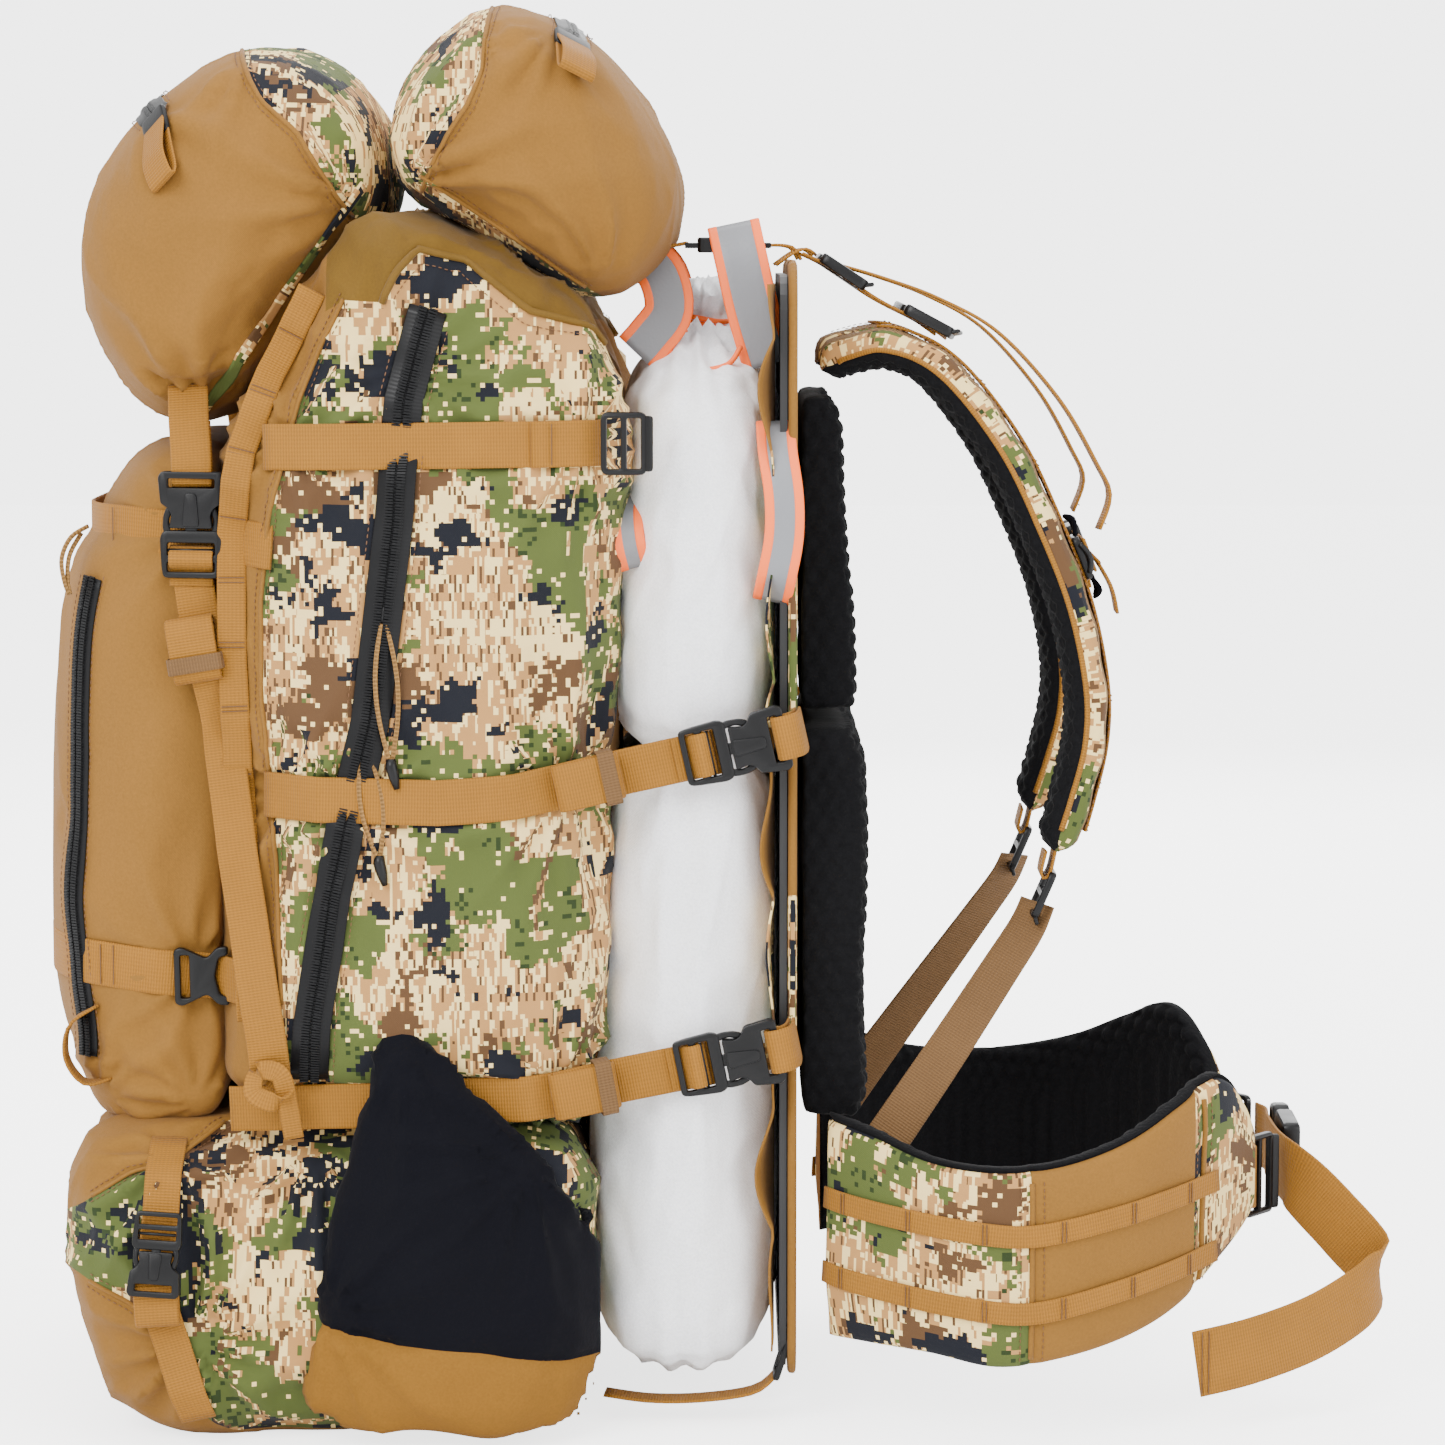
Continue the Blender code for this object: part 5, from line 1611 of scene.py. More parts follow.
class BACKPACK_OT_zips(Builder, bpy.types.Operator):
    """Coated zips of the side panels, front pocket and lid pods"""
    bl_idname = "backpack.zips"
    bl_label = "Zips"

    def make(self):
        bag = tree_of(MADE["main_bag_cloth"])
        pocket = tree_of(MADE["front_pocket_cloth"])
        width = sizes().zip_width
        side = side_path(bag, ZIP_LINE, width, 0.0004, step=0.005, rounds=3)
        run = directions(side)
        flat = np.stack([-run[:, 2], np.zeros(len(run)), run[:, 0]], 1)
        slope = np.array([[hits(bag, p[0] + f[0] * 0.008, p[2] + f[2] * 0.008)
                           - hits(bag, p[0] - f[0] * 0.008, p[2] - f[2] * 0.008)] for p,
                           f in zip(side, flat)])
        for _ in range(6):
            slope[1:-1] = (slope[:-2] + slope[2:] + slope[1:-1]) / 3
        flat[:, 1] = slope[:, 0] / 0.016
        self.strip_pair("side_zip", side, flat, width)

        front, across = [], []
        for z in np.linspace(0.474, 0.208, 54):
            near = [pocket.ray_cast(Vector((-0.6, -0.1215 + d, z)), Vector((1, 0, 0)))[0]
                    for d in (0, 0.006, -0.006)]
            front.append(np.array(near[0]))
            across.append(np.array(near[2] - near[1]))
        front, across = np.array(front), np.array(across)
        for _ in range(8):
            across[1:-1] = (across[:-2] + across[2:] + across[1:-1]) / 3
            front[1:-1] = (front[:-2] + front[2:] + front[1:-1] * 2) / 4
        outs = facing(front, across)
        outs *= np.sign(outs[:, :1]) * -1
        self.strip_pair("front_zip", front + outs * 0.0006, across, 0.017)
        self.end_tabs()
        both(self.side_sliders)

    def strip_pair(self, name, line, across, width):
        outs = facing(line, across)
        if np.mean(outs[:, 1]) > 0:
            across = -across
            outs = -outs
        strip = sweep(name + "_tape_r", line, across, zip_profile(width), "zip_tape")
        hand_over(strip, "pack", [name + "_r"], "zip_tape")
        twin = mirror_piece(strip, name + "_tape_l")
        hand_over(twin, "pack", [name + "_l"], "zip_tape")
        unit = across / np.linalg.norm(across, axis=1, keepdims=True)
        for sign in (-1, 1):
            for offset, lift in ((-0.003, 0.0026), (0.003, 0.0026)):
                row = line + unit * offset + outs * lift
                sew("pack", on_side(row, sign), on_side(outs, sign), TEETH)
            for offset in (-1, 1):
                row = line + unit * offset * (width / 2 + 0.0026) + outs * 0.0008
                sew("pack", on_side(row, sign), on_side(outs, sign))

    def slider(self, name, at, axis, out):
        """Slider body with its bridge."""
        axis, out = Vector(axis).normalized(), Vector(out).normalized()
        side = out.cross(axis)
        shield = rounded([(-0.0085, -0.003), (-0.004, -0.0055), (0.006, -0.0052), (0.0078, 0.0),
                          (0.006, 0.0052), (-0.004, 0.0055), (-0.0085, 0.003)], 0.002, 3)
        parts = [plate(name, shield, [], 0.003, Vector(at) + out * 0.0016, axis, side, 0.0008)]
        arch = [Vector(at) + axis * a + out * b for a, b in
                ((-0.0062, 0.0025), (-0.0054, 0.0048), (-0.002, 0.0058), (0.002, 0.0056),
                 (0.005, 0.0046), (0.0056, 0.0025))]
        parts.append(cordage("bridge", np.array(arch), 0.0011, "buckle_plastic", count=6))
        return join_pieces(name, parts)

    def side_sliders(self, side, sign):
        axis = on_side((0.12084, 0.00734, 0.99264), sign)
        at = on_side((-0.18257, -0.17761, 0.45871), sign)
        out = (0, sign, 0)
        moving = self.slider("zip_slider_body_" + side, at, axis, out)
        hand_over(moving, "zip_slider_" + side, ["zip_slider_" + side], "zip_metal")
        self.pull("zip_pull_" + side, at, (0.004, -0.082), sign, "zip_slider_" + side)
        low = np.array(on_side((-0.1936, -0.1756, 0.39), sign))
        still = self.slider("zip_lower_slider_" + side, low, on_side((0.24, 0.0, 0.97), sign), out)
        hand_over(still, "pack", slot_name="zip_metal")
        self.pull("zip_lower_pull_" + side, low, (0.008, -0.066), sign, "pack")

    def pull(self, name, at, drop_to, sign, body):
        """Doubled cord through the slider bridge, ending in a moulded grip."""
        out = sideways(sign)
        start = np.array(at) + out * 0.0047
        end = np.array(at) + np.array((drop_to[0], 0, drop_to[1])) + out * 0.0075
        line, spread = [], 0.006
        for k in range(17):
            t = k / 16
            line.append(start + (end - start) * t + np.array((spread * math.sin(math.pi * t), 0,
                                                              0))
                        + out * 0.002 * math.sin(math.pi * t))
        for k in range(1, 16):
            t = 1 - k / 16
            line.append(start + (end - start) * t - np.array((spread * math.sin(math.pi * t), 0,
                                                              0))
                        + out * (0.002 * math.sin(math.pi * t) + 0.0006))
        smooth_line = spline(line, 0.004)
        cord = hand_over(cordage(name, smooth_line, 0.0013, count=6), body)
        grip_line = [end + np.array((0, 0, 0.004)), end, end + np.array((0.0015, 0, -0.006)),
                     end + np.array((0.003, 0, -0.0125))]
        radii = [0.0026, 0.0034, 0.003, 0.0016]
        grip = sweep(name + "_grip", np.array(grip_line), (0, 1, 0),
                     np.array([tube_profile(r, 10) for r in radii]), "buckle_plastic")
        hand_over(grip, body)
        length = length_of(smooth_line)
        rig.cord(cord, exit=tuple(smooth_line[0]), length=length, diameter=0.0026, far_end="knot",
                stiffness="limp", lay="hanging", path=smooth_line.tolist(), with_pieces=[grip])

    def end_tabs(self):
        """Short zips across the pods with a webbing pull at each end."""
        for name, pod, seam in (("front", "lid_front_cloth", [(-0.3, -0.14, 0.718), (-0.314, -0.09,
                0.728), (-0.319, -0.05, 0.733),
                                                             (-0.319, 0.0, 0.733)]),
                                ("rear", "lid_rear_cloth", [(-0.083, -0.132, 0.762),
                                                            (-0.084, -0.09, 0.776), (-0.085, -0.05,
                                                                    0.782),
                                                            (-0.084, 0.0, 0.782)])):
            tree = tree_of(MADE[pod])
            half = resample(np.array(seam), 0.006)
            line = np.concatenate([half, mirrored(half)[::-1][1:]])
            spots, outs = on_surface(tree, line, 0.0004)
            for _ in range(4):
                outs[1:-1] = (outs[:-2] + outs[1:-1] + outs[2:]) / 3
            along = directions(spots)
            across = np.cross(outs, along)
            strip = sweep("lid_" + name + "_zip", spots, across, zip_profile(0.019), "zip_tape")
            hand_over(strip, "lid", slot_name="zip_tape")
            sew("lid", spots + across * 0.012 + outs * 0.0006, outs)
            sew("lid", spots - across * 0.012 + outs * 0.0006, outs)
            lean = (0.62, -0.1, -0.78) if name == "front" else (-0.34, -0.3, -0.9)
            for sign in (-1, 1):
                at, out = on_side(spots[0], sign), on_side(outs[0], sign)
                down = on_side(lean, sign)
                down = down - out * (down @ out)
                down /= np.linalg.norm(down)
                fold = [at + out * 0.002 - down * 0.004, at + out * 0.005 + down * 0.006,
                        at + out * 0.0085 + down * 0.022, at + out * 0.006 + down * 0.036,
                        at + out * 0.0024 + down * 0.032, at + out * 0.002 + down * 0.016,
                        at + out * 0.0016]
                loop = webbing("lid_%s_pull_%s" % (name, "r" if sign < 0 else "l"),
                               spline(fold, 0.003),
                               np.cross(down, out), 0.021, thick=0.0016)
                hand_over(loop, "lid", (), "webbing")
                block_end = plate("lid_%s_zip_end_%s" % (name, "r" if sign < 0 else "l"),
                                  rounded(block(-0.009, 0.008, -0.011, 0.011), 0.003, 3), [],
                                  0.003,
                                  at + out * 0.0022, down, np.cross(out, down), 0.0009)
                hand_over(block_end, "lid", (), "buckle_plastic")


def strap_run(name, body, line, across, nodes=(), width=None, finish="webbing"):
    return hand_over(webbing(name, line, across, width, finish), body, nodes, "webbing")


STRAP_PLANE = -0.161


class BACKPACK_OT_straps(Builder, bpy.types.Operator):
    """Compression straps of both sides with their rolled tails"""
    bl_idname = "backpack.straps"
    bl_label = "Compression straps"

    def make(self):
        bag = tree_of(MADE["main_bag_cloth"], MADE["front_pocket_cloth"],
                      MADE["bottom_compartment_cloth"])
        web = sizes().web
        for name, line in STRAP_LINES.items():
            plane = 0.0 if name == "top" else STRAP_PLANE - 0.0009
            path = side_path(bag, line, web * 0.9, 0.0016, plane)
            if name != "top":
                held = path[:, 0] > -0.05
                path[held, 1] = plane
                path[:, 1] = np.minimum(path[:, 1], plane)
            both(lambda side, sign: self.one(name, path, side, sign))
        both(self.front_straps)
        both(self.daisy_chain)

    def one(self, name, path, side, sign):
        line = on_side(path, sign)
        out = sideways(sign)
        strap_run("%s_strap_%s" % (name, side), "pack", line, UP, ["strap_%s_%s" % (name, side)])
        first = line[1] + out * 0.001
        for k in (0, 1):
            tack("pack", first + np.array((0.004 + 0.012 * k, 0, 0)), (0, 0, 1), out, 0.02, 1)
        if name == "top":
            fold = [p + out * 0.0022 for p in line if -0.104 < p[0]]
            fold = np.array([line[np.argmin(abs(line[:, 0] + 0.104))] + out * 0.0008] + fold)
            strap_run("top_strap_fold_" + side, "pack", fold, UP)
            tack("pack", fold[2] + out * 0.0012, (0, 0, 1), out, 0.021, 2, 0.009)
            return
        x0, x1 = (-0.093, -0.056) if name == "mid" else (-0.096, -0.059)
        inside = line[(line[:, 0] >= x0) & (line[:, 0] <= x1)]
        u = inside[-1] - inside[0]
        u /= np.linalg.norm(u)
        face_out = np.cross(u, (0, 0, 1.0))
        face_out *= np.sign(face_out[1]) * sign
        middle = (inside[0] + inside[-1]) / 2 + face_out * 0.0072
        roll = rolled_tail("%s_roll_%s" % (name, side), middle, u, face_out, 0.037, 2, 0.0255,
                           0.0024)
        hand_over(roll, "pack", (), "webbing")
        band = keeper("%s_keeper_%s" % (name, side), middle + u * 0.012 - face_out * 0.0072, u,
                      face_out,
                      0.0148, -0.0012, 0.0146)
        hand_over(band, "pack", (), "webbing")

    def front_straps(self, side, sign):
        """Two short straps across the front of the bag and their hooks."""
        pocket = tree_of(MADE["front_pocket_cloth"], MADE["main_bag_cloth"])
        for name, height, reach, slope in (("upper", 0.502, -0.243, -0.008), ("lower", 0.262,
                -0.242, -0.01)):
            ring = []
            for k in range(46):
                y = 0.0 - k * 0.004
                spot = pocket.ray_cast(Vector((-0.6, y, height)), Vector((1, 0, 0)))[0]
                if spot is None or y < -0.128:
                    break
                ring.append(np.array((spot.x - 0.0016, y, height)))
            corner = ring[-1]
            for x in np.arange(corner[0] + 0.006, reach, 0.006):
                t = (x - corner[0]) / (reach - corner[0])
                z = height + slope * t
                ring.append(np.array((x, hits(pocket, x, z) - 0.0018, z)))
            line = np.array(ring)
            for _ in range(5):
                line[1:-1] = (line[:-2] + line[1:-1] * 2 + line[2:]) / 4
                for i in range(1, len(line) - 1):
                    if line[i][0] > corner[0]:
                        line[i][1] = min(line[i][1], hits(pocket, line[i][0], line[i][2]) - 0.0014)
            line = on_side(resample(line, 0.005), sign)
            strap_run("front_%s_strap_%s" % (name, side), "pack", line, UP)
            out = np.array((-0.35, 0.94 * sign, 0))
            spot = line[np.argmin(abs(line[:, 0] + (0.33 if name == "upper" else 0.338)))]
            tack("pack", spot + out * 0.0012, (0, 0, 1), out, 0.021, 2, 0.008)
            if name == "lower":
                at = line[np.argmin(abs(line[:, 0] + 0.289))]
                self.hook("front_hook_" + side, at + np.array((0, sign * 0.0016, 0)), (1, 0, 0.02),
                          (0, sign, 0))

    def hook(self, name, at, u, out):
        """Ladder lock with an open hook at its end."""
        u, out = Vector(u).normalized(), Vector(out)
        v = out.cross(u)
        outline = rounded([(-0.014, -0.015), (-0.01, -0.0165), (0.004, -0.01), (0.01, -0.016),
                           (0.016, -0.0165),
                           (0.016, -0.0115), (0.011, -0.0105), (0.0085, 0.0), (0.011, 0.0105),
                           (0.016, 0.0115),
                           (0.016, 0.0165), (0.01, 0.016), (0.004, 0.01), (-0.01, 0.0165),
                           (-0.014, 0.015)], 0.002, 3)
        holes = [window(-0.0105, -0.0055, -0.0118, 0.0118)]
        piece = plate(name, outline, holes, 0.0052, Vector(at) + out * 0.0034, u, v, 0.0013)
        hand_over(piece, "pack", (), "buckle_plastic")

    def daisy_chain(self, side, sign):
        """Webbing ladder sewn down the plain strip beside the side panel."""
        bag = tree_of(MADE["main_bag_cloth"], MADE["front_pocket_cloth"])
        line = [(-0.2215, 0.632), (-0.244, 0.588), (-0.26, 0.545), (-0.2665, 0.5), (-0.2665, 0.43),
                (-0.264, 0.37), (-0.26, 0.31), (-0.257, 0.235)]
        path = on_side(side_path(bag, line, 0.014, 0.0015, step=0.005, rounds=1), sign)
        run = directions(path)
        strap_run("daisy_chain_" + side, "pack", path, np.cross(run, (0, sign, 0)), width=0.016)
        out = sideways(sign)
        for at in range(5, len(path) - 2, 7):
            across = np.cross(run[at], out)
            tack("pack", path[at] + out * 0.0011, across, out, 0.013, 2, 0.0026)


BUCKLES = {"mid": ((-0.0215, -0.161, 0.3785), (0.0585, 0, 0.013)),
           "low": ((-0.025, -0.161, 0.2075), (0.0585, 0, 0.0118)),
           "lid": ((-0.289, -0.1472, 0.476), (0.001, 0, 0.0585))}


class BACKPACK_OT_buckles(Builder, bpy.types.Operator):
    """Side-release buckles and ladder locks of the compression straps"""
    bl_idname = "backpack.buckles"
    bl_label = "Buckles"

    def make(self):
        both(self.one_side)

    def one_side(self, side, sign):
        out = sideways(sign)
        for name, (root, toward) in BUCKLES.items():
            root, u = on_side(root, sign), np.array(toward) / np.linalg.norm(toward)
            v = np.cross(u, out)
            still, moving = ("lid", "pack") if name == "lid" else ("pack", "%s_latch_%s" % (name,
                    side))
            latch = latch_half("%s_buckle_latch_%s" % (name, side), root, u, v, out)
            hand_over(latch, moving, ["%s_latch_%s" % (name, side)], "buckle_plastic")
            socket = socket_half("%s_buckle_socket_%s" % (name, side), root, u, v, out)
            hand_over(socket, still, ["%s_socket_%s" % (name, side)], "buckle_plastic")

            def spread(pairs):
                return spline([root + u * a + out * b for a, b in pairs], 0.0022)
            wrap = spread([(-0.0045, 0.003), (0.003, 0.0034), (0.006, 0.006), (0.0085, 0.0093),
                           (0.0107, 0.01), (0.013, 0.0092), (0.0155, 0.006), (0.0172, 0.0036)])
            hand_over(webbing("%s_buckle_wrap_%s" % (name, side), wrap, v, 0.024), moving, (),
                      "webbing")
            if name != "lid":
                loop = spread([(0.065, -0.02), (0.0635, -0.006), (0.06, 0.0012), (0.055, 0.0012),
                               (0.0517, 0.0034),
                               (0.0517, 0.0085), (0.0535, 0.0118), (0.059, 0.0122),
                               (0.0645, 0.0075),
                               (0.0668, -0.003), (0.0675, -0.02)])
                loop = webbing("%s_anchor_loop_%s" % (name, side), loop, v, 0.024)
                hand_over(loop, "pack", (), "webbing")
        lock = ladder_lock("top_lock_" + side, on_side((-0.053, -0.1745, 0.55), sign), (1, 0, 0),
                           (0, 0, -sign),
                           0.034, 0.025)
        hand_over(lock, "pack", ["lock_top_" + side], "buckle_plastic")


class BACKPACK_OT_lid_straps(Builder, bpy.types.Operator):
    """Straps from the front pod down to the foot of the bag, and the rear pod's hook-up"""
    bl_idname = "backpack.lid_straps"
    bl_label = "Lid straps"

    def make(self):
        both(self.front)
        both(self.rear)

    def front(self, side, sign):
        bag = tree_of(MADE["main_bag_cloth"], MADE["front_pocket_cloth"])
        out = sideways(sign)
        path = side_path(bag, LID_LINE[1:], 0.022, 0.0042, step=0.006)
        top = np.array([(-0.2885, -0.1492, 0.479), (-0.286, -0.15, 0.46), (-0.28, -0.156, 0.43)])
        line = spline(np.concatenate([top, path[::3], path[-1:]]), 0.006)
        strap_run("lid_strap_web_" + side, "pack", on_side(line, sign), (1, 0, 0.12),
                  ["lid_strap_" + side], width=sizes().lid_web)
        tail = np.array((-0.2875, -0.157, 0.438))
        axis = np.array((0.16, 0, -0.987))
        roll = rolled_tail("lid_roll_" + side, on_side(tail, sign), axis, out, 0.036, 3, 0.026,
                           0.0024)
        hand_over(roll, "pack", (), "webbing")
        band = keeper("lid_keeper_" + side, on_side(tail + axis * 0.008, sign) - out * 0.0084,
                      axis, out,
                      0.0148, -0.0008, 0.018)
        hand_over(band, "pack", (), "webbing")
        hem = np.array([(-0.292, -0.131, 0.58), (-0.2905, -0.142, 0.562), (-0.2885, -0.15, 0.542),
                        (-0.288, -0.1538, 0.53), (-0.288, -0.152, 0.5262), (-0.2881, -0.148,
                                0.527),
                        (-0.2885, -0.1455, 0.542), (-0.29, -0.139, 0.56)])
        loop = webbing("lid_buckle_web_" + side, on_side(spline(hem, 0.003), sign), (1, 0, 0),
                       0.022)
        hand_over(loop, "lid", (), "webbing")
        foot = np.array(path[-1])
        knot = [foot + (0.0, -0.004, 0.000), foot + (0.009, -0.006, -0.006), foot + (0.004, -0.011,
                -0.013),
                foot + (-0.008, -0.01, -0.008), foot + (-0.006, -0.006, 0.003), foot + (0.006,
                        -0.01, 0.002),
                foot + (0.01, -0.008, -0.014), foot + (0.013, -0.005, -0.034)]
        tied = webbing("lid_strap_knot_" + side, on_side(spline(knot, 0.002), sign),
                       (0.75, 0, 0.65), 0.011)
        hand_over(tied, "pack", (), "webbing")

    def rear(self, side, sign):
        wear(frame["nodes"]["lid_anchor_" + side], "buckle_plastic")
        strap = np.array([(-0.06, -0.06, 0.633), (-0.042, -0.06, 0.6475), (-0.033, -0.06, 0.6545),
                          (-0.02, -0.06, 0.6575)])
        hand_over(webbing("lid_anchor_web_" + side, on_side(spline(strap, 0.004), sign), (0, 1, 0),
                          0.019),
                  "lid", (), "webbing")
        cross = np.array([(0.024, -0.06, 0.656), (0.033, -0.06, 0.6562), (0.04, -0.06, 0.6545),
                          (0.044, -0.06, 0.648)])
        piece = webbing("lid_frame_web_" + side, on_side(spline(cross, 0.003), sign), (0, 1, 0),
                        0.019)
        hand_over(piece, "pack", (), "webbing")


STRAP_ARC = [(0.056, 0.588), (0.072, 0.596), (0.096, 0.598), (0.124, 0.583),
             (0.155, 0.5435), (0.1765, 0.4995), (0.193, 0.457), (0.202, 0.414),
             (0.202, 0.383), (0.1945, 0.35), (0.1855, 0.32)]
STRAP_LATERAL = [-0.058, -0.06, -0.068, -0.078, -0.087, -0.091, -0.093, -0.094, -0.095, -0.097,
                 -0.099]
STRAP_WIDTH, STRAP_THICK = 0.062, 0.022


def padded_band(name, rings, zones, finishes, lengths):
    """Closed pad from rings of points; zones give a finish per ring segment."""
    n, m = rings.shape[:2]
    edge = np.concatenate([[0], np.cumsum(np.linalg.norm(np.roll(rings[n // 2], -1,
                                                                 0) - rings[n // 2], axis=1))])
    faces, cloth, indices = [], [], []
    for i in range(n - 1):
        for k in range(m):
            l = (k + 1) % m
            faces.append((i * m + k, i * m + l, (i + 1) * m + l, (i + 1) * m + k))
            cloth += [(lengths[i], edge[k]), (lengths[i], edge[k + 1]),
                      (lengths[i + 1], edge[k + 1]), (lengths[i + 1], edge[k])]
            indices.append(zones[k])
    points = list(rings.reshape(-1, 3))
    for i in (0, n - 1):
        points.append(rings[i].mean(axis=0))
        for k in range(m):
            l = (k + 1) % m
            face = (i * m + k, i * m + l, len(points) - 1)
            faces.append(face if i else face[::-1])
            cloth += [(lengths[i], 0.0)] * 3
            indices.append(zones[k])
    piece = mesh_piece(name, points, faces, finishes, cloth, indices=indices)
    right_way_out(piece)
    return piece


def strap_frame():
    """Spine of the right shoulder strap with its directions."""
    spine = spline([(x, y, z) for (x, z), y in zip(STRAP_ARC, STRAP_LATERAL)], 0.003)
    along = directions(spine)
    side = np.array([0, 1.0, 0]) - along * along[:, 1:2]
    side /= np.linalg.norm(side, axis=1, keepdims=True)
    return spine, side, np.cross(along, side)


class BACKPACK_OT_harness(Builder, bpy.types.Operator):
    """Shoulder straps, load lifters, sternum strap and lower webs"""
    bl_idname = "backpack.harness"
    bl_label = "Harness"

    def make(self):
        self.spine = strap_frame()
        both(self.shoulder)
        both(self.webs)
        self.sternum()

    def shoulder(self, side, sign):
        spine, lateral, out = self.spine
        n, m = len(spine), 64
        t = np.linspace(0, 1, n)
        taper = np.minimum(np.minimum(1, 0.72 + 0.28 * np.minimum(1, t / 0.2)),
                           0.56 + 0.44 * np.minimum(1, (1 - t) / 0.16))
        ends = np.sqrt(np.clip(np.minimum(t, 1 - t) / 0.022, 0.02, 1))
        reach = travel(spine)
        rings, zones = [], []
        for k in range(m):
            a = 2 * math.pi * (k + 0.5) / m
            c, s = math.cos(a), math.sin(a)
            wide = math.copysign(abs(c) ** 0.6, c) * STRAP_WIDTH / 2 * taper * (0.86 + 0.14 * ends)
            deep = math.copysign(abs(s) ** 0.62, s) * STRAP_THICK / 2 * ends
            deep = deep - 0.002 * math.exp(-((abs(s) - 0.12) / 0.1) ** 2) * math.copysign(1, s)
            if s < -0.2:
                deep = deep - (hex_bumps(reach, wide) - 0.5) * 0.0026 * min(1.0,
                        (-s - 0.2) * 4) * ends
            if s > 0.5:
                deep = deep + 0.0006 * np.sin(reach * 190)
            rings.append(spine + lateral * wide[:, None] + out * deep[:, None])
            zones.append(0 if s < -0.12 else 1 if s < 0.8 else 2)
        rings = on_side(np.array(rings).transpose(1, 0, 2), sign)
        pad = padded_band("shoulder_pad_" + side, rings, zones, ["spacer_mesh", "camo_cloth",
                                                                 "strap_mesh"], reach)
        hand_over(pad, "harness", ["shoulder_strap_" + side], "padded_fabric")
        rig.padded(pad, fill=0.9)
        for hand in (1, -1):
            rim = spine + hand * lateral * (STRAP_WIDTH / 2 * 0.995 * taper)[:,
                    None] - out * 0.0016
            hand_over(cordage("strap_piping_%s_%s" % (side, "in" if hand > 0 else "out"),
                              on_side(rim[4:-4], sign), 0.0016, "webbing", count=6), "harness")
            stitch = spine + hand * lateral * (STRAP_WIDTH / 2 * 0.7 * taper)[:,
                    None] + out * (STRAP_THICK / 2 + 0.0003)
            sew("harness", on_side(stitch[6:-6], sign), on_side(out[6:-6], sign))
        over = spine + out * (STRAP_THICK / 2 + 0.0014)
        cut = slice(int(n * 0.1), int(n * 0.965))
        strap_run("strap_web_" + side, "harness", on_side(over[cut], sign), (0, 1, 0),
                  finish="webbing")
        for t_at in (0.12, 0.26, 0.4, 0.52, 0.64, 0.76, 0.88, 0.95):
            i = int(n * t_at)
            if abs(over[i][2] - 0.478) < 0.045:
                continue
            tack("harness", on_side(over[i] + out[i] * 0.0012, sign), (0, 1, 0), on_side(out[i],
                    sign), 0.021, 2, 0.0028)

    def webs(self, side, sign):
        upper = spline([(0.045, -0.06, 0.6515), (0.06, -0.061, 0.644), (0.087, -0.064, 0.626),
                        (0.113, -0.072, 0.6125), (0.1225, -0.0755, 0.606)], 0.004)
        lifter = webbing("load_lifter_" + side, on_side(upper, sign), (0, 1, 0))
        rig.replaces(lifter, "lifter_web_" + side)
        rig.slot(lifter, "webbing")
        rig.blend(lifter, "pack", "harness", (0.046, 0, 0.65), (0.06, 0, 0.643))
        frame_bit = spline([(0.03, -0.06, 0.643), (0.04, -0.06, 0.65), (0.047, -0.06, 0.652),
                            (0.052, -0.0605, 0.649)], 0.003)
        strap_run("lifter_root_" + side, "pack", on_side(frame_bit + np.array((0, 0, 0.002)),
                                                         sign), (0, 1, 0))
        for at, name, dip in (((0.068, -0.0618, 0.6412), "upper", (0.83, -0.03, -0.55)),
                              ((0.116, -0.0728, 0.6135), "lower", (0.87, -0.12, -0.47))):
            lock = ladder_lock("lifter_%s_lock_%s" % (name, side), on_side(at, sign),
                               on_side(dip, sign),
                               (0, 1, 0), 0.036, 0.03, 0.0085)
            hand_over(lock, "harness", (), "buckle_plastic")
        tail = spline([(0.066, -0.0618, 0.645), (0.09, -0.064, 0.638), (0.121, -0.07, 0.6265),
                       (0.154, -0.078, 0.6075), (0.187, -0.085, 0.571), (0.208, -0.09, 0.535),
                       (0.215, -0.092, 0.518), (0.209, -0.093, 0.499)], 0.005)
        strap_run("lifter_tail_" + side, "harness", on_side(tail, sign), (0, 1, 0))
        tack("harness", on_side(tail[-2] + np.array((0.0012, 0, 0)), sign), (0, 1, 0),
             (0.96, 0, 0.28), 0.022, 2)
        lock_at, down = np.array((0.179, -0.099, 0.296)), np.array((-0.4, 0, -0.92))
        lock = ladder_lock("strap_lock_body_" + side, on_side(lock_at, sign), down, (0, 1, 0),
                           0.033, 0.028, 0.0058)
        hand_over(lock, "harness", ["strap_lock_" + side], "buckle_plastic")
        tip = spline([(0.189, -0.098, 0.338), (0.1862, -0.0985, 0.324), (0.1832, -0.099, 0.31),
                      (0.1806, -0.099, 0.3052), (0.1776, -0.099, 0.3075), (0.1802, -0.0985, 0.32)],
                      0.003)
        strap_run("strap_tip_web_" + side, "harness", on_side(tip, sign), (0, 1, 0))
        low = spline([(0.1765, -0.0995, 0.2905), (0.17, -0.102, 0.276), (0.154, -0.108, 0.252),
                      (0.124, -0.119, 0.208), (0.09, -0.1275, 0.159), (0.072, -0.13, 0.133)],
                      0.005)
        sway = np.stack([np.full(len(low), -0.6), 0.8 - 0.72 * np.linspace(0, 1, len(low)),
                         np.full(len(low), 0.5)], 1)
        web = webbing("lower_webbing_" + side, on_side(low, sign), on_side(sway, sign),
                      finish="harness_webbing")
        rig.replaces(web, "lower_web_" + side)
        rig.slot(web, "harness_webbing")
        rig.blend(web, "pack", "harness", (0.1, 0, 0.172), (0.172, 0, 0.281))

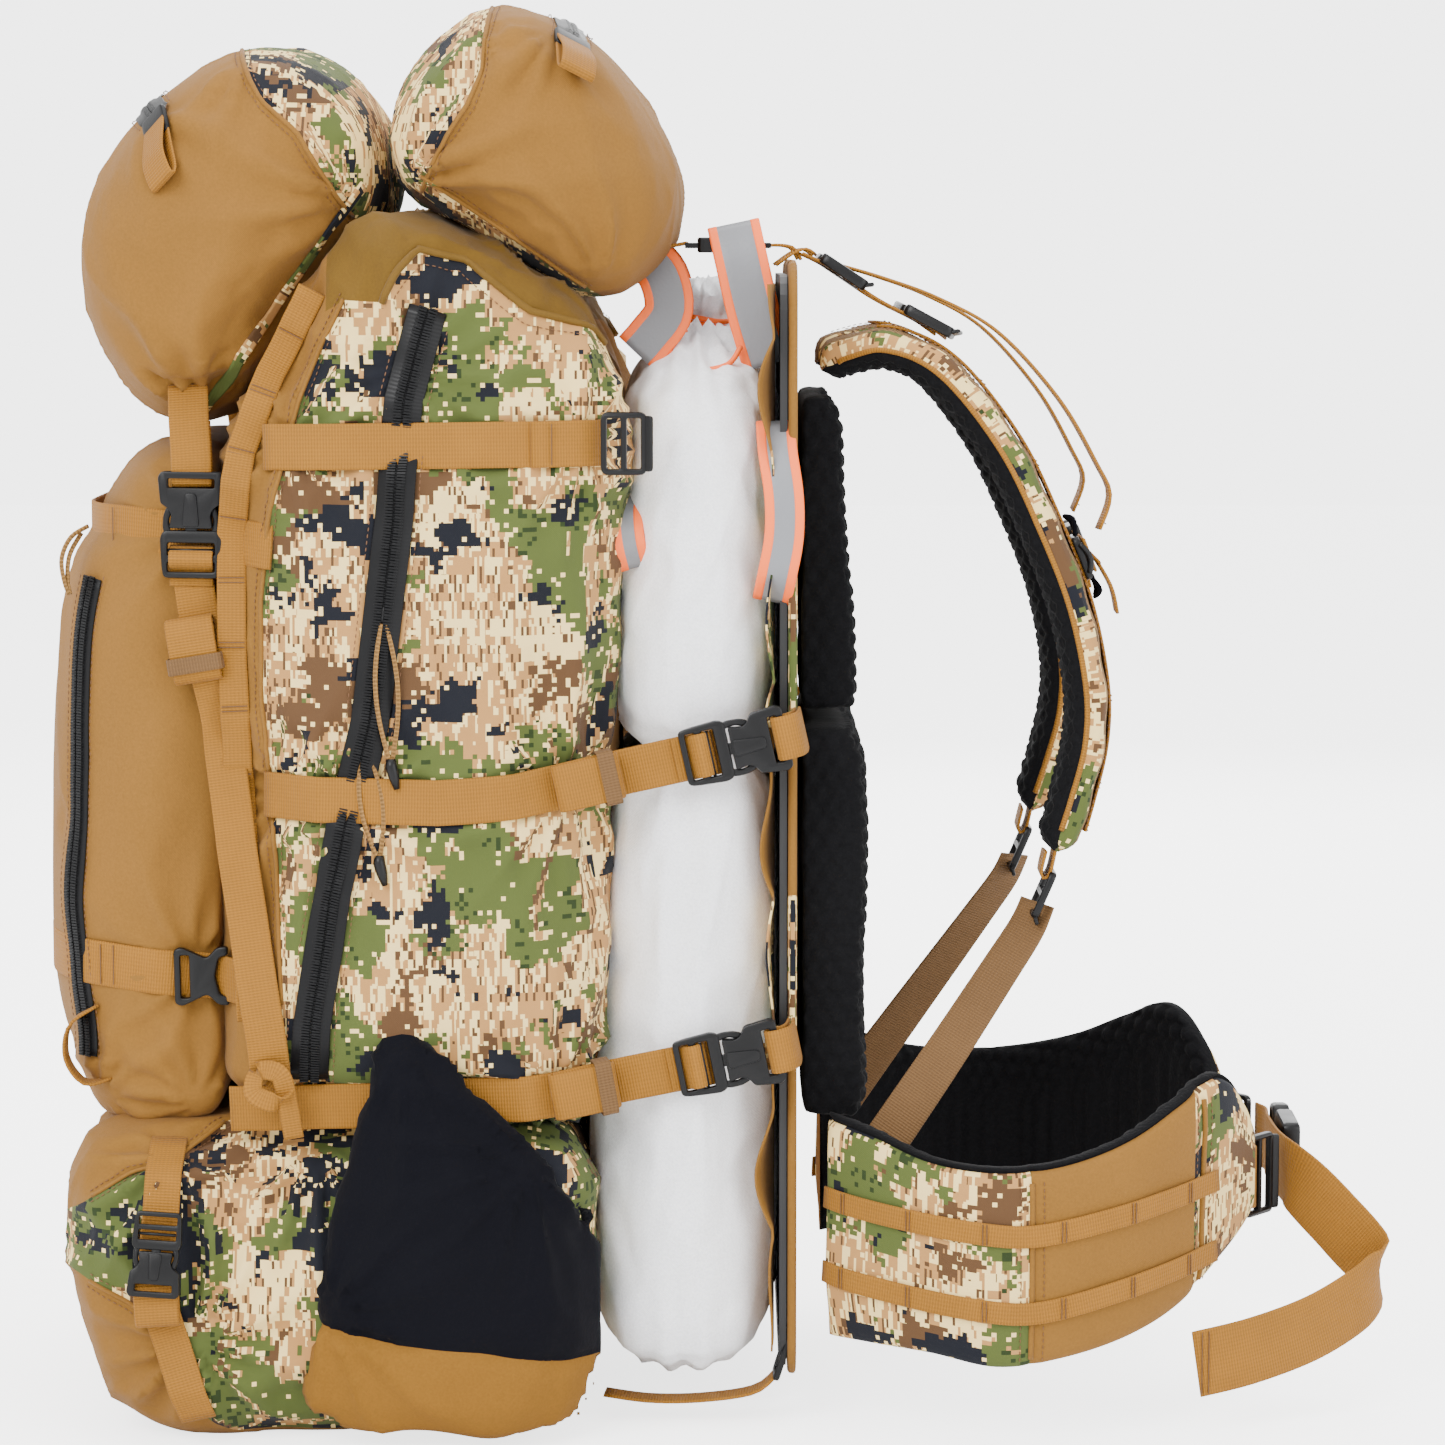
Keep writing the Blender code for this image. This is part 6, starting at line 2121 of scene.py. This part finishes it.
    def sternum(self):
        rail = np.array((0.0165, 0, -0.0425)) / np.linalg.norm((0.0165, 0.0425))
        out = np.array((0.0425, 0, 0.0165)) / np.linalg.norm((0.0165, 0.0425))
        at = np.array((0.185, -0.0925, 0.478)) + out * (STRAP_THICK / 2 + 0.0022)

        def clip(side, sign):
            middle = on_side(at, sign)
            parts = [plate("sternum_clip_" + side, rounded(block(-0.0125, 0.0125, -0.015, 0.015),
                                                           0.004, 4),
                           [window(-0.0085, -0.0045, -0.011, 0.011),
                            window(0.0045, 0.0085, -0.011, 0.011)], 0.004,
                           middle + out * 0.0024, rail, (0, 1, 0), 0.001)]
            for a in (-0.015, 0.015):
                jaw = [middle + np.array((0, a, 0)) + out * b + rail * c for b, c in
                       ((0.0036, -0.008), (0.006, -0.002), (0.006, 0.003), (0.003, 0.009))]
                parts.append(cordage("jaw", spline(jaw, 0.002), 0.0017, "buckle_plastic", count=6))
            hand_over(join_pieces("sternum_clip_" + side, parts), "sternum",
                      ["sternum_slider_" + side],
                      "buckle_plastic")
            for k in (-1, 1):
                eye = [middle + rail * (k * 0.012) + out * 0.0035,
                       middle + rail * (k * 0.021) + out * 0.006,
                       middle + rail * (k * 0.024) + out * 0.002 + np.array((0, 0.004, 0)),
                       middle + rail * (k * 0.02) + out * 0.0045 + np.array((0, 0.006, 0)),
                       middle + rail * (k * 0.012) + out * 0.0045 + np.array((0, 0.004, 0))]
                hand_over(cordage("sternum_elastic_%s_%d" % (side, k > 0), spline(eye, 0.002),
                                  0.0014,
                                  "stretch_cloth", count=6), "sternum")
            tail = [middle + out * 0.008, middle + out * 0.01 + rail * 0.006 + np.array((0,
                    -sign * 0.004, 0)),
                    middle + out * 0.012 + rail * 0.022, middle + out * 0.01 + rail * 0.036]
            hand_over(webbing("sternum_tail_" + side, spline(tail, 0.003), (0, 1, 0), 0.019),
                      "sternum",
                      slot_name="webbing")
        both(clip)
        chest = at + out * 0.0068
        for name, lo, hi in (("right", -0.104, -0.022), ("left", 0.022, 0.104)):
            line = [(chest[0], y, chest[2]) for y in np.linspace(lo, hi, 16)]
            piece = webbing("sternum_web_" + name, np.array(line), rail, 0.02)
            hand_over(piece, "sternum", ["sternum_strap"] if lo < 0 else (), "webbing")
        centre = (chest[0], 0, chest[2])
        shell = rounded([(-0.024, -0.0125), (0.006, -0.0125), (0.01, -0.009), (0.016, -0.0135),
                         (0.024, -0.0125),
                         (0.024, 0.0125), (0.016, 0.0135), (0.01, 0.009), (0.006, 0.0125),
                         (-0.024, 0.0125)], 0.003, 3)
        holes = [window(-0.0205, -0.0165, -0.0095, 0.0095),
                 window(0.016, 0.02, -0.0095, 0.0095)]
        buckle = plate("sternum_buckle", shell, holes, 0.0085, centre, (0, 1, 0), rail, 0.0016)
        hand_over(buckle, "sternum", (), "buckle_plastic")


WING_ROWS = [((0.06, -0.134), 0.178, 0.052), ((0.085, -0.1575), 0.172, 0.053),
             ((0.115, -0.175), 0.161, 0.052), ((0.15, -0.183), 0.157, 0.046),
             ((0.185, -0.179), 0.16, 0.05), ((0.22, -0.164), 0.17, 0.058),
             ((0.25, -0.141), 0.186, 0.07), ((0.273, -0.115), 0.197, 0.088),
             ((0.29, -0.09), 0.178, 0.102), ((0.298, -0.078), 0.156, 0.114)]
BELT_PAD = 0.016
BELT_SPLITS = (0.168, 0.262)     # where the outer cloth changes, along X


class BACKPACK_OT_belt(Builder, bpy.types.Operator):
    """Padded hip belt, its webbing rows, locks and front buckle"""
    bl_idname = "backpack.belt"
    bl_label = "Hip belt"

    def make(self):
        panel_cloth("belt_cloth", lambda p, x, y, z, camo, plain: p.mix(
            (x > BELT_SPLITS[0]) * (x < BELT_SPLITS[1]), camo, plain))
        both(self.wing)
        both(self.lock)
        self.front()

    def wing(self, side, sign):
        raw = np.array([(x, y, top, foot) for (x, y), top, foot in WING_ROWS])
        rows = np.linspace(0, len(raw) - 1, 12 * (len(raw) - 1) + 1)
        smooth = resample(spline_values(raw, rows), 0.003)
        line = np.stack([smooth[:, 0], smooth[:, 1], np.zeros(len(smooth))], 1)
        top, foot = smooth[:, 2], smooth[:, 3]
        along = directions(line)
        out = np.stack([along[:, 1], -along[:, 0], np.zeros(len(line))], 1)
        reach = travel(line)
        n, m = len(line), 72
        t = np.linspace(0, 1, n)
        depth = BELT_PAD / 2 * np.sqrt(np.clip(np.minimum(t, 1 - t) / 0.02, 0.05, 1))
        middle, half = (top + foot) / 2, (top - foot) / 2
        rings, zones = [], []
        for k in range(m):
            a = 2 * math.pi * (k + 0.5) / m
            c, s = math.cos(a), math.sin(a)
            push = math.copysign(abs(s) ** 0.6, s) * depth
            high = math.copysign(abs(c) ** 0.35, c) * half
            spread = middle + high
            flat = np.stack([reach, spread, np.zeros(n)], 1)
            if s < -0.05:
                push = push - (hex_bumps(reach, spread) - 0.5) * 0.0026 * min(1.0, (-s) * 3)
            else:
                push = push + 0.0022 * value_noise(flat, 26.0, 5) * min(1.0, s * 2)
                push = push - 0.0022 * np.exp(-((smooth[:, 0] - BELT_SPLITS[0]) / 0.003) ** 2)
                push = push - 0.0022 * np.exp(-((smooth[:, 0] - BELT_SPLITS[1]) / 0.003) ** 2)
                if c > 0.75:
                    push = push - 0.003 * math.exp(-((c - 0.86) / 0.05) ** 2)
            rings.append(line + out * push[:, None] + np.array((0, 0, 1.0)) * spread[:, None])
            zones.append(0 if s < 0.02 or c > 0.88 else 1)
        rings = on_side(np.array(rings).transpose(1, 0, 2), sign)
        wing = padded_band("belt_pad_" + side, rings, zones, ["spacer_mesh", "belt_cloth"], reach)
        hand_over(wing, "belt", ["belt_wing_" + side], "padded_fabric")
        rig.padded(wing, fill=0.9)
        tree = tree_of(wing)

        def outer(u, z):
            i = int(np.argmin(abs(reach - u)))
            base = on_side(np.array((line[i][0], line[i][1], z)), sign)
            way = on_side(out[i], sign)
            spot = tree.ray_cast(Vector(base + way * 0.05), Vector(-way))[0]
            return (np.array(spot) if spot is not None else base + way * 0.008), way

        for row, (z0, z1, z2) in (("upper", (0.132, 0.119, 0.138)),
                                  ("lower", (0.0905, 0.076, 0.098))):
            path, outs = [], []
            for u in np.arange(0.004, reach[-1] - 0.052, 0.005):
                x = np.interp(u, reach, line[:, 0])
                z = np.interp(x, (0.06, 0.165, 0.27), (z0, z1, z2))
                spot, way = outer(u, z)
                path.append(spot + way * 0.0012)
                outs.append(way)
            path, outs = np.array(path), np.array(outs)
            for _ in range(6):
                path[1:-1] = (path[:-2] + path[2:] + path[1:-1] * 2) / 4
            strap_run("belt_%s_row_%s" % (row, side), "belt", path + outs * 0.0008, UP,
                      width=0.0125)
            for i in range(3, len(path) - 2, 8):
                tack("belt", path[i] + outs[i] * 0.002, (0, 0, 1), outs[i], 0.0105, 2, 0.0022)
        for split in BELT_SPLITS:
            u = np.interp(split, line[:, 0], reach)
            ridge = []
            for z in np.linspace(np.interp(split, line[:, 0], foot) + 0.004, np.interp(split,
                    line[:, 0], top) - 0.009, 22):
                spot, way = outer(u, z)
                ridge.append(spot + way * 0.0006)
            ridge = np.array(ridge)
            hand_over(cordage("belt_piping_%s_%d" % (side, split > 0.2), ridge, 0.0017,
                              "brown_cloth", count=6), "belt")
            for du in (-0.006, 0.006):
                run, outs = [], []
                for z in np.linspace(ridge[0][2], ridge[-1][2], 14):
                    spot, way = outer(u + du, z)
                    run.append(spot + way * 0.0004)
                    outs.append(way)
                sew("belt", run, outs)

    def lock(self, side, sign):
        u = on_side(np.array((0.62, 0.78, 0)), sign)
        at = on_side(np.array((0.306, -0.064, 0.128)), sign)
        piece = ladder_lock("belt_lock_body_" + side, at, u, UP, 0.047, 0.028, 0.006)
        hand_over(piece, "belt", ["belt_lock_" + side], "buckle_plastic")
        path = [(0.284, -0.092, 0.128), (0.2925, -0.083, 0.128), (0.299, -0.0755, 0.128),
                (0.3035, -0.07, 0.128),
                (0.303, -0.066, 0.128), (0.2975, -0.07, 0.128), (0.29, -0.0785, 0.128)]
        strap_run("belt_tip_web_" + side, "belt", on_side(spline(path, 0.003), sign), UP,
                  width=0.036)

    def front(self):
        x = 0.3215
        path = [(0.263, -0.149, 0.0385), (0.295, -0.1395, 0.044), (0.33, -0.124, 0.053),
                (0.358, -0.1065, 0.065),
                (0.37, -0.0935, 0.074), (0.3715, -0.086, 0.08), (0.365, -0.0795, 0.087),
                (0.35, -0.07, 0.103),
                (0.33, -0.056, 0.123), (0.323, -0.042, 0.128), (x, -0.02, 0.128), (x, 0.02, 0.128),
                (0.323, 0.042, 0.128), (0.319, 0.056, 0.128)]
        line = spline(path, 0.005)
        strap = webbing("belt_webbing", line, UP, sizes().belt_web)
        hand_over(strap, "belt", ["belt_web"], "webbing")
        tack("belt", line[1] + np.array((0.1, -0.99, 0)) * 0.0014, (0, 0, 1), (0.25, -0.96, 0),
             0.034, 2, 0.004,
             along=(0.96, 0.27, 0.1))
        centre = np.array((0.329, 0, 0.128))
        parts = []
        halves = [(-0.034, -0.0235), (0.004, -0.0255), (0.01, -0.018), (0.016, -0.0255),
                  (0.034, -0.0235),
                  (0.034, 0.0235), (0.016, 0.0255), (0.01, 0.018), (0.004, 0.0255),
                  (-0.034, 0.0235)]
        holes = [window(-0.0305, -0.0245, -0.0195, 0.0195),
                 window(0.0225, 0.0285, -0.0195, 0.0195)]
        parts.append(plate("belt_clasp", rounded(halves, 0.004, 4), holes, 0.01, centre, (0, 1, 0),
                           UP, 0.0022))
        parts.append(plate("deck", rounded(block(-0.021, 0.004, -0.015, 0.015), 0.003, 3), [],
                           0.0016,
                           centre + np.array((0.0052, 0, 0)), (0, 1, 0), UP, 0.0007))
        for a in (0.0135, 0.0165, 0.0195):
            parts.append(bar_between("grip", centre + np.array((0.005, a, -0.016)),
                                     centre + np.array((0.005, a, 0.016)), 0.0009))
        hand_over(join_pieces("belt_clasp", parts), "belt", ["belt_buckle"], "buckle_plastic")


def spline_values(raw, at):
    """Catmull-Rom values of a table at fractional rows."""
    out = []
    for t in at:
        i = min(int(t), len(raw) - 2)
        f = t - i
        p0, p1, p2, p3 = raw[max(i - 1, 0)], raw[i], raw[i + 1], raw[min(i + 2, len(raw) - 1)]
        out.append(0.5 * (2 * p1 + (p2 - p0) * f + (2 * p0 - 5 * p1 + 4 * p2 - p3) * f * f
                          + (3 * p1 - p0 - 3 * p2 + p3) * f ** 3))
    return np.array(out)


class BACKPACK_OT_trim(Builder, bpy.types.Operator):
    """Bindings, hems, handles, loops and cords"""
    bl_idname = "backpack.trim"
    bl_label = "Trim"

    def make(self):
        self.bag = tree_of(MADE["main_bag_cloth"], MADE["front_pocket_cloth"],
                           MADE["bottom_compartment_cloth"])
        self.pods = {name: tree_of(MADE[name + "_cloth"]) for name in ("lid_front", "lid_rear")}
        both(self.side_trim)
        self.handles()
        self.neck_cord()
        self.front_loops()

    def xz_line(self, tree, points):
        """Follow a side-view line over the right flank of a surface."""
        flat = resample(np.array(points, float), 0.005)
        spots, outs = [], []
        for x, z in flat:
            spot, normal, _, _ = tree.ray_cast(Vector((x, CLEAR_RIGHT, z)), Vector((0, 1, 0)))
            if spot is not None and spot.y < -0.06:
                spots.append(np.array(spot))
                outs.append(np.array(normal))
        return np.array(spots), np.array(outs)

    def side_trim(self, side, sign):
        def turned(table):
            return [(x, z) for z, x in table[1:-1]]

        seams = (("collar_hem", "pack", self.bag, COLLAR_HEM[2:-1], 0.0022, "collar_cloth"),
                 ("front_pod_seam", "lid", self.pods["lid_front"], turned(POD_FRONT_SEAM), 0.0014,
                  "brown_cloth"),
                 ("rear_pod_seam", "lid", self.pods["lid_rear"], turned(POD_REAR_SEAM), 0.0014,
                  "brown_cloth"),
                 ("rear_pod_lower", "lid", self.pods["lid_rear"], POD_REAR_LOWER[1:-1], 0.0014,
                  "brown_cloth"),
                 ("panel_seam", "pack", self.bag, turned(CAMO_FRONT), 0.0013, "brown_cloth"),
                 ("base_top_seam", "pack", self.bag, BASE_CAMO_TOP[1:-1], 0.0013, "brown_cloth"),
                 ("boot_seam", "pack", self.bag, BASE_BOOT[1:6], 0.0013, "brown_cloth"))
        for name, body, tree, line, radius, finish in seams:
            spots, outs = self.xz_line(tree, line)
            if len(spots) < 4:
                continue
            spots, outs = on_side(spots, sign), on_side(outs, sign)
            hand_over(cordage("%s_%s" % (name, side), spots + outs * radius * 0.3, radius, finish,
                              count=6), body)
            run = directions(spots)
            away = np.cross(run, outs)
            for shift in ((-0.004, 0.004) if name != "collar_hem" else (0.008,)):
                near, normals = on_surface(tree, on_side(spots + away * shift, sign), 0.0005)
                sew(body, on_side(near, sign), on_side(normals, sign))

        spots, outs = self.xz_line(self.pods["lid_front"], [(-0.1965, 0.688), (-0.242, 0.627),
                                                            (-0.27, 0.584),
                                                            (-0.288, 0.564)])
        spots, outs = on_side(spots, sign), on_side(outs, sign)
        binding = sweep("pod_binding_" + side, spots + outs * 0.0008, np.cross(directions(spots),
                outs),
                        web_profile(0.007, 0.002), "camo_cloth")
        hand_over(binding, "lid", slot_name="camo_fabric")

    def handles(self):
        """Reflective, orange-edged handles of the game bags."""
        for name, path, width in (
                ("front", [(-0.046, -0.058, 0.652), (-0.034, -0.066, 0.64), (-0.03, -0.07, 0.62),
                           (-0.04, -0.073, 0.605),
                           (-0.048, -0.074, 0.596)], 0.022),
                ("rear", [(0.006, -0.07, 0.668), (0.01, -0.078, 0.65), (0.017, -0.082, 0.62),
                          (0.026, -0.084, 0.59)], 0.024),
                ("side", [(0.029, -0.126, 0.56), (0.03, -0.14, 0.545), (0.0335, -0.148, 0.52),
                          (0.0335, -0.149, 0.498),
                          (0.03, -0.146, 0.478), (0.027, -0.132, 0.462)], 0.016),
                ("low", [(-0.052, -0.112, 0.52), (-0.0525, -0.128, 0.508), (-0.051, -0.134, 0.494),
                         (-0.048, -0.124, 0.48)], 0.012)):
            for side, sign in SIDES:
                line = on_side(spline(path, 0.004), sign)
                across = np.cross(directions(line), (0, sign, 0.1))
                hand_over(webbing("%s_handle_%s" % (name, side), line, across, width, "reflective",
                                  0.0014), "pack")
                unit = across / np.linalg.norm(across, axis=1, keepdims=True)
                for hand in (-1, 1):
                    edge = sweep("%s_handle_edge_%s_%d" % (name, side, hand > 0),
                                 line + unit * hand * width / 2, unit,
                                 web_profile(0.0055, 0.0022), "orange_trim")
                    hand_over(edge, "pack")

    def neck_cord(self):
        """Drawcord wound twice round the neck of the upper bag."""
        turns = []
        for k in range(86):
            a = 2 * math.pi * k / 40
            turns.append((-0.0105 + 0.0175 * math.cos(a), 0.033 * math.sin(a),
                          0.609 + 0.0016 * k / 20 + 0.002 * math.sin(2 * a)))
        line = spline(turns, 0.004)
        hand_over(cordage("neck_cord", line, 0.0016, "orange_trim", count=6), "pack")
        tail = spline([(-0.012, -0.036, 0.61), (-0.03, -0.062, 0.602), (-0.02, -0.09, 0.588),
                       (0.002, -0.098, 0.59), (0.01, -0.088, 0.6)], 0.004)
        piece = hand_over(cordage("neck_cord_tail", tail, 0.0016, "orange_trim", count=6), "pack")
        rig.cord(piece, exit=tuple(tail[0]), length=length_of(tail), diameter=0.0032,
                far_end="object", stiffness="limp", lay="hanging", path=tail.tolist())

    def front_loops(self):
        for side, sign in SIDES:
            axe = spline([(-0.348, -0.124, 0.236), (-0.362, -0.13, 0.226), (-0.364, -0.131, 0.208),
                          (-0.354, -0.13, 0.194), (-0.34, -0.125, 0.196)], 0.004)
            hand_over(webbing("axe_loop_" + side, on_side(axe, sign), (0, 1, 0), 0.015), "pack",
                      (), "webbing")
            loop = spline([(-0.35, -0.114, 0.502), (-0.359, -0.119, 0.496), (-0.364, -0.121,
                    0.484), (-0.362, -0.122, 0.47),
                           (-0.359, -0.1225, 0.464), (-0.361, -0.12, 0.472), (-0.36, -0.118,
                                   0.486), (-0.354, -0.113, 0.498)], 0.003)
            cord = hand_over(cordage("front_cord_" + side, on_side(loop, sign), 0.0013, count=6),
                             "pack")
            length = length_of(loop)
            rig.cord(cord, exit=tuple(on_side(loop[0], sign)), length=length, diameter=0.0026,
                    far_end="object",
                    stiffness="limp", lay="hanging", path=on_side(loop, sign).tolist())
            self.base_buckle(side, sign)
            foot = spline([(-0.066, -0.118, 0.015), (-0.04, -0.12, 0.012), (-0.01, -0.122, 0.013),
                           (0.018, -0.124, 0.018), (0.03, -0.125, 0.028)], 0.006)
            hand_over(webbing("shelf_strap_" + side, on_side(foot, sign), (0, 1, 0), 0.018),
                      "pack", (), "webbing")
            lock = ladder_lock("shelf_lock_" + side, on_side((0.034, -0.125, 0.04), sign),
                               (0.3, 0, 0.95), (0, 1, 0), 0.026, 0.03)
            hand_over(lock, "pack", (), "buckle_plastic")
        tab = sweep("orange_tab", spline([(-0.296, -0.118, 0.03), (-0.2975, -0.126, 0.02),
                                          (-0.295, -0.123, 0.012)], 0.003),
                    (1, 0, 0.2), web_profile(0.014, 0.0012), "orange_trim")
        hand_over(tab, "pack")

    def base_buckle(self, side, sign):
        """Tilted buckle low on the front corner with its strap to the base."""
        line = side_path(self.bag, [(-0.304, 0.168), (-0.306, 0.13), (-0.31, 0.09), (-0.298, 0.05),
                                    (-0.287, 0.016)],
                         0.02, 0.0016, step=0.005, rounds=4)
        strap_run("base_strap_" + side, "pack", on_side(line, sign), (1, 0, 0), width=0.02)
        k = np.argmin(abs(line[:, 2] - 0.132))
        u = line[min(k + 3, len(line) - 1)] - line[k - 3]
        u = on_side(u / np.linalg.norm(u), sign)
        out = sideways(sign)
        out = out - u * (out @ u)
        out /= np.linalg.norm(out)
        root = on_side(line[k], sign)
        middle = root + out * 0.003
        parts = []
        for half in (latch_half("base_buckle_" + side, middle, u, np.cross(u, out), out),
                     socket_half("base", middle, u, np.cross(u, out), out)):
            points = points_of(half)
            put_points(half, middle + (points - middle) * 0.8)
            parts.append(half)
        hand_over(join_pieces("base_buckle_" + side, parts), "pack", (), "buckle_plastic")
        low = line[np.argmin(abs(line[:, 2] - 0.084))]
        roll = rolled_tail("base_roll_" + side, on_side(low, sign) + out * 0.006, (0.05, 0, -1.0),
                           out, 0.026, 2, 0.024, 0.0022)
        hand_over(roll, "pack", (), "webbing")


class BACKPACK_OT_thread(Builder, bpy.types.Operator):
    """Every stitch, bar tack and zip coil"""
    bl_idname = "backpack.thread"
    bl_label = "Thread and zip coils"

    def make(self):
        thread, coil = run_tree("Thread run", "thread"), run_tree("Coil run", "coil")
        for label, kind, tree, finish, *measures in (
                ("stitches_", SEWN, thread, "thread", 0.0036, 0.0026, 0.0007, 0.0006),
                ("bar_tacks_", TACKED, thread, "tack_thread", 0.0009, 0.0014, 0.0008, 0.0007),
                ("zip_coils_", TEETH, coil, "zip_tape", 0.0016, 0.0009, 0.0046, 0.0008)):
            for body, runs in kind.items():
                repeat_along(label + body, body, runs, tree, finish, *measures)


CAMERA_LENS, CAMERA_REACH, CAMERA_RISE = 111.7, 2.6, 6      # millimetres, metres, degrees
SKY_LIGHT, SKY_SEEN = 1.8, 4.2                              # on the pack, behind the pack


class BACKPACK_OT_stage(Builder, bpy.types.Operator):
    """Pale floor, soft lights and the camera"""
    bl_idname = "backpack.stage"
    bl_label = "Stage"

    def make(self):
        floor = mesh_piece("studio_floor", [(-9, -9, -0.0004), (9, -9, -0.0004), (9, 9, -0.0004),
                                            (-9, 9, -0.0004)], [(0, 1, 2, 3)], "floor")
        scene = bpy.context.scene
        made = [floor]
        for label, place, size, power in (
                ("key", (-1.5, -2.5, 2.3), 1.8, 110.0),
                ("fill", (2.4, -2.2, 1.1), 2.0, 42.0),
                ("top", (0.1, 0.2, 3.0), 2.4, 55.0),
                ("rear", (0.4, 2.7, 1.6), 2.0, 46.0)):
            data = bpy.data.lights.new(label + "_light", "AREA")
            data.size, data.energy, data.color = size, power, (1.0, 1.0, 1.0)
            lamp = new_object(label + "_light", data)
            lamp.location = place
            lamp.rotation_euler = (Vector((0, 0, 0.38)) - Vector(place)).to_track_quat("-Z",
                    "Y").to_euler()
            made.append(lamp)
        world = bpy.data.worlds.new("studio")
        world.use_nodes = True
        tree = world.node_tree
        soft, bright = tree.nodes["Background"], tree.nodes.new("ShaderNodeBackground")
        seen, choose = tree.nodes.new("ShaderNodeLightPath"), tree.nodes.new("ShaderNodeMixShader")
        for sky, strength in ((soft, SKY_LIGHT), (bright, SKY_SEEN)):
            sky.inputs[0].default_value = (1.0, 1.0, 1.0, 1.0)
            sky.inputs[1].default_value = strength
        tree.links.new(seen.outputs["Is Camera Ray"], choose.inputs[0])
        tree.links.new(soft.outputs[0], choose.inputs[1])
        tree.links.new(bright.outputs[0], choose.inputs[2])
        tree.links.new(choose.outputs[0], tree.nodes["World Output"].inputs[0])
        scene.world = world
        lens = bpy.data.cameras.new("camera")
        lens.lens, lens.sensor_width = CAMERA_LENS, 36.0
        eye = new_object("camera", lens)
        target = Vector((0, 0, 0.381))
        rise = math.radians(CAMERA_RISE)
        eye.location = target + CAMERA_REACH * Vector((0, -math.cos(rise), math.sin(rise)))
        eye.rotation_euler = (target - eye.location).to_track_quat("-Z", "Y").to_euler()
        scene.camera = eye
        made.append(eye)
        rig.stage(*made)


STEPS = tuple(value for value in list(globals().values())
              if isinstance(value, type) and issubclass(value, Builder) and value is not Builder)


class BACKPACK_PT_panel(bpy.types.Panel):
    """Every building step of the backpack"""
    bl_idname = "BACKPACK_PT_panel"
    bl_label = "Backpack"
    bl_space_type = "VIEW_3D"
    bl_region_type = "UI"
    bl_category = "Backpack"

    def draw(self, context):
        for step in STEPS:
            self.layout.operator(step.bl_idname)


CLASSES = (BackpackColours, BackpackSizes) + STEPS + (BACKPACK_PT_panel,)


def register():
    for one in CLASSES:
        bpy.utils.register_class(one)
    bpy.types.Scene.backpack_colours = bpy.props.PointerProperty(type=BackpackColours)
    bpy.types.Scene.backpack_sizes = bpy.props.PointerProperty(type=BackpackSizes)


def unregister():
    del bpy.types.Scene.backpack_colours
    del bpy.types.Scene.backpack_sizes
    for one in reversed(CLASSES):
        bpy.utils.unregister_class(one)


def plain(bounds):
    return [[float(value) for value in corner] for corner in bounds]


def main():
    register()
    for step in STEPS:
        getattr(bpy.ops.backpack, step.bl_idname.split(".")[1])()
    with open("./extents.json", "w") as out:
        json.dump({"cad": plain((CAD_LOW, CAD_HIGH)), "visual": plain(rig.bounds())}, out)


if __name__ == "__main__":
    main()
